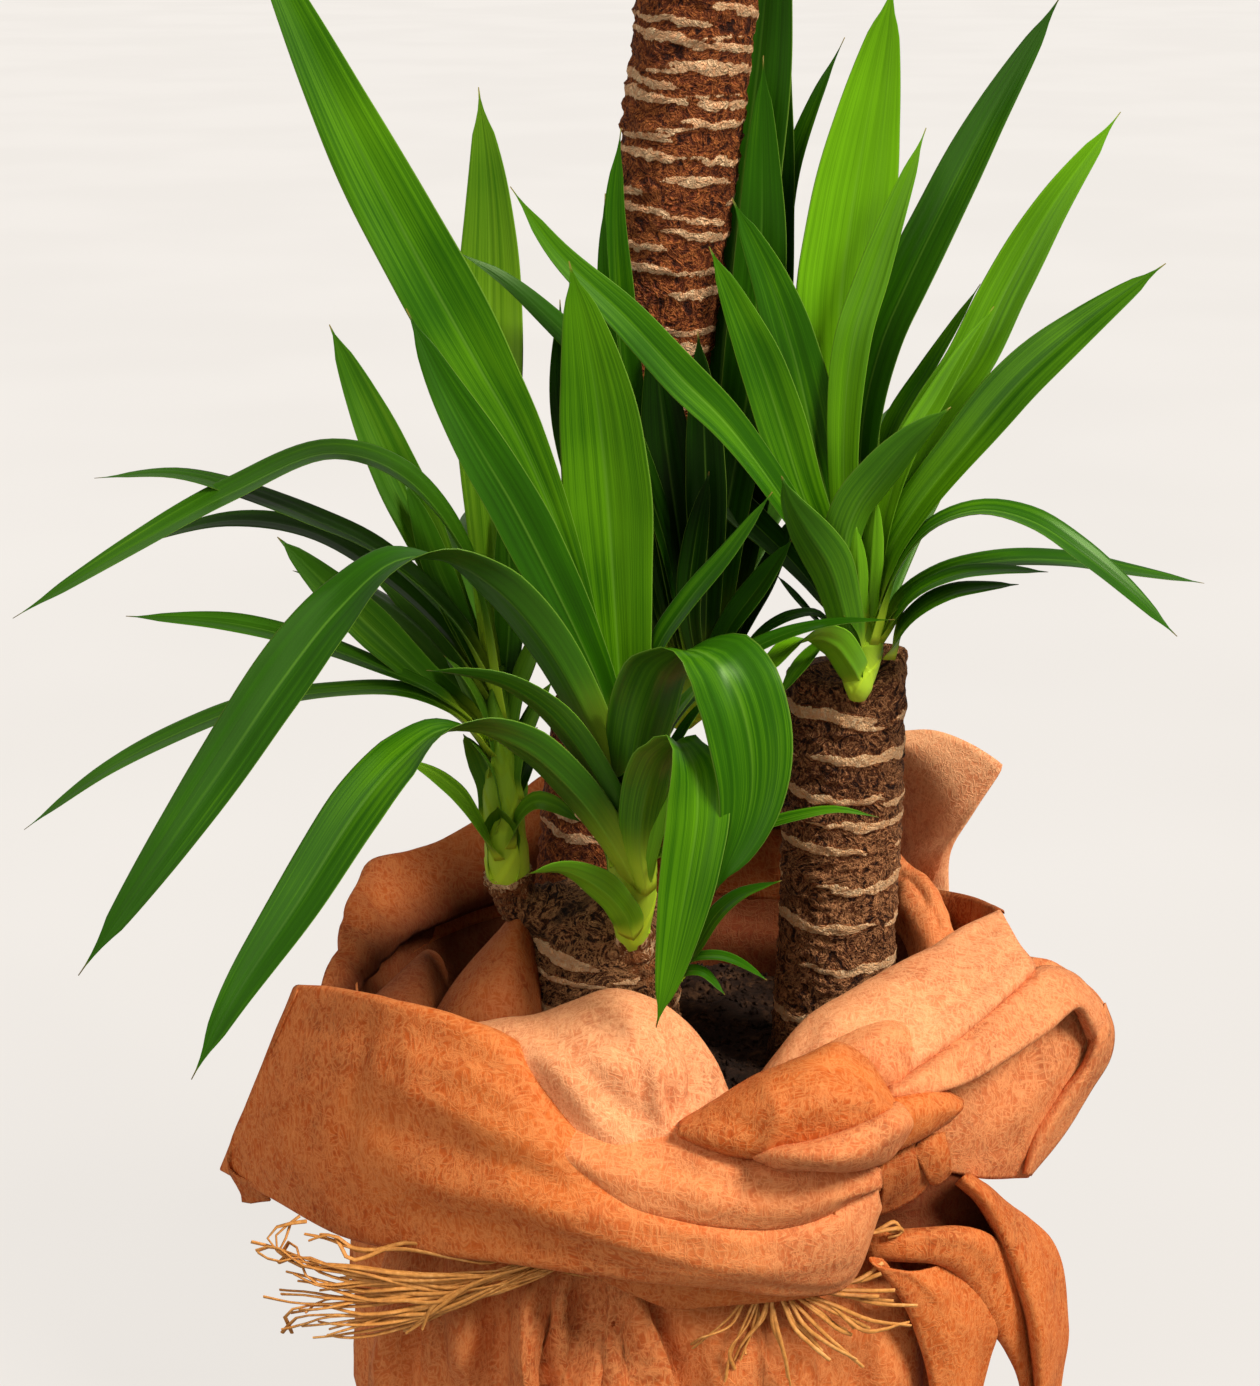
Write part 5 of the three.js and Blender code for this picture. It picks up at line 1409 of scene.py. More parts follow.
def grown(base: bpy.types.Object, tree: bpy.types.GeometryNodeTree, name: str,
          values: dict[str, float | int]) -> bpy.types.Object:
    """Run a Geometry Nodes tree on a base and keep its result as a plain mesh.

    Args:
        base: the object that carries the tree, which is removed.
        tree: the tree.
        name: the finished piece's name.
        values: the tree's inputs by name.

    Returns:
        The finished piece.
    """
    modifier = base.modifiers.new("growth", "NODES")
    modifier.node_group = tree
    for item in tree.interface.items_tree:
        if item.item_type == "SOCKET" and item.in_out == "INPUT" and item.name in values:
            modifier[item.identifier] = values[item.name]
    bpy.context.view_layer.update()
    evaluated = base.evaluated_get(bpy.context.evaluated_depsgraph_get())
    mesh = bpy.data.meshes.new_from_object(evaluated)
    mesh.name = name
    base.modifiers.remove(modifier)
    bpy.data.objects.remove(base)
    return placed(name, mesh)


def crumbs_tree(material: bpy.types.Material) -> bpy.types.GeometryNodeTree:
    """Strew crumbs over a bed.

    Args:
        material: the finish of bed and crumbs.

    Returns:
        The tree.
    """
    tree = group_tree("crumbs", {"Density": ("NodeSocketFloat", 40000.0), "Size": ("NodeSocketFloat", 0.004),
                                 "Seed": ("NodeSocketInt", 1)})
    g = Grower(tree)
    bed = g.given("Geometry")
    height = g.node("ShaderNodeSeparateXYZ", {}, {0: g.node("GeometryNodeInputNormal", {}, {})}, 2)
    upward = g.node("FunctionNodeCompare", {"data_type": "FLOAT", "operation": "GREATER_THAN"},
                    {0: height, 1: 0.3})
    spots = g.node("GeometryNodeDistributePointsOnFaces", {}, {
        "Mesh": bed, "Selection": upward, "Density": g.given("Density"), "Seed": g.given("Seed")})
    lump = g.node("GeometryNodeMeshIcoSphere", {}, {"Radius": 0.5, "Subdivisions": 1})
    turn = g.node("FunctionNodeRandomValue", {"data_type": "FLOAT_VECTOR"}, {
        0: (0, 0, 0), 1: (6.28, 6.28, 6.28), "Seed": g.given("Seed")}, 0)
    shape = g.node("FunctionNodeRandomValue", {"data_type": "FLOAT_VECTOR"}, {
        0: (0.35, 0.25, 0.15), 1: (1.3, 0.9, 0.6), "Seed": 3}, 0)
    scale = g.node("ShaderNodeVectorMath", {"operation": "SCALE"}, {0: shape, 3: g.given("Size")})
    crumbs = g.node("GeometryNodeInstanceOnPoints", {}, {
        "Points": spots, "Instance": lump, "Rotation": turn, "Scale": scale})
    joined = g.node("GeometryNodeJoinGeometry", {}, {0: bed})
    tree.links.new(crumbs, joined.node.inputs[0])
    g.close(joined, material)
    return tree


# Folds of the wrap: one edge as a row of [s, t, y], or a panel's rows from its first edge to its last
BAND_TOP = [
    [-162, 229, -52], [-148, 228, -72], [-122, 222, -98], [-95, 213, -114], [-70, 198, -128],
    [-40, 164, -142], [-10, 139, -152], [25, 131, -155], [58, 130, -150], [84, 138, -140], [95, 147, -126],
]
BAND_BOTTOM = [
    [-194, 150, -26], [-172, 138, -60], [-140, 121, -96], [-105, 114, -122], [-70, 110, -140],
    [-38, 105, -152], [-5, 100, -158], [28, 97, -158], [60, 94, -150], [84, 99, -136], [98, 132, -120],
]
BAND_BACK_TOP = [[-160, 229, -57], [-168, 211, -57], [-177, 190, -50], [-191, 151, -36], [-176, 142, -54]]
BAND_BACK_BOTTOM = [
    [-150, 226, -44], [-158, 205, -30], [-166, 182, -22], [-185, 136, -38], [-172, 135.5, -50],
]
UNDER_TOP = [
    [-46, 114, -136], [-28, 111, -142], [-10, 107, -148], [5, 105, -151], [25, 103, -152], [45, 102, -150],
    [60, 101, -146], [80, 102, -135],
]
UNDER_BOTTOM = [
    [-44, 106, -134], [-28, 101.5, -139], [-10, 94, -143], [5, 88.5, -145], [25, 89.5, -146],
    [45, 91, -145], [60, 92.5, -141], [78, 95, -131],
]
HUMP = [
    [[-94, 188, -86], [-74, 188, -82], [-55, 190, -80], [-38, 192, -80], [-20, 194, -80], [-2, 192, -80],
     [10, 188, -82], [18, 180, -88], [24, 170, -96]],
    [[-97, 213, -98], [-75, 215, -93], [-55, 217, -92], [-38, 223, -92], [-20, 229, -93], [-2, 224, -95],
     [12, 214, -99], [24, 199, -106], [31, 182, -114]],
    [[-99, 204, -114], [-76, 199, -122], [-56, 198, -127], [-38, 202, -130], [-20, 205, -130],
     [-2, 200, -130], [8, 192, -130], [17, 184, -126], [26, 174, -122]],
    [[-99, 190, -116], [-74, 178, -130], [-54, 165, -138], [-36, 152, -143], [-16, 142, -146],
     [0, 148, -146], [6, 156, -143], [12, 160, -138], [20, 164, -130]],
]
MID_TOP = [
    [-82, 186, -112], [-64, 181, -122], [-48, 175, -130], [-32, 169, -136], [-14, 168, -138],
    [6, 167, -139], [20, 161.5, -145], [38, 154.5, -149], [55, 151.5, -150], [72, 149.5, -149],
    [88, 148, -145], [98, 148, -134],
]
MID_BOTTOM = [
    [-82, 168, -120], [-64, 162, -131], [-48, 153, -142], [-32, 145, -150], [-14, 134, -157],
    [6, 129, -160], [20, 126, -162], [38, 124, -161], [55, 124, -157], [72, 128, -150], [88, 137, -138],
    [97, 143, -125],
]
KNOT_TOP = [
    [[14, 168, -118], [30, 176, -112], [48, 186, -104], [64, 193, -100], [78, 197, -98], [90, 190, -98],
     [98, 180, -102], [102, 172, -108]],
    [[10, 171, -131], [26, 181, -130], [44, 191.5, -128], [60, 198, -127], [78, 205.5, -125],
     [91, 198, -124], [100, 187, -124], [105, 177, -126]],
    [[9, 169, -141], [24, 175, -146], [40, 183, -149], [56, 189, -150], [72, 192, -148], [87, 188, -146],
     [98, 182, -142], [105, 176, -136]],
    [[8.5, 167, -146], [22, 168, -153], [36, 171, -158], [52, 175, -161], [68, 178, -161], [83, 178, -158],
     [96, 177, -151], [105, 175.5, -142]],
    [[8, 165.5, -147], [20, 161, -154], [31, 158, -158], [43, 157, -160], [58, 160, -160], [76, 164, -158],
     [92, 169, -152], [104, 175, -143]],
    [[10, 163, -142], [20, 159, -147], [32, 155, -149], [44, 154, -150], [58, 156, -150], [76, 160, -148],
     [92, 166, -142], [102, 173, -134]],
]
KNOT_LOBE = [
    [[40, 157, -148], [52, 160, -151], [66, 163, -152], [80, 167, -151], [92, 172, -146], [101, 177, -139],
     [105, 179, -133]],
    [[41, 156, -156], [52, 159, -162], [66, 161.5, -165], [80, 165, -164], [93, 170, -158],
     [103, 175, -149], [108, 177, -138]],
    [[41.5, 155, -158], [53, 155.5, -168], [67, 156.5, -173], [82, 158.5, -172], [96, 162.5, -165],
     [107, 168.5, -154], [112, 170, -140]],
    [[42, 154, -157], [54, 152, -166], [68, 151.5, -171], [82, 151.5, -170], [94, 154, -163],
     [104, 159, -152], [109, 163, -140]],
    [[43, 153.5, -152], [55, 150.5, -157], [68, 149.5, -159], [81, 148.5, -157], [92, 149.5, -151],
     [100, 153, -142], [104, 158, -134]],
    [[44, 155, -146], [56, 153, -148], [68, 152, -149], [80, 152, -147], [90, 154, -141], [98, 158, -134],
     [100, 162, -128]],
]
RIGHT_ROLL = [
    [[48, 178, -70], [60, 194, -66], [72, 206, -60], [88, 214, -50], [104, 222, -34], [120, 232, -14],
     [134, 240, 6], [146, 248, 22]],
    [[42, 188, -84], [54, 206, -81], [66, 218.5, -76], [82, 227, -68], [100, 236.5, -52], [120, 247.5, -30],
     [136, 257, -8], [150, 263.5, 10]],
    [[44, 186, -94], [57, 200, -95], [70, 210, -93], [86, 218, -88], [104, 227, -75], [123, 238, -54],
     [139, 247, -33], [154, 258, -7]],
    [[50, 180, -100], [64, 189, -104], [78, 196, -105], [93, 203, -102], [109, 212, -92], [128, 224, -73],
     [144, 235, -51], [159, 249, -22]],
    [[60, 176, -104], [74, 181, -107], [88, 184, -109], [102, 187, -109], [114, 196, -103], [131, 209, -87],
     [148, 223, -65], [166, 239, -34]],
    [[62, 176, -94], [76, 180, -98], [90, 183, -99], [103, 186, -98], [114, 194, -91], [130, 206, -76],
     [146, 219, -55], [162, 234, -28]],
]
RIGHT_LAYER = [
    [[62, 196, -104], [74, 204, -103], [84, 209, -101], [94, 213, -97], [103, 214.5, -93], [110, 212, -91],
     [114, 204, -94], [112, 195, -99]],
    [[64, 192, -110], [76, 199, -111], [85, 203.5, -110], [94, 207, -107], [102, 208, -104],
     [108, 206, -102], [111, 200, -103], [110, 191, -105]],
    [[66, 184, -113], [78, 188, -116], [87, 191, -117], [95, 193, -116], [101, 193, -114], [105, 191, -113],
     [107, 187, -112], [106, 183, -111]],
    [[70, 178, -110], [80, 180, -114], [88, 181, -116], [94, 182, -116], [99, 182, -115], [103, 181, -114],
     [105, 179, -112], [104, 177, -110]],
]
SECOND_ROLL = [
    [[100, 186, -108], [112, 194, -99], [126, 205, -84], [141, 217, -66], [156, 229, -46], [169, 239, -28],
     [183, 236, -20], [194, 225, -16]],
    [[101, 185, -117], [113, 191, -109], [128, 202, -94], [143, 213, -76], [159, 226, -54], [175, 236, -36],
     [188, 229, -28], [198, 217, -23]],
    [[102, 182, -122], [115, 187, -116], [131, 194, -103], [148, 205, -85], [164, 217, -62],
     [180, 229, -42], [191, 221, -34], [199, 209, -27]],
    [[103, 180, -119], [118, 182.5, -115], [136, 188.5, -103], [154, 199, -84], [171, 211, -62],
     [186, 222, -44], [191, 214, -38], [194, 205, -31]],
    [[104, 181, -112], [118, 184, -107], [135, 190, -94], [152, 200, -75], [168, 211, -54], [182, 221, -36],
     [187, 213, -31], [190, 204, -25]],
]
OUTER_FLAP = [
    [[158, 238, -12], [168, 236, -6], [180, 232, -2], [190, 223, 2], [196, 212, 2], [194, 201, -2],
     [186, 187, -10], [176, 170, -20], [158, 147, -34]],
    [[164, 243, -24], [174, 241, -20], [186, 234, -16], [195, 225, -13], [200.5, 212, -13], [199, 200, -17],
     [190, 184, -24], [178, 165, -33], [163, 146, -43]],
    [[163, 240, -28], [172, 236, -27], [182, 227, -25], [189, 216, -23], [192, 205, -24], [189, 195, -28],
     [180, 180, -35], [168, 163, -43], [154, 145.5, -52]],
    [[158, 228, -34], [165, 220, -36], [171, 210, -38], [175, 200, -40], [175, 191, -43], [170, 182, -48],
     [161, 170, -54], [151, 157, -59], [142, 145.5, -64]],
    [[146, 210, -46], [150, 202, -50], [152, 194, -54], [152, 186, -58], [149, 178, -62], [144, 170, -66],
     [138, 162, -70], [132, 154, -72], [127, 148, -74]],
    [[124, 186, -64], [124, 182, -68], [123, 177, -71], [122, 172, -74], [120, 167, -76], [118, 162, -78],
     [117, 157, -79], [117, 152, -80], [117, 147, -80]],
]
FLAP_RIM = [
    [[197, 223, -15], [201, 211, -17], [199.5, 199, -20], [190.5, 184, -27], [178, 164, -35],
     [164, 146.5, -43]],
    [[196, 220, -25], [199, 210, -27], [197, 198, -30], [188, 184, -37], [175, 165, -44],
     [164, 146.5, -49]],
    [[191, 217, -32], [194, 208, -35], [191, 197, -38], [182, 183, -44], [170, 165, -51],
     [162.5, 147, -54]],
    [[188, 214, -26], [190, 206, -29], [187, 196, -33], [177, 183, -39], [166, 166, -47],
     [161, 147.5, -51]],
]
SMALL_ROLL = [
    [[98, 180, -116], [108, 182, -110], [118, 184.5, -103], [127, 184, -97], [133, 181, -92]],
    [[99, 178, -126], [109, 180, -122], [119, 182.5, -116], [128, 182, -109], [134.5, 179, -102]],
    [[100, 171, -131], [110, 173, -128], [119, 175.5, -122], [127, 176, -115], [134, 176, -106]],
    [[100, 161, -130], [108, 164, -128], [116, 167, -123], [124, 170, -116], [131, 173, -107]],
    [[101, 156, -124], [108, 159, -122], [115, 162.5, -117], [122, 166.5, -111], [129, 171, -103]],
]
STRAP = [
    [[97, 150, -120], [104, 156, -116], [110, 160, -112], [116, 161, -106]],
    [[98, 146, -122], [106, 151, -119], [112, 154, -115], [118, 154, -109]],
    [[98, 138, -120], [106, 142, -117], [113, 146, -113], [119, 149, -108]],
    [[97, 129, -112], [105, 132, -109], [114, 137, -105], [121, 145, -100]],
]
# KNOT_FILL is a backing sheet that closes a gap through the wrap behind the knot, darkened with painted
# shade.
KNOT_FILL = [
    [[70, 121, -98], [75, 141, -98], [75, 161, -98], [70, 178, -98]],
    [[72, 113, -124], [77, 133, -124], [77, 153, -124], [72, 170, -124]],
    [[72, 105, -147], [77, 125, -148], [77, 145, -149], [72, 160, -148]],
]
PLEAT = [
    [[112, 158, -112], [116, 162, -110], [121, 165, -106], [126, 166, -100]],
    [[114, 154, -114], [118, 158, -113], [123, 160, -110], [128, 158, -104]],
    [[118, 146, -110], [120, 147, -110], [124, 149, -108], [129, 149, -102]],
    [[120, 143, -102], [122, 142.5, -102], [125, 143.5, -100], [128, 147, -96]],
]
TAIL_OUTER = [
    [[131, 143, -86], [139, 136, -83], [145, 127, -81], [150, 117, -79], [154, 107, -77], [158, 96, -75],
     [162, 84, -73], [164, 72, -71], [166, 52, -69], [165, 24, -67]],
    [[134, 146, -90], [142, 138.5, -90], [148, 129.5, -89], [153, 119, -87], [157.5, 109, -85],
     [161, 98, -83], [165, 86, -81], [167, 73, -79], [168.5, 53, -77], [168, 24, -74]],
    [[136, 147.5, -80], [147, 140, -74], [157, 130, -69], [164, 120, -65], [169, 109, -62], [172, 98, -60],
     [174, 86, -58], [175, 72, -57], [174, 52, -56], [170, 24, -54]],
    [[137, 147, -66], [150, 136.5, -52], [163, 127, -44], [172, 118.5, -38], [177, 108, -34],
     [179.5, 96, -32], [180.5, 83, -31], [179.5, 69, -31], [176, 50, -33], [170, 24, -36]],
    [[132, 144, -52], [143, 133, -36], [154, 123, -26], [163, 113, -18], [169, 102, -13], [172, 91, -11],
     [173, 79, -11], [172, 66, -13], [169, 48, -18], [165, 24, -24]],
]
TAIL_FOLD = [
    [[94, 119, -96], [115, 120, -94], [130, 121, -88], [141, 119, -78], [149, 114, -70], [156, 104, -62],
     [161, 90, -56], [164, 74, -50], [166, 54, -44], [167, 24, -40]],
    [[93, 121, -106], [115, 122.5, -107], [131, 123.5, -101], [143, 121, -90], [151, 115, -80],
     [157, 105, -72], [162, 92, -65], [165, 76, -59], [167, 56, -53], [168, 24, -49]],
    [[92, 117, -113], [113, 118, -114], [129, 117, -109], [140, 112, -99], [147, 103, -90], [153, 92, -82],
     [158, 80, -75], [161, 67, -69], [164, 50, -64], [166, 24, -58]],
    [[92, 110, -112], [110, 108.5, -112], [122, 107.5, -107], [131, 103.5, -100], [137, 97, -93],
     [142, 88.5, -86], [149, 78, -79], [155, 68.5, -73], [160, 56, -68], [164, 24, -62]],
    [[92, 112, -103], [109, 111, -103], [121, 110, -97], [129, 106, -90], [135, 99, -83], [140, 90, -77],
     [147, 80, -71], [154, 70, -65], [159, 57, -60], [163, 24, -55]],
]
# CAVITY is a sheet of painted shade: a dark panel set deep in the hollow behind the tail.
CAVITY = [
    [[92, 137, -88], [108, 144, -82], [124, 149, -74], [138, 146, -62], [150, 136, -48], [160, 124, -36]],
    [[91, 124, -90], [110, 126, -84], [128, 127, -74], [142, 124, -62], [153, 114, -50], [161, 100, -40]],
    [[91, 112, -94], [112, 111, -88], [130, 108, -80], [142, 100, -70], [152, 88, -60], [160, 72, -52]],
]
BACK_FOLD = [
    [-150, 229, -34], [-143, 248, -6], [-139, 266, 22], [-130, 283, 52], [-108, 292, 80], [-80, 304, 98],
    [-50, 324, 108], [-15, 331, 113], [20, 334, 113], [60, 338, 111], [92, 342, 106],
]
BACK_LIP = [
    [-149, 226, -40], [-134, 240, -14], [-119, 251, 12], [-106, 257, 38], [-92, 264, 62], [-72, 276, 80],
    [-46, 300, 94], [-15, 312, 100], [20, 318, 101], [60, 324, 100], [90, 330, 96],
]
FLAP_INNER = [
    [92, 338, 96], [104, 337, 90], [115, 333, 86], [123, 324, 82], [127, 314, 78], [128, 308, 77],
    [128, 299, 75], [124, 288, 72], [120, 268, 70],
]
FLAP_OUTER = [
    [92, 343, 104], [106, 343, 96], [121, 343.5, 90], [137, 338, 82], [151.6, 328.4, 74], [152, 327.6, 74],
    [140, 309, 71], [129, 290, 70], [128, 268, 70],
]
FLAP_ROOT = [
    [80, 332, 112], [86, 328, 114], [92, 322, 116], [97, 314, 116], [98, 308, 115], [99, 302, 114],
    [100, 292, 110], [101, 280, 104], [102, 262, 98],
]
SHOULDER = [
    [[97, 284, 84], [106, 280, 76], [114, 275, 68], [121, 268, 60], [126, 260, 50], [128, 250, 42]],
    [[98, 291, 66], [107, 286.5, 56], [115, 280.5, 48], [122, 272.5, 40], [128, 263.5, 32],
     [130.5, 253, 24]],
    [[98, 284, 56], [107, 279, 46], [114, 272, 37], [120, 265, 29], [125, 256, 21], [127, 246, 14]],
    [[98, 274, 54], [106, 270, 44], [112, 264, 34], [116.5, 257, 26], [119, 249, 18], [119, 240, 12]],
    [[95, 262, 62], [102, 258, 53], [107, 252, 44], [110, 246, 36], [111, 239, 30], [110, 230, 24]],
]
RIGHT_BACK_TOP = [[104, 274, 72], [134, 269, 52], [150, 263, 18]]
RIGHT_BACK_BOTTOM = [[104, 246, 70], [132, 246, 46], [150, 246, 4]]
TENT = [
    [[-64, 262, -34], [-77, 248, -44], [-89, 234, -54], [-102, 214, -66]],
    [[-63, 263, -44], [-73, 248, -60], [-82, 233, -72], [-92, 211, -86]],
    [[-61, 263, -48], [-65, 247, -66], [-69, 232, -80], [-74, 209, -94]],
    [[-59, 262, -46], [-60, 246, -62], [-61, 231, -76], [-62, 208, -90]],
    [[-56, 260, -36], [-54, 245, -50], [-53, 230, -60], [-52, 208, -72]],
]
INNER_FOLD = [
    [[-138, 214, -56], [-128, 224, -42], [-118, 233, -26], [-109, 241, -10], [-103, 246, 2], [-98, 244, 10],
     [-95, 238, 16]],
    [[-138, 212, -66], [-128, 223, -54], [-118, 233, -40], [-110, 240, -28], [-104, 244, -18],
     [-98, 241, -8], [-94, 235, 2]],
    [[-136, 208, -76], [-126, 216, -70], [-117, 224, -62], [-110, 230, -52], [-103, 232, -42],
     [-98, 230, -30], [-94, 227, -16]],
    [[-132, 202, -84], [-122, 207, -82], [-114, 211, -77], [-107, 215, -70], [-101, 217, -60],
     [-96, 217, -48], [-92, 216, -34]],
    [[-128, 192, -90], [-118, 196, -92], [-110, 199, -90], [-103, 201, -84], [-97, 202, -76],
     [-92, 202, -64], [-88, 202, -50]],
]
SKIRT_FOLD_LEFT = [
    [96, 107, -128], [104, 100, -124], [111, 89, -118], [117, 75, -113], [122, 60, -109], [125, 42, -106],
    [126, 22, -104],
]
SKIRT_FOLD_RIGHT = [
    [124, 107, -104], [136, 99, -95], [145, 88, -87], [149, 77, -82], [146, 66, -80], [142, 50, -80],
    [138, 28, -80],
]

# Outline of the wrap's body, from the middle of its underside to the rim: radius, height, depth of its folds
BODY_PROFILE = (
    (0.5, .6, 0), (50, .6, 0), (92, .8, .1), (107, 1.5, .2), (121, 5, .4), (137, 13, .7), (147, 24, 1),
    (149, 44, 1.2), (147, 78, 1.2), (147, 98, 1.1), (145, 118, 1), (140, 134, .9), (132.5, 147, .7),
    (126.5, 156, .4), (124.5, 162, .28), (126, 170, .26), (131, 190, .25), (134, 212, .2), (138, 234, .15),
    (139, 248, .1),
)
# Outline of the cloth over the pot's rim, from outside to inside: radius, height
LINING_PROFILE = (
    (135.5, 240), (132, 230), (128, 221), (124.8, 216.5), (121.5, 215), (118.4, 209), (118, 199),
    (117.6, 190),
)
# Pleats of the skirt: azimuth, depth in millimetres, half width in degrees
PLEATS = (
    (-138, 9, 9), (-121, 8, 8), (-109, 12, 7), (-96, 7, 6), (-88, 10, 8), (-70, 6, 7), (-55, 8, 9),
    (-38, 10, 8), (-22, 9, 9), (-6, 12, 8), (14, 8, 9), (33, 10, 8), (52, 8, 9), (71, 11, 8), (90, 8, 9),
    (109, 10, 8), (128, 8, 9), (147, 11, 8), (166, 8, 9), (185, 10, 8), (203, 9, 9),
)


@dataclass(frozen=True)
class Crease:
    """A line pressed into the cloth, seen from the front: its (s, t) points, height and half width."""

    points: tuple
    height: float
    width: float


SHOULDER_CREASES = (
    Crease(((100, 284), (112, 276), (122, 262), (127, 247)), -3.2, 4),
    Crease(((101, 276), (110, 264), (116, 248)), 2.4, 4),
    Crease(((108, 287), (104, 272), (103, 262)), -2.0, 3),
)
BAND_CREASES = (
    Crease(((-128, 221), (-132, 198), (-137, 171), (-141, 143)), -2.6, 5),
    Crease(((-188, 159), (-176, 173), (-163, 181), (-147, 189)), 1.6, 3),
    Crease(((-151, 228), (-170, 210), (-179, 189), (-186, 162)), 2.4, 4),
    Crease(((-140, 199), (-93, 178), (-40, 153)), 2.6, 7),
    Crease(((-124, 203), (-86, 192), (-47, 171)), 2.2, 6),
    Crease(((-139, 171), (-89, 157), (-31, 139)), -2.4, 7),
    Crease(((-140, 153), (-75, 137), (-4, 125)), 2.2, 7),
    Crease(((-137, 136), (-64, 122), (13, 109), (49, 112)), -2.0, 6),
    Crease(((-4, 125), (31, 118), (67, 120), (91, 134)), 2.0, 6),
    Crease(((-112, 214), (-108, 190), (-118, 160)), 1.6, 6),
    Crease(((-60, 128), (-20, 117), (30, 104)), 1.4, 4),
)
HUMP_CREASES = (
    Crease(((-3, 199), (-1, 182), (3, 166)), 3.4, 3),
    Crease(((5, 190), (6, 179), (7, 168)), -6.0, 3.4),
    Crease(((-12, 201), (-6, 182)), -2.6, 5),
    Crease(((-24, 179), (-1, 172)), -2.0, 4),
    Crease(((-32, 200), (-4, 189)), 1.8, 5),
    Crease(((6, 212), (15, 200), (17, 189), (13, 176)), -5.5, 3),
    Crease(((-80, 206), (-57, 189), (-43, 173), (-31, 155)), -4.5, 8),
    Crease(((-66, 210), (-44, 192), (-26, 170), (-8, 150)), 3.2, 8),
    Crease(((-50, 208), (-30, 190), (-10, 168)), -1.6, 6),
)
MID_CREASES = (
    Crease(((-10, 156), (20, 146), (50, 140), (84, 142)), -1.6, 4),
    Crease(((2, 160), (28, 150), (60, 145)), 1.6, 4),
)
KNOT_CREASES = (
    Crease(((44, 188), (53, 174), (45, 157)), 1.6, 3),
    Crease(((20, 171), (34, 170), (46, 163)), -3.0, 8),
    Crease(((60, 196), (74, 184), (98, 180)), 1.2, 5),
    Crease(((58, 164), (74, 172), (98, 177)), -1.4, 4),
    Crease(((66, 178), (84, 170), (99, 172)), 0.9, 3),
)
LOBE_CREASES = (
    Crease(((62, 159), (82, 160), (104, 168)), -1.2, 2.5),
    Crease(((52, 154), (76, 153), (98, 158)), 1.0, 3),
)
RIGHT_CREASES = (
    Crease(((58, 198), (66, 206), (70, 216)), -1.6, 4),
    Crease(((70, 216), (98, 226), (126, 241)), 1.2, 6),
    Crease(((112, 212), (134, 226), (160, 246)), -1.8, 4),
    Crease(((148, 262), (156, 250), (164, 242)), 1.5, 4),
    Crease(((118, 226), (138, 246), (146, 260)), -1.0, 6),
)
LAYER_CREASES = (
    Crease(((68, 184), (86, 196), (100, 210)), 1.2, 4),
    Crease(((84, 184), (96, 196), (108, 203)), -1.4, 4),
)
SECOND_CREASES = (
    Crease(((108, 187), (136, 203), (172, 234)), 1.4, 3),
    Crease(((112, 185), (142, 198), (180, 226)), -1.3, 3),
)
OUTER_CREASES = (
    Crease(((186, 224), (180, 206), (168, 186), (152, 164)), 2.4, 5),
    Crease(((176, 214), (162, 192), (146, 172)), -3.0, 7),
    Crease(((192, 222), (196, 206), (188, 188)), -1.5, 4),
)
TAIL_CREASES = (
    Crease(((144, 140), (163, 120), (172, 92), (173, 55)), 1.5, 4),
    Crease(((152, 136), (170, 114), (177, 86), (176, 55)), -1.4, 4),
)
TAIL_FOLD_CREASES = (
    Crease(((98, 115), (118, 117), (136, 114), (148, 98), (157, 74)), -1.8, 3),
    Crease(((100, 119), (122, 120), (140, 117)), 1.0, 2.5),
)
SKIRT_CREASES = (
    Crease(((-120, 40), (-119, 70), (-115, 85), (-110, 96)), 9.8, 4),
    Crease(((-113, 40), (-112, 70), (-107, 88)), -10.8, 5),
    Crease(((-85, 97), (-82, 80), (-90, 58)), 7.6, 5),
    Crease(((-74, 40), (-73, 80), (-66, 100)), -7.6, 7),
    Crease(((-57, 30), (-57, 80), (-55, 95), (-52, 110)), 13.0, 3.6),
    Crease(((-49, 34), (-50, 80), (-50, 106)), -14.1, 3.6),
    Crease(((-43, 30), (-45, 80), (-46, 106)), 6.4, 4),
    Crease(((-26, 30), (-28, 70), (-32, 100)), -12.0, 8),
    Crease(((-14, 100), (-12, 88), (-7, 70), (2, 50), (6, 30)), 13.0, 4),
    Crease(((-18, 90), (-14, 70), (-7, 50)), -9.8, 4),
    Crease(((20, 30), (16, 60), (14, 86)), -4.8, 9),
    Crease(((48, 30), (46, 60), (40, 88)), 5.7, 10),
    Crease(((74, 30), (76, 60), (74, 92)), -5.7, 7),
    Crease(((100, 30), (96, 70), (86, 96)), 6.4, 7),
)


def on_picture(grid: np.ndarray) -> np.ndarray:
    """Return where places lie on the picture plane, as s and t in millimetres.

    Args:
        grid: places in metres.

    Returns:
        The s and t of each place.
    """
    ray = grid / MM - VIEW_EYE
    far = ray @ VIEW_FORWARD
    return pair(VIEW_AIM[0] + VIEW_DISTANCE * ray[..., 0] / far,
                VIEW_T0 + VIEW_DISTANCE * (ray @ VIEW_UP) / far)


def pressed(grid: np.ndarray, creases: Sequence[Crease]) -> np.ndarray:
    """Return how far creases move each point of a grid outward, in millimetres.

    Args:
        grid: places in metres.
        creases: the lines pressed into it.

    Returns:
        One distance for each place.
    """
    spot, total = on_picture(grid), np.zeros(grid.shape[:-1])
    for crease in creases:
        line = spline(np.array([(s, t, 0) for s, t in crease.points], float), 14)[0][:, :2]
        nearest, along = np.full(total.shape, 1e9), np.zeros(total.shape)
        for i in range(len(line) - 1):
            step = line[i + 1] - line[i]
            f = np.clip(((spot - line[i]) @ step) / (step @ step), 0, 1)
            away = np.linalg.norm(spot - line[i] - f[..., None] * step, axis=-1)
            along = np.where(away < nearest, (i + f) / (len(line) - 1), along)
            nearest = np.minimum(nearest, away)
        fade = np.sqrt(np.clip(np.sin(math.pi * np.clip(along, 0.03, 0.97)), 0, 1))
        total += crease.height * fade * np.exp(-(nearest / crease.width) ** 1.6)
    return total


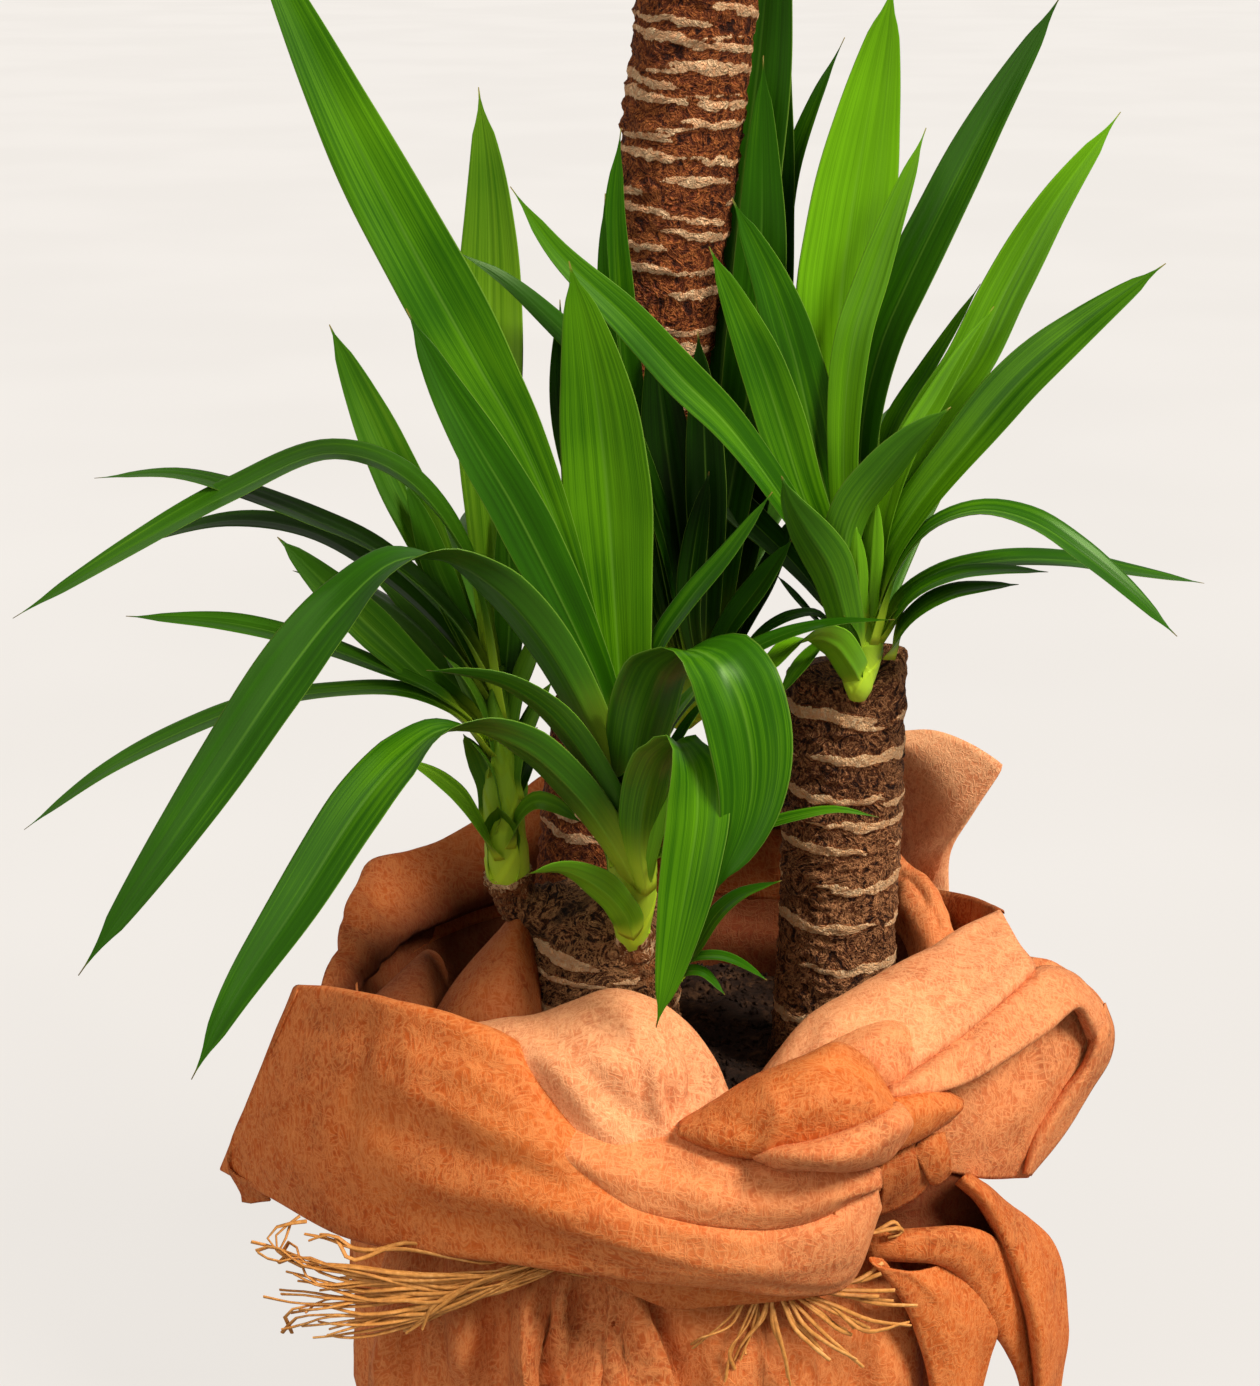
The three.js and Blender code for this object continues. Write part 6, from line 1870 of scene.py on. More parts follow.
def smooth_grid(rows: Sequence[np.ndarray], across: int, down: int) -> np.ndarray:
    """Lay a smooth surface through rows of control points.

    Args:
        rows: the control rows, each the same number of places.
        across: points along a row.
        down: rows in the finished grid.

    Returns:
        The grid.
    """
    lines = np.array([spline(row, across)[0] for row in rows])
    return np.stack([spline(lines[:, j], down)[0] for j in range(across)], axis=1)


def face_normals(grid: np.ndarray, closed: bool = False) -> np.ndarray:
    """Return the outward normal at each grid point (columns anticlockwise, rows up).

    Args:
        grid: the points.
        closed: whether the last column joins the first.

    Returns:
        The unit normals.
    """
    if closed:
        along = np.roll(grid, -1, axis=1) - np.roll(grid, 1, axis=1)
    else:
        along = np.gradient(grid, axis=1)
    return unit(np.cross(along, np.gradient(grid, axis=0)))


# Share of each fold's own number of points that is built, which keeps the wrap light enough to export whole
MESH_SHARE = 0.57
BODY_COLUMNS = 196
WALL_COLUMNS = 96
WALL_ROWS = 34


@dataclass
class Fold:
    """One fold of the wrap: a panel between two edges, with soft wrinkles and edges that curl under.

    Bulge, rolls and wrinkles are in millimetres, shade and pale go from 0 to 1, and pale fades in from the
    fold's left end, where it starts at the value of fade. Shade is painted shade and pale is painted light in
    the cloth's colour.
    """

    rows: list
    across: int
    down: int
    wrinkle: float
    run: tuple
    seed: int
    bulge: float = 0.0
    curl_top: float | tuple = 0.0
    curl_bottom: float = 0.0
    tail_top: float = 0.0
    tail_bottom: float = 0.0
    shade: float = 0.0
    pale: float = 0.0
    fade: float = 1.0
    creases: tuple = ()

    def control(self) -> list[np.ndarray]:
        """Return the control rows in metres, the bulge included.

        Returns:
            The rows, first edge first.
        """
        if len(self.rows) > 2:
            return [at(row) for row in self.rows]
        top, bottom = at(self.rows[0]), at(self.rows[1])
        made = []
        for f in (0, 0.25, 0.5, 0.75, 1):
            row = top + (bottom - top) * f
            row[:, 1] -= self.bulge * MM * math.sin(math.pi * f)
            made.append(row)
        return made

    def curled(self, grid: np.ndarray, radius: float | tuple, tail: float) -> np.ndarray:
        """Return rows that continue the grid's last row round a roll and back inside.

        Args:
            grid: the panel, its last row the edge.
            radius: of the roll, in millimetres, or several that are spread along the edge.
            tail: how far the cloth runs on behind, in metres.

        Returns:
            The extra rows.
        """
        edge = grid[-1]
        sizes = np.atleast_1d(radius)
        roll = np.interp(np.linspace(0, 1, len(edge)), np.linspace(0, 1, len(sizes)), sizes)[:, None] * MM
        away = unit(edge - grid[-3])
        out = unit(np.cross(unit(np.gradient(edge, axis=0)), away))
        out = -out if out[:, 1].mean() > 0 else out
        extra = []
        for step in np.linspace(0.16, 1, 6):
            turn = step * math.pi * 0.94
            extra.append(edge + roll * (away * math.sin(turn) - out * (1 - math.cos(turn))))
        last = extra[-1]
        for step in (0.4, 1.0):
            extra.append(last - (away + out * 0.12) * tail * step)
        return np.array(extra)

    def grid(self) -> np.ndarray:
        """Return the panel's grid.

        Returns:
            The grid in metres, rolled edges included.
        """
        across, down = round(self.across * MESH_SHARE), round(self.down * MESH_SHARE)
        grid = smooth_grid(self.control(), across, down)
        u, v = np.linspace(0, 1, across)[None, :], column(0, 1, down)
        normals = face_normals(grid)
        p = pair(u * self.run[0] + self.seed * 7.7, v * self.run[1])
        crease = 1 - np.abs(noise(p, self.seed))
        lumps = (0.8 * noise(p * 0.5, self.seed + 3) + 0.45 * noise(p * 1.9 + 5, self.seed + 4)
                 + 0.9 * (crease - 0.6))
        room = np.clip(np.minimum(v, 1 - v) * 7, 0.12, 1) * np.clip(np.minimum(u, 1 - u) * 9, 0.2, 1)
        outward = np.where((normals @ VIEW_FORWARD).mean() > 0, -1.0, 1.0)
        lines = outward * pressed(grid, self.creases) * np.clip(room * 1.4, 0, 1)
        moved = lumps * room * self.wrinkle + lines
        grid = grid + normals * (moved * MM)[..., None]
        parts = [grid]
        if self.curl_bottom:
            parts.append(self.curled(grid, self.curl_bottom, self.tail_bottom * MM))
        if self.curl_top:
            parts.insert(0, self.curled(grid[::-1], self.curl_top, self.tail_top * MM)[::-1])
        return np.concatenate(parts)


@dataclass(frozen=True)
class FibreCloth:
    """Terracotta non-woven cloth: long tangled fibres, mottled darker where it is thick."""

    dark: str = "6a2406"
    mid: str = "ac440a"
    light: str = "cc6422"
    fibre: str = "ec9c58"
    # The next two colours are painted light, for the fibres and the cloth of folds that face the lamp; shaded
    # is painted shade.
    painted_lit_fibre: str = "ffc48c"
    painted_sunlit: str = "f9b884"
    shaded: str = "431705"

    def make(self) -> bpy.types.Material:
        """Build the material.

        Returns:
            The material.
        """
        m = Shader("fibre_cloth")
        curly = m.cloud(235, 3, 0.6, 2.4)
        tangle = m.cloud(120, 3, 0.55, 3.2)
        threads = m.cloud(1.0, 2, 0.5, 1.8, m.stretched((64, 205, 140)))
        cross = m.cloud(1.0, 2, 0.5, 1.8, m.stretched((218, 77, 64)))
        cloudy = m.cloud(19, 4, 0.55, 1.2)
        large = m.cloud(8, 2)
        long = (threads.ridge() ** 9).most(cross.ridge() ** 9)
        short = (curly.ridge() ** 4).most(tangle.ridge() ** 5)
        tone = 0.5 + (cloudy - 0.5) * 1.25 + (large - 0.5) * 0.7 + (curly - 0.5) * 0.5 + (tangle - 0.5) * 0.3
        colour = m.ramp(tone.clamp(), (0.12, self.dark), (0.45, self.mid),
                        (0.82, self.light))
        # Painted light: the pale field lightens the folds that face the lamp in patches, and lightens their
        # fibres below.
        patchy = (0.85 + (cloudy - 0.5) * 1.8 + (curly - 0.5) * 1.2).clamp()
        sun = m.field("pale") * patchy * (1 - short * 0.5)
        colour = m.mix(sun, colour, self.painted_sunlit)
        colour = m.mix((1 - curly.ridge() ** 2) * (1 - tangle.ridge()) * 0.3, colour, self.mid)
        colour = m.mix(short * 0.34, colour, self.light)
        thread = m.mix(m.field("pale"), self.fibre, self.painted_lit_fibre)
        colour = m.mix(long * 0.5, colour, thread)
        colour = m.mix(m.field("shade"), colour, self.shaded)
        height = short * 0.5 + long * 0.6 + curly * 0.4
        return m.finish(colour, 0.82 - long * 0.12, m.bump(height, 0.0005, 0.6), Specular_IOR_Level=0.2)


@dataclass
class Wrap:
    """The fibre wrap: a pleated skirt tied at the waist, its top turned out, folded over and knotted."""

    thick: float = 1.0 * MM
    waist_z: float = 161.0
    flat: tuple = (0.75, 0.75)

    def skirt(self) -> np.ndarray:
        """Return the body, closed round: underside, pleated skirt, waist and the wall up to the rim.

        Returns:
            The grid, from the underside up.
        """
        fine, _ = spline(np.array(BODY_PROFILE, float), 46)
        angle = angles(BODY_COLUMNS)
        angle = angle - 0.4 * np.cos(angle)
        r, z, deep = (fine[:, c][:, None] for c in range(3))
        fold = np.zeros((len(fine), BODY_COLUMNS))
        narrow = 0.62 + 0.5 * smooth(0, 1, (self.waist_z - z) / 90)
        for k, (azimuth, depth, width) in enumerate(PLEATS):
            drift = math.radians(4) * np.sin(z / 40 + k * 1.7)
            x = turned_from(drift, angle - math.radians(azimuth)) / math.radians(width) / narrow
            fold -= depth * 0.95 * np.exp(-np.abs(x) ** 1.4) * (1 + 0.6 * np.tanh(x * 3.5))
            fold += depth * 0.42 * np.exp(-((x - 1.2) / 0.6) ** 2)
        ripple = 1.6 * noise(pair(angle * 26, z * 0.02), 8) * smooth(60, 8, np.abs(z - self.waist_z))
        side = 9 * np.clip(np.cos(angle), 0, 1) ** 2 * smooth(20, 60, z) * (1 - smooth(110, 155, z))
        ring = cylinder(3, angle, z * 0.03)
        soft = 2.2 * noise(ring, 5) * deep + 1.2 * noise(ring * 2.3, 6) * deep
        radius = r + deep * fold + deep * ripple + side + soft
        front = smooth(0.15, 0.7, -np.sin(angle)) * smooth(185, 250, z)
        radius, z = radius - 9 * front, z - 30 * front
        grid = cylinder(radius, angle, z) * MM
        shown = smooth(0.1, 0.5, -np.sin(angle)) * smooth(164, 148, z) * smooth(3, 14, z)
        return grid + face_normals(grid, True) * (pressed(grid, SKIRT_CREASES) * shown * MM)[..., None]

    def back_wall(self) -> np.ndarray:
        """Return the wall round the back, up to the fold line and over to the lip.

        Returns:
            The grid, from the foot up and over.
        """
        fold, lip = at(BACK_FOLD), at(BACK_LIP)
        count = len(fold)
        angle = np.radians(202 - 172 * np.arange(count) / (count - 1))
        inward = np.sin(np.linspace(0, math.pi, count)) ** 0.5
        foot = cylinder(139 - 9 * inward, angle, 232 - 6 * inward) * MM
        mid = fold + (foot - fold) * 0.45
        mid[:, 0] *= 1.04
        mid[:, 1] = mid[:, 1] * 1.03 + 0.002
        down = lip + (foot * [0.93, 0.93, 1.0] - lip) * 0.35
        grid = smooth_grid([foot, mid, fold, lip, down], WALL_COLUMNS, WALL_ROWS)
        u, v = np.linspace(0, 1, WALL_COLUMNS)[None, :], column(0, 1, WALL_ROWS)
        p = pair(u * 11, v * 2.2)
        waves = 2.6 * noise(p, 21) + 1.5 * noise(p * 2.1, 22) + 2.0 * (0.6 - np.abs(noise(p * [1.6, .7], 23)))
        return grid + face_normals(grid) * (waves * np.clip(v * 6, 0, 1) * MM)[..., None]

    def panels(self) -> list[Fold]:
        """Return every open fold.

        Returns:
            The folds.
        """
        return [
            Fold([BAND_TOP, BAND_BOTTOM], 180, 60, 1.5, (5, 4), 2, bulge=9,
                 curl_top=(2, 2, 2.4, 5, 11, 9, 3, 2.4, 2.4, 2.4), curl_bottom=3.4, tail_top=14,
                 tail_bottom=16, creases=BAND_CREASES, shade=0.08, pale=0.4, fade=-1.2),
            Fold([MID_TOP, MID_BOTTOM], 110, 30, 0.8, (4, 3), 3, bulge=7, curl_top=2.4, curl_bottom=2.6,
                 tail_top=8, tail_bottom=8, creases=MID_CREASES, pale=0.3),
            Fold([BAND_BACK_TOP, BAND_BACK_BOTTOM], 40, 18, .5, (2, 2), 5, shade=0.25),
            Fold([UNDER_TOP, UNDER_BOTTOM], 70, 18, .8, (6, 2), 6, curl_bottom=1.6, tail_bottom=8,
                 shade=0.2),
            Fold(HUMP, 130, 80, 1.1, (4, 5), 11, curl_bottom=2.2, tail_bottom=6, creases=HUMP_CREASES,
                 pale=0.8),
            Fold(KNOT_TOP, 110, 70, 0.9, (3, 4), 31, creases=KNOT_CREASES, shade=0.05),
            Fold(KNOT_LOBE, 100, 50, 0.8, (3, 3), 32, creases=LOBE_CREASES, pale=0.3),
            Fold(RIGHT_ROLL, 110, 70, 1.4, (3, 4), 12, creases=RIGHT_CREASES, pale=0.7),
            Fold(RIGHT_LAYER, 70, 44, 0.8, (3, 3), 33, curl_top=1.4, tail_top=5, creases=LAYER_CREASES,
                 pale=0.4),
            Fold(SECOND_ROLL, 90, 50, 1.0, (3, 3), 4, creases=SECOND_CREASES, pale=0.45),
            Fold(OUTER_FLAP, 90, 60, 1.5, (3, 4), 17, creases=OUTER_CREASES, pale=0.3),
            Fold(FLAP_RIM, 80, 24, .8, (4, 2), 36, pale=0.3),
            Fold(SMALL_ROLL, 50, 40, 0.8, (2, 3), 34),
            Fold(STRAP, 36, 30, .8, (3, 2), 7, shade=0.35),
            Fold(KNOT_FILL, 30, 24, .8, (3, 2), 40, shade=0.25),
            Fold(PLEAT, 30, 26, .6, (2, 2), 35, shade=0.15),
            Fold(TAIL_OUTER, 90, 50, 1.1, (6, 2), 8, creases=TAIL_CREASES, shade=0.08),
            Fold(TAIL_FOLD, 90, 40, 1.2, (4, 3), 13, creases=TAIL_FOLD_CREASES),
            Fold(CAVITY, 50, 30, 1.2, (3, 3), 18, shade=0.85),
            Fold([SKIRT_FOLD_LEFT, SKIRT_FOLD_RIGHT], 70, 30, 1.4, (3, 4), 19, bulge=5, curl_top=2.6,
                 curl_bottom=1.8, tail_top=6, tail_bottom=6, shade=0.05),
            Fold(INNER_FOLD, 60, 44, 1.3, (3, 2), 9, shade=0.68),
            Fold(TENT, 60, 44, 1.0, (3, 3), 16, shade=0.5),
            Fold(SHOULDER, 80, 60, 2.6, (4, 3), 15, creases=SHOULDER_CREASES, pale=0.2),
            Fold([RIGHT_BACK_TOP, RIGHT_BACK_BOTTOM], 40, 20, 1.2, (3, 3), 10, curl_top=1.5, shade=0.45),
            Fold([FLAP_OUTER, FLAP_INNER, FLAP_ROOT], 80, 36, 1.4, (4, 2), 14, pale=1.0),
        ]

    def lining(self) -> np.ndarray:
        """Return the cloth that runs over the pot's rim and down its inside.

        Returns:
            The grid, from the rim down.
        """
        fine, _ = spline(np.array(LINING_PROFILE, float), 14)
        angle = angles(120)
        r, z = fine[:, :1], fine[:, 1:]
        wave = 1.1 * noise(pair(angle * 9, z * 0.05), 41) * smooth(196, 212, z)
        front = smooth(0.15, 0.7, -np.sin(angle)) * smooth(207, 240, z)
        radius, z = r + wave + 0.4 - 8 * front, z - 24 * front
        return cylinder(radius, angle, z) * MM

    def build(self) -> None:
        patches = Patches()
        # The shade and pale fields are painted shade and painted light in the cloth's colour: the back wall
        # darkens where it turns over the lip, the lining inside the pot is dark, and each fold carries its
        # own amounts.
        patches.add(self.skirt(), closed=True, shade=0.08, pale=0.1)
        up = column(0, 1, WALL_ROWS)
        patches.add(self.back_wall(), shade=0.36 + 0.5 * smooth(0.68, 0.95, up), pale=0.0)
        for fold in self.panels():
            grid = fold.grid()
            lit = np.clip(np.linspace(fold.fade, 1, grid.shape[1]), 0, 1)
            patches.add(grid, shade=fold.shade, pale=fold.pale * lit)
        patches.add(self.lining()[::-1], closed=True, shade=0.8, pale=0.0)
        piece = patches.mesh("wrap_cloth")
        thickener = piece.modifiers.new("cloth", "SOLIDIFY")
        thickener.thickness, thickener.offset = self.thick, 0.0
        settle(piece, "fibre_wrap", FibreCloth().make())


@dataclass
class Studio:
    """Pale floor, soft lights and the camera at the photo's viewpoint."""

    floor_colour: str = "eee9e3"
    floor_reach: float = 60.0

    def camera(self) -> None:
        """Make the camera."""
        data = bpy.data.cameras.new("front_camera")
        data.sensor_fit, data.sensor_width = "AUTO", SENSOR
        data.lens = LENS_PIXELS / PHOTO_LONG_SIDE * SENSOR
        data.clip_end = 50
        camera = placed("front_camera", data)
        camera.location = VIEW_EYE * MM
        camera.rotation_mode = "QUATERNION"
        camera.rotation_quaternion = Vector(VIEW_FORWARD).to_track_quat("-Z", "Y")
        bpy.context.scene.camera = camera

    def sun(self, name: str, place: tuple, spread: float, strength: float, colour: tuple) -> None:
        """Make one distant soft light that looks at the plant.

        Args:
            name: the light's name.
            place: the direction it comes from.
            spread: how wide it looks, in degrees.
            strength: its strength.
            colour: its colour.
        """
        data = bpy.data.lights.new(name, "SUN")
        data.angle, data.energy, data.color = math.radians(spread), strength, colour
        light = placed(name, data)
        light.location = place
        light.rotation_mode = "QUATERNION"
        light.rotation_quaternion = (-Vector(place)).to_track_quat("-Z", "Y")

    def floor(self) -> None:
        """Make the floor."""
        mesh = bpy.data.meshes.new("floor")
        far = self.floor_reach
        mesh.from_pydata([(-far, -far, 0), (far, -far, 0), (far, far, 0), (-far, far, 0)], [], [(0, 1, 2, 3)])
        floor = placed("floor", mesh)
        m = Shader("floor_paper")
        glow = m.mix(m.cloud(1.5, 2).step(0.35, 0.65), self.floor_colour, "f1ece6")
        mesh.materials.append(m.finish("403e3c", 0.9, Emission_Color=glow, Emission_Strength=0.92,
                                       Specular_IOR_Level=0.1))
        floor.visible_diffuse = floor.visible_glossy = False

    def build(self) -> None:
        """Set up floor, lights, sky and camera."""
        self.camera()
        self.floor()
        self.sun("key", (1.15, -0.8, 1.5), spread=20, strength=4.6, colour=(1.0, 0.97, 0.93))
        self.sun("fill", (-1.0, -1.2, 0.9), spread=45, strength=1.1, colour=(1.0, 0.98, 0.96))
        world = bpy.data.worlds.new("studio")
        world.use_nodes = True
        sky = world.node_tree.nodes["Background"]
        sky.inputs["Color"].default_value = (*srgb("f6f1ec"), 1)
        sky.inputs["Strength"].default_value = 0.38
        bpy.context.scene.world = world
        bpy.context.scene.view_settings.view_transform = "Standard"


# Raffia ends seen in the photo, as [s, t, y] from root to tip
LEFT_RAFFIA = [
    [(-38, 114, -130), (-52, 108, -136), (-80, 100, -133), (-97, 88, -131), (-112, 77, -126)],
    [(-46, 112, -128), (-60, 106, -134), (-90, 95, -130), (-120, 99, -126), (-150, 96, -120)],
    [(-48, 111, -128), (-62, 105, -134), (-100, 99, -128), (-130, 103, -124), (-158, 107, -118),
     (-170, 115, -112), (-178, 113, -108)],
    [(-52, 110, -127), (-66, 104, -133), (-105, 103, -127), (-140, 107, -121), (-164, 110, -114),
     (-171, 117, -110), (-168, 122, -108), (-159, 129, -104)],
    [(-50, 111, -127), (-64, 105, -133), (-100, 96, -128), (-130, 91, -123), (-158, 90, -117),
     (-175, 93, -112)],
    [(-46, 109, -128), (-60, 103, -134), (-95, 90, -130), (-125, 85, -126), (-150, 85, -121),
     (-160, 84, -118), (-167, 77, -114)],
    [(-44, 108, -129), (-58, 102, -135), (-88, 90, -131), (-108, 83, -128), (-135, 77, -124),
     (-153, 75, -118)],
    [(-61, 114, -124), (-75, 108, -130), (-112, 114, -122), (-133, 114, -118), (-145, 118, -114),
     (-157, 121, -110)],
    [(-50, 110, -127), (-64, 104, -133), (-98, 93, -129), (-128, 95, -124), (-152, 101, -118),
     (-165, 104, -113)],
    [(-46, 109, -128), (-60, 103, -134), (-92, 97, -129), (-122, 90, -125), (-148, 88, -120),
     (-163, 86, -115)],
    [(-48, 110, -127), (-62, 104, -133), (-96, 100, -128), (-126, 98, -124), (-150, 104, -119),
     (-163, 112, -113), (-168, 108, -110)],
    [(-42, 108, -129), (-56, 102, -135), (-84, 92, -131), (-112, 86, -127), (-140, 82, -122),
     (-158, 80, -116)],
]
FRONT_RAFFIA = [
    [(44, 95, -138), (38, 82, -142), (31, 66, -143), (29, 54, -142)],
    [(40, 95, -138), (31, 84, -142), (22, 76, -143), (15, 70, -142)],
    [(44, 94, -138), (41, 78, -142), (36, 65, -143)],
    [(50, 94, -138), (50, 80, -142), (55, 68, -143), (58, 54, -141)],
    [(54, 94, -138), (60, 82, -141), (68, 74, -141), (72, 69, -140)],
    [(56, 94, -137), (66, 84, -140), (76, 74, -138), (90, 62, -134)],
    [(58, 95, -137), (70, 86, -139), (80, 78, -137), (85, 76, -134)],
    [(62, 95, -136), (76, 90, -137), (92, 83, -132), (111, 80, -124)],
    [(62, 96, -136), (80, 94, -136), (98, 90, -128), (114, 89, -122)],
    [(64, 97, -135), (84, 96, -134), (104, 96, -124)],
    [(60, 95, -136), (74, 88, -138), (93, 79, -130)],
    [(48, 94, -138), (46, 84, -142), (38, 74, -143), (33, 65, -142)],
    [(70, 98, -134), (86, 100, -130), (99, 108, -122)],
    [(84, 118, -124), (96, 122, -120), (104, 126, -116), (107, 121, -115), (101, 119, -116)],
    [(86, 130, -122), (98, 136, -118), (108, 139, -112)],
]


@dataclass(frozen=True)
class Straw:
    """Golden raffia with fine lengthwise fibres."""

    def make(self) -> bpy.types.Material:
        """Build the material.

        Returns:
            The material.
        """
        m = Shader("raffia_straw")
        fine = m.cloud(420, 3, 0.6)
        drift = m.cloud(28, 2)
        colour = m.ramp((fine * 0.45 + drift * 0.55).clamp(), (0.3, "8f561f"), (0.5, "bf7f38"),
                        (0.7, "e3a962"))
        return m.finish(colour, 0.62, m.bump(fine, 0.0003, 0.5), Specular_IOR_Level=0.35)


@dataclass
class Raffia:
    """The tie: strands wound round the waist and frayed ends at the left and the front."""

    ring_r: float = 0.1262
    ring_z: float = 0.161
    ring_strands: int = 9
    left_copies: int = 3
    front_copies: int = 2
    seed: int = 71

    def strands(self) -> list[np.ndarray]:
        """Return the middle line of every strand.

        Returns:
            The ring's strands, then the loose ends.
        """
        draw, lines = draws(self.seed), []
        angle = np.linspace(0, 2 * math.pi, 181)
        for k in range(self.ring_strands):
            r = self.ring_r + 0.0012 * (draw() - 0.5) + 0.0006 * np.sin(angle * 5 + 6 * draw())
            level = self.ring_z + 0.006 * (k / (self.ring_strands - 1) - 0.5)
            lines.append(cylinder(r, angle, level + 0.0012 * np.sin(angle * 3 + 6 * draw())))
        for table, copies in ((LEFT_RAFFIA, self.left_copies), (FRONT_RAFFIA, self.front_copies)):
            for row in table:
                for copy in range(copies):
                    points = at(row)
                    spread = column(0.2, 1, len(points))
                    jitter = np.array([[draw() - 0.5, (draw() - 0.5) * 1.2, draw() - 0.5] for _ in points])
                    points = points + jitter * 0.011 * spread * (copy > 0)
                    if copy:
                        points[-1] = points[-2] + (points[-1] - points[-2]) * (0.5 + 0.5 * draw())
                    lines.append(spline(points, 22)[0])
        return lines

    def build(self) -> None:
        """Build the piece and dress it."""
        lines = self.strands()
        mesh = bpy.data.meshes.new("raffia_lines")
        starts = np.cumsum([0] + [len(line) for line in lines])
        edges = [(a + i, a + i + 1) for a, line in zip(starts, lines) for i in range(len(line) - 1)]
        mesh.from_pydata(np.vstack(lines).tolist(), edges, [])
        width = mesh.attributes.new("girth", "FLOAT", "POINT")
        girth = np.concatenate([
            np.interp(np.linspace(0, 1, len(line)), (0, .5, .9, 1), (1, .95, .7, .3))
            * (1 if i >= self.ring_strands else 1.25) for i, line in enumerate(lines)])
        width.data.foreach_set("value", girth.astype(np.float32))
        base = placed("raffia_lines", mesh)
        piece = grown(base, strand_tree(Straw().make()), "raffia_strands",
                      {"Width": 0.00095, "Flatness": 0.55, "Wander": 0.0016, "Seed": self.seed})
        for polygon in piece.data.polygons:
            polygon.use_smooth = True
        settle(piece, "raffia_tie")


def strand_tree(material: bpy.types.Material) -> bpy.types.GeometryNodeTree:
    """Turn lines into flat twisted strands.

    Args:
        material: their finish.

    Returns:
        The tree.
    """
    tree = group_tree("strands", {"Width": ("NodeSocketFloat", 0.0013), "Flatness": ("NodeSocketFloat", 0.4),
                                  "Wander": ("NodeSocketFloat", 0.001), "Seed": ("NodeSocketInt", 1)})
    g = Grower(tree)
    place = g.node("GeometryNodeInputPosition", {}, {})
    rough = g.node("ShaderNodeTexNoise", {"noise_dimensions": "4D"}, {
        "Vector": place, "W": g.given("Seed"), "Scale": 55.0, "Detail": 2.0}, "Color")
    centred = g.node("ShaderNodeVectorMath", {"operation": "SUBTRACT"}, {0: rough, 1: (0.5, 0.5, 0.5)})
    drift = g.node("ShaderNodeVectorMath", {"operation": "SCALE"}, {0: centred, 3: g.given("Wander")})
    lines = g.node("GeometryNodeSetPosition", {}, {"Geometry": g.given("Geometry"), "Offset": drift})
    girth = g.node("GeometryNodeInputNamedAttribute", {"data_type": "FLOAT"}, {"Name": "girth"})
    curves = g.node("GeometryNodeMeshToCurve", {}, {"Mesh": lines})
    curves = g.node("GeometryNodeSetCurveRadius", {}, {"Curve": curves, "Radius": girth})
    along = g.node("GeometryNodeSplineParameter", {}, {}, "Length")
    twist = g.node("ShaderNodeMath", {"operation": "MULTIPLY"}, {0: along, 1: 34.0})
    curves = g.node("GeometryNodeSetCurveTilt", {}, {"Curve": curves, "Tilt": twist})
    profile = g.node("GeometryNodeCurvePrimitiveCircle", {}, {"Resolution": 7, "Radius": g.given("Width")})
    squeeze = g.node("ShaderNodeCombineXYZ", {}, {0: 1.0, 1: g.given("Flatness"), 2: 1.0})
    profile = g.node("GeometryNodeTransform", {}, {"Geometry": profile, "Scale": squeeze})
    strands = g.node("GeometryNodeCurveToMesh", {}, {
        "Curve": curves, "Profile Curve": profile, "Fill Caps": True})
    g.close(strands, material)
    return tree


def dress(piece: bpy.types.Object, material: bpy.types.Material) -> None:
    """Give a kept node its finish in every material slot.

    Args:
        piece: the node's object.
        material: the finish.
    """
    for slot in piece.material_slots:
        slot.material = material
    LOG.info("%s: dressed", piece.name)


def canes() -> list[Cane]:
    """Return the three canes.

    Returns:
        The tall, the medium and the short cane.
    """
    tall = Bark("tall_bark", "2c0f05", "763616", "bc6c34", "fcb680")
    medium = Bark("medium_bark", "220e06", "6e3e20", "c28656", "ffbe82", curl=1.2)
    short = Bark("short_bark", "1a0c05", "643a1e", "c08856", "fcbc80", curl=1.8, burn=0.8)
    return [
        Cane("tall_cane", foot=(-41.5, 28), top=(37.5, 28), top_z=862, r=25.5,
             scars=ringed(TALL_LEVELS, seed=11, thick=4.0, axis_y=28, r=25.5, span=46, crossed=True),
             seed=11, bark=tall, rows=400, around=150),
        Cane("medium_cane", foot=(81, 5), top=(83.4, 4), top_z=388, r=26.2,
             scars=ringed(MEDIUM_LEVELS, seed=23, thick=5.2, axis_y=4, r=26.2, span=76, crossed=False),
             seed=23, bark=medium, rough=1.2, rows=200, around=180, torn=((0, 34, 10), (205, 30, 4))),
        KnobbedCane("short_cane", foot=(-25, -40), top=(-25.4, -40), top_z=303, r=33,
                    scars=SHORT_SCARS + ringed(SHORT_LEVELS, seed=37, thick=4.5, axis_y=-40, r=33, span=70,
                                               crossed=False),
                    seed=37, bark=short, crown=0.9, rough=1.6, rows=160, around=200),
    ]


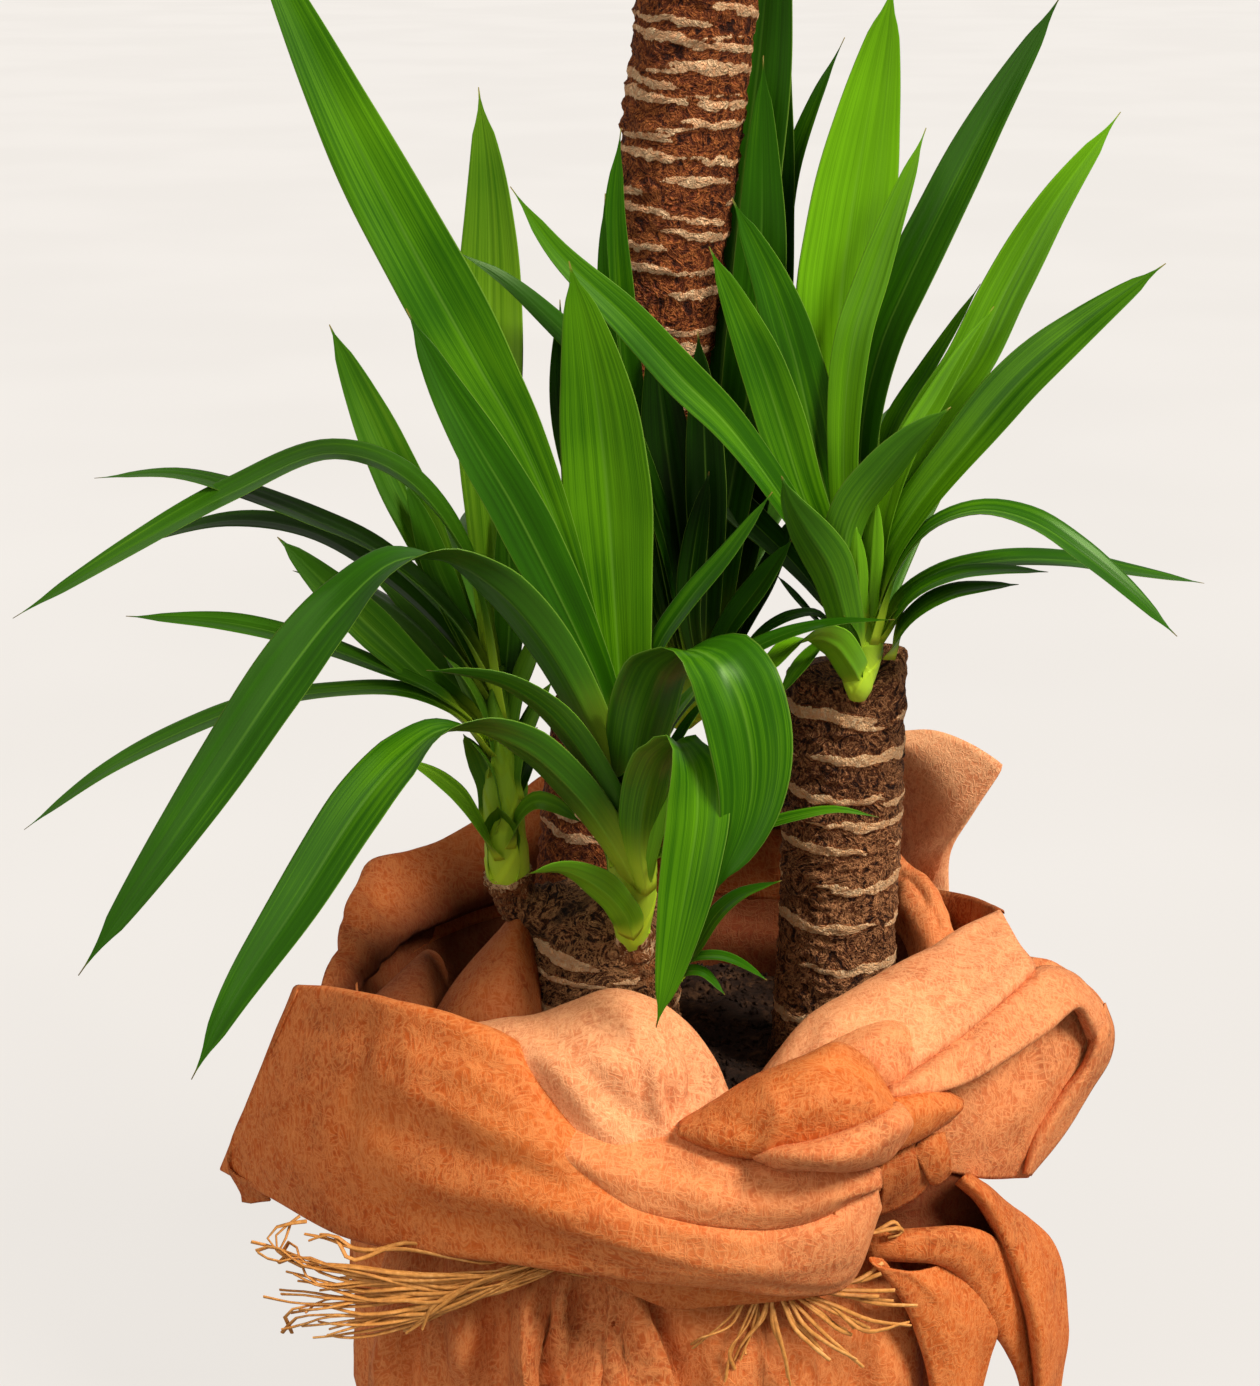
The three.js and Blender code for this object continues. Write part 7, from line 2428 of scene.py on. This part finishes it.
def shoots() -> list[Shoot]:
    """Return the five lower shoots.

    Returns:
        The left, front, right, middle and tiny shoot.
    """
    left = Bulb(((-65.5, 273, -43.5), (-67, 281, -45), (-68, 292, -46), (-70, 318, -46), (-71, 350, -44),
                 (-71, 372, -42)), (5, 8, 8.2, 7.6, 7.4, 4), sheaths=6, first_side=-100, seed=2)
    front = Bulb(((-11, 250, -66), (-12, 256, -70), (-12, 266, -72), (-12, 280, -73), (-13, 298, -72),
                  (-14, 322, -71), (-15, 344, -70)), (5.5, 6, 8, 10, 10.5, 8.5, 4), sheaths=6, first_side=-60,
                 seed=3)
    right = Bulb(((87.5, 357.5, -24), (88, 363, -24.5), (88.5, 371, -21.5), (89, 382, -19), (90, 398, -18),
                  (90, 414, -18)), (2, 4.8, 7.2, 9.6, 9, 4), sheaths=6, first_side=-120, seed=4)
    middle = Bulb(((8, 352, 20), (18, 364, 8), (20, 376, 4), (20, 392, 4)), (9, 11, 11, 5), sheaths=4,
                  first_side=-80, seed=5)
    tiny = Bulb(((2, 232, -44), (9, 236, -46), (12, 240, -50)), (3.4, 3, 1.6), sheaths=2, first_side=-80,
                seed=6)
    return [
        Shoot("left_shoot", LEFT_LEAVES, LEFT_TONES, left,
              LeafSkin("left_leaf", deep="0f2803", mid="305c08", bright="70991a"), back=Side.LEFT,
              back_centre=(-68, -42, 368), back_count=4, back_seed=5, number=1, clasps=6),
        Shoot("front_shoot", FRONT_LEAVES, FRONT_TONES, front, LeafSkin("front_leaf"), number=2, clasps=4),
        Shoot("right_shoot", RIGHT_LEAVES, RIGHT_TONES, right, LeafSkin("right_leaf"), back=Side.RIGHT,
              back_centre=(88, -8, 404), back_count=4, back_seed=8, number=3, clasps=3),
        Shoot("middle_shoot", MIDDLE_LEAVES, MIDDLE_TONES, middle, LeafSkin("middle_leaf"),
              back=Side.MIDDLE, back_centre=(22, 22, 392), back_count=3, back_length=175, back_seed=4,
              pale=0.4, number=4),
        Shoot("tiny_shoot", TINY_LEAVES, TINY_TONES, tiny, LeafSkin("tiny_leaf"), number=5),
    ]


def main() -> None:
    """Build the plant, piece by piece."""
    logging.basicConfig(level=logging.INFO, format="%(name)s %(message)s")
    Studio().build()
    Wrap().build()
    Raffia().build()
    Soil().build()
    dress(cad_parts["nursery_pot"], Plastic().make())
    for part in [*canes(), *shoots()]:
        part.build()
    TopShoot().build()


if __name__ == "__main__":
    main()
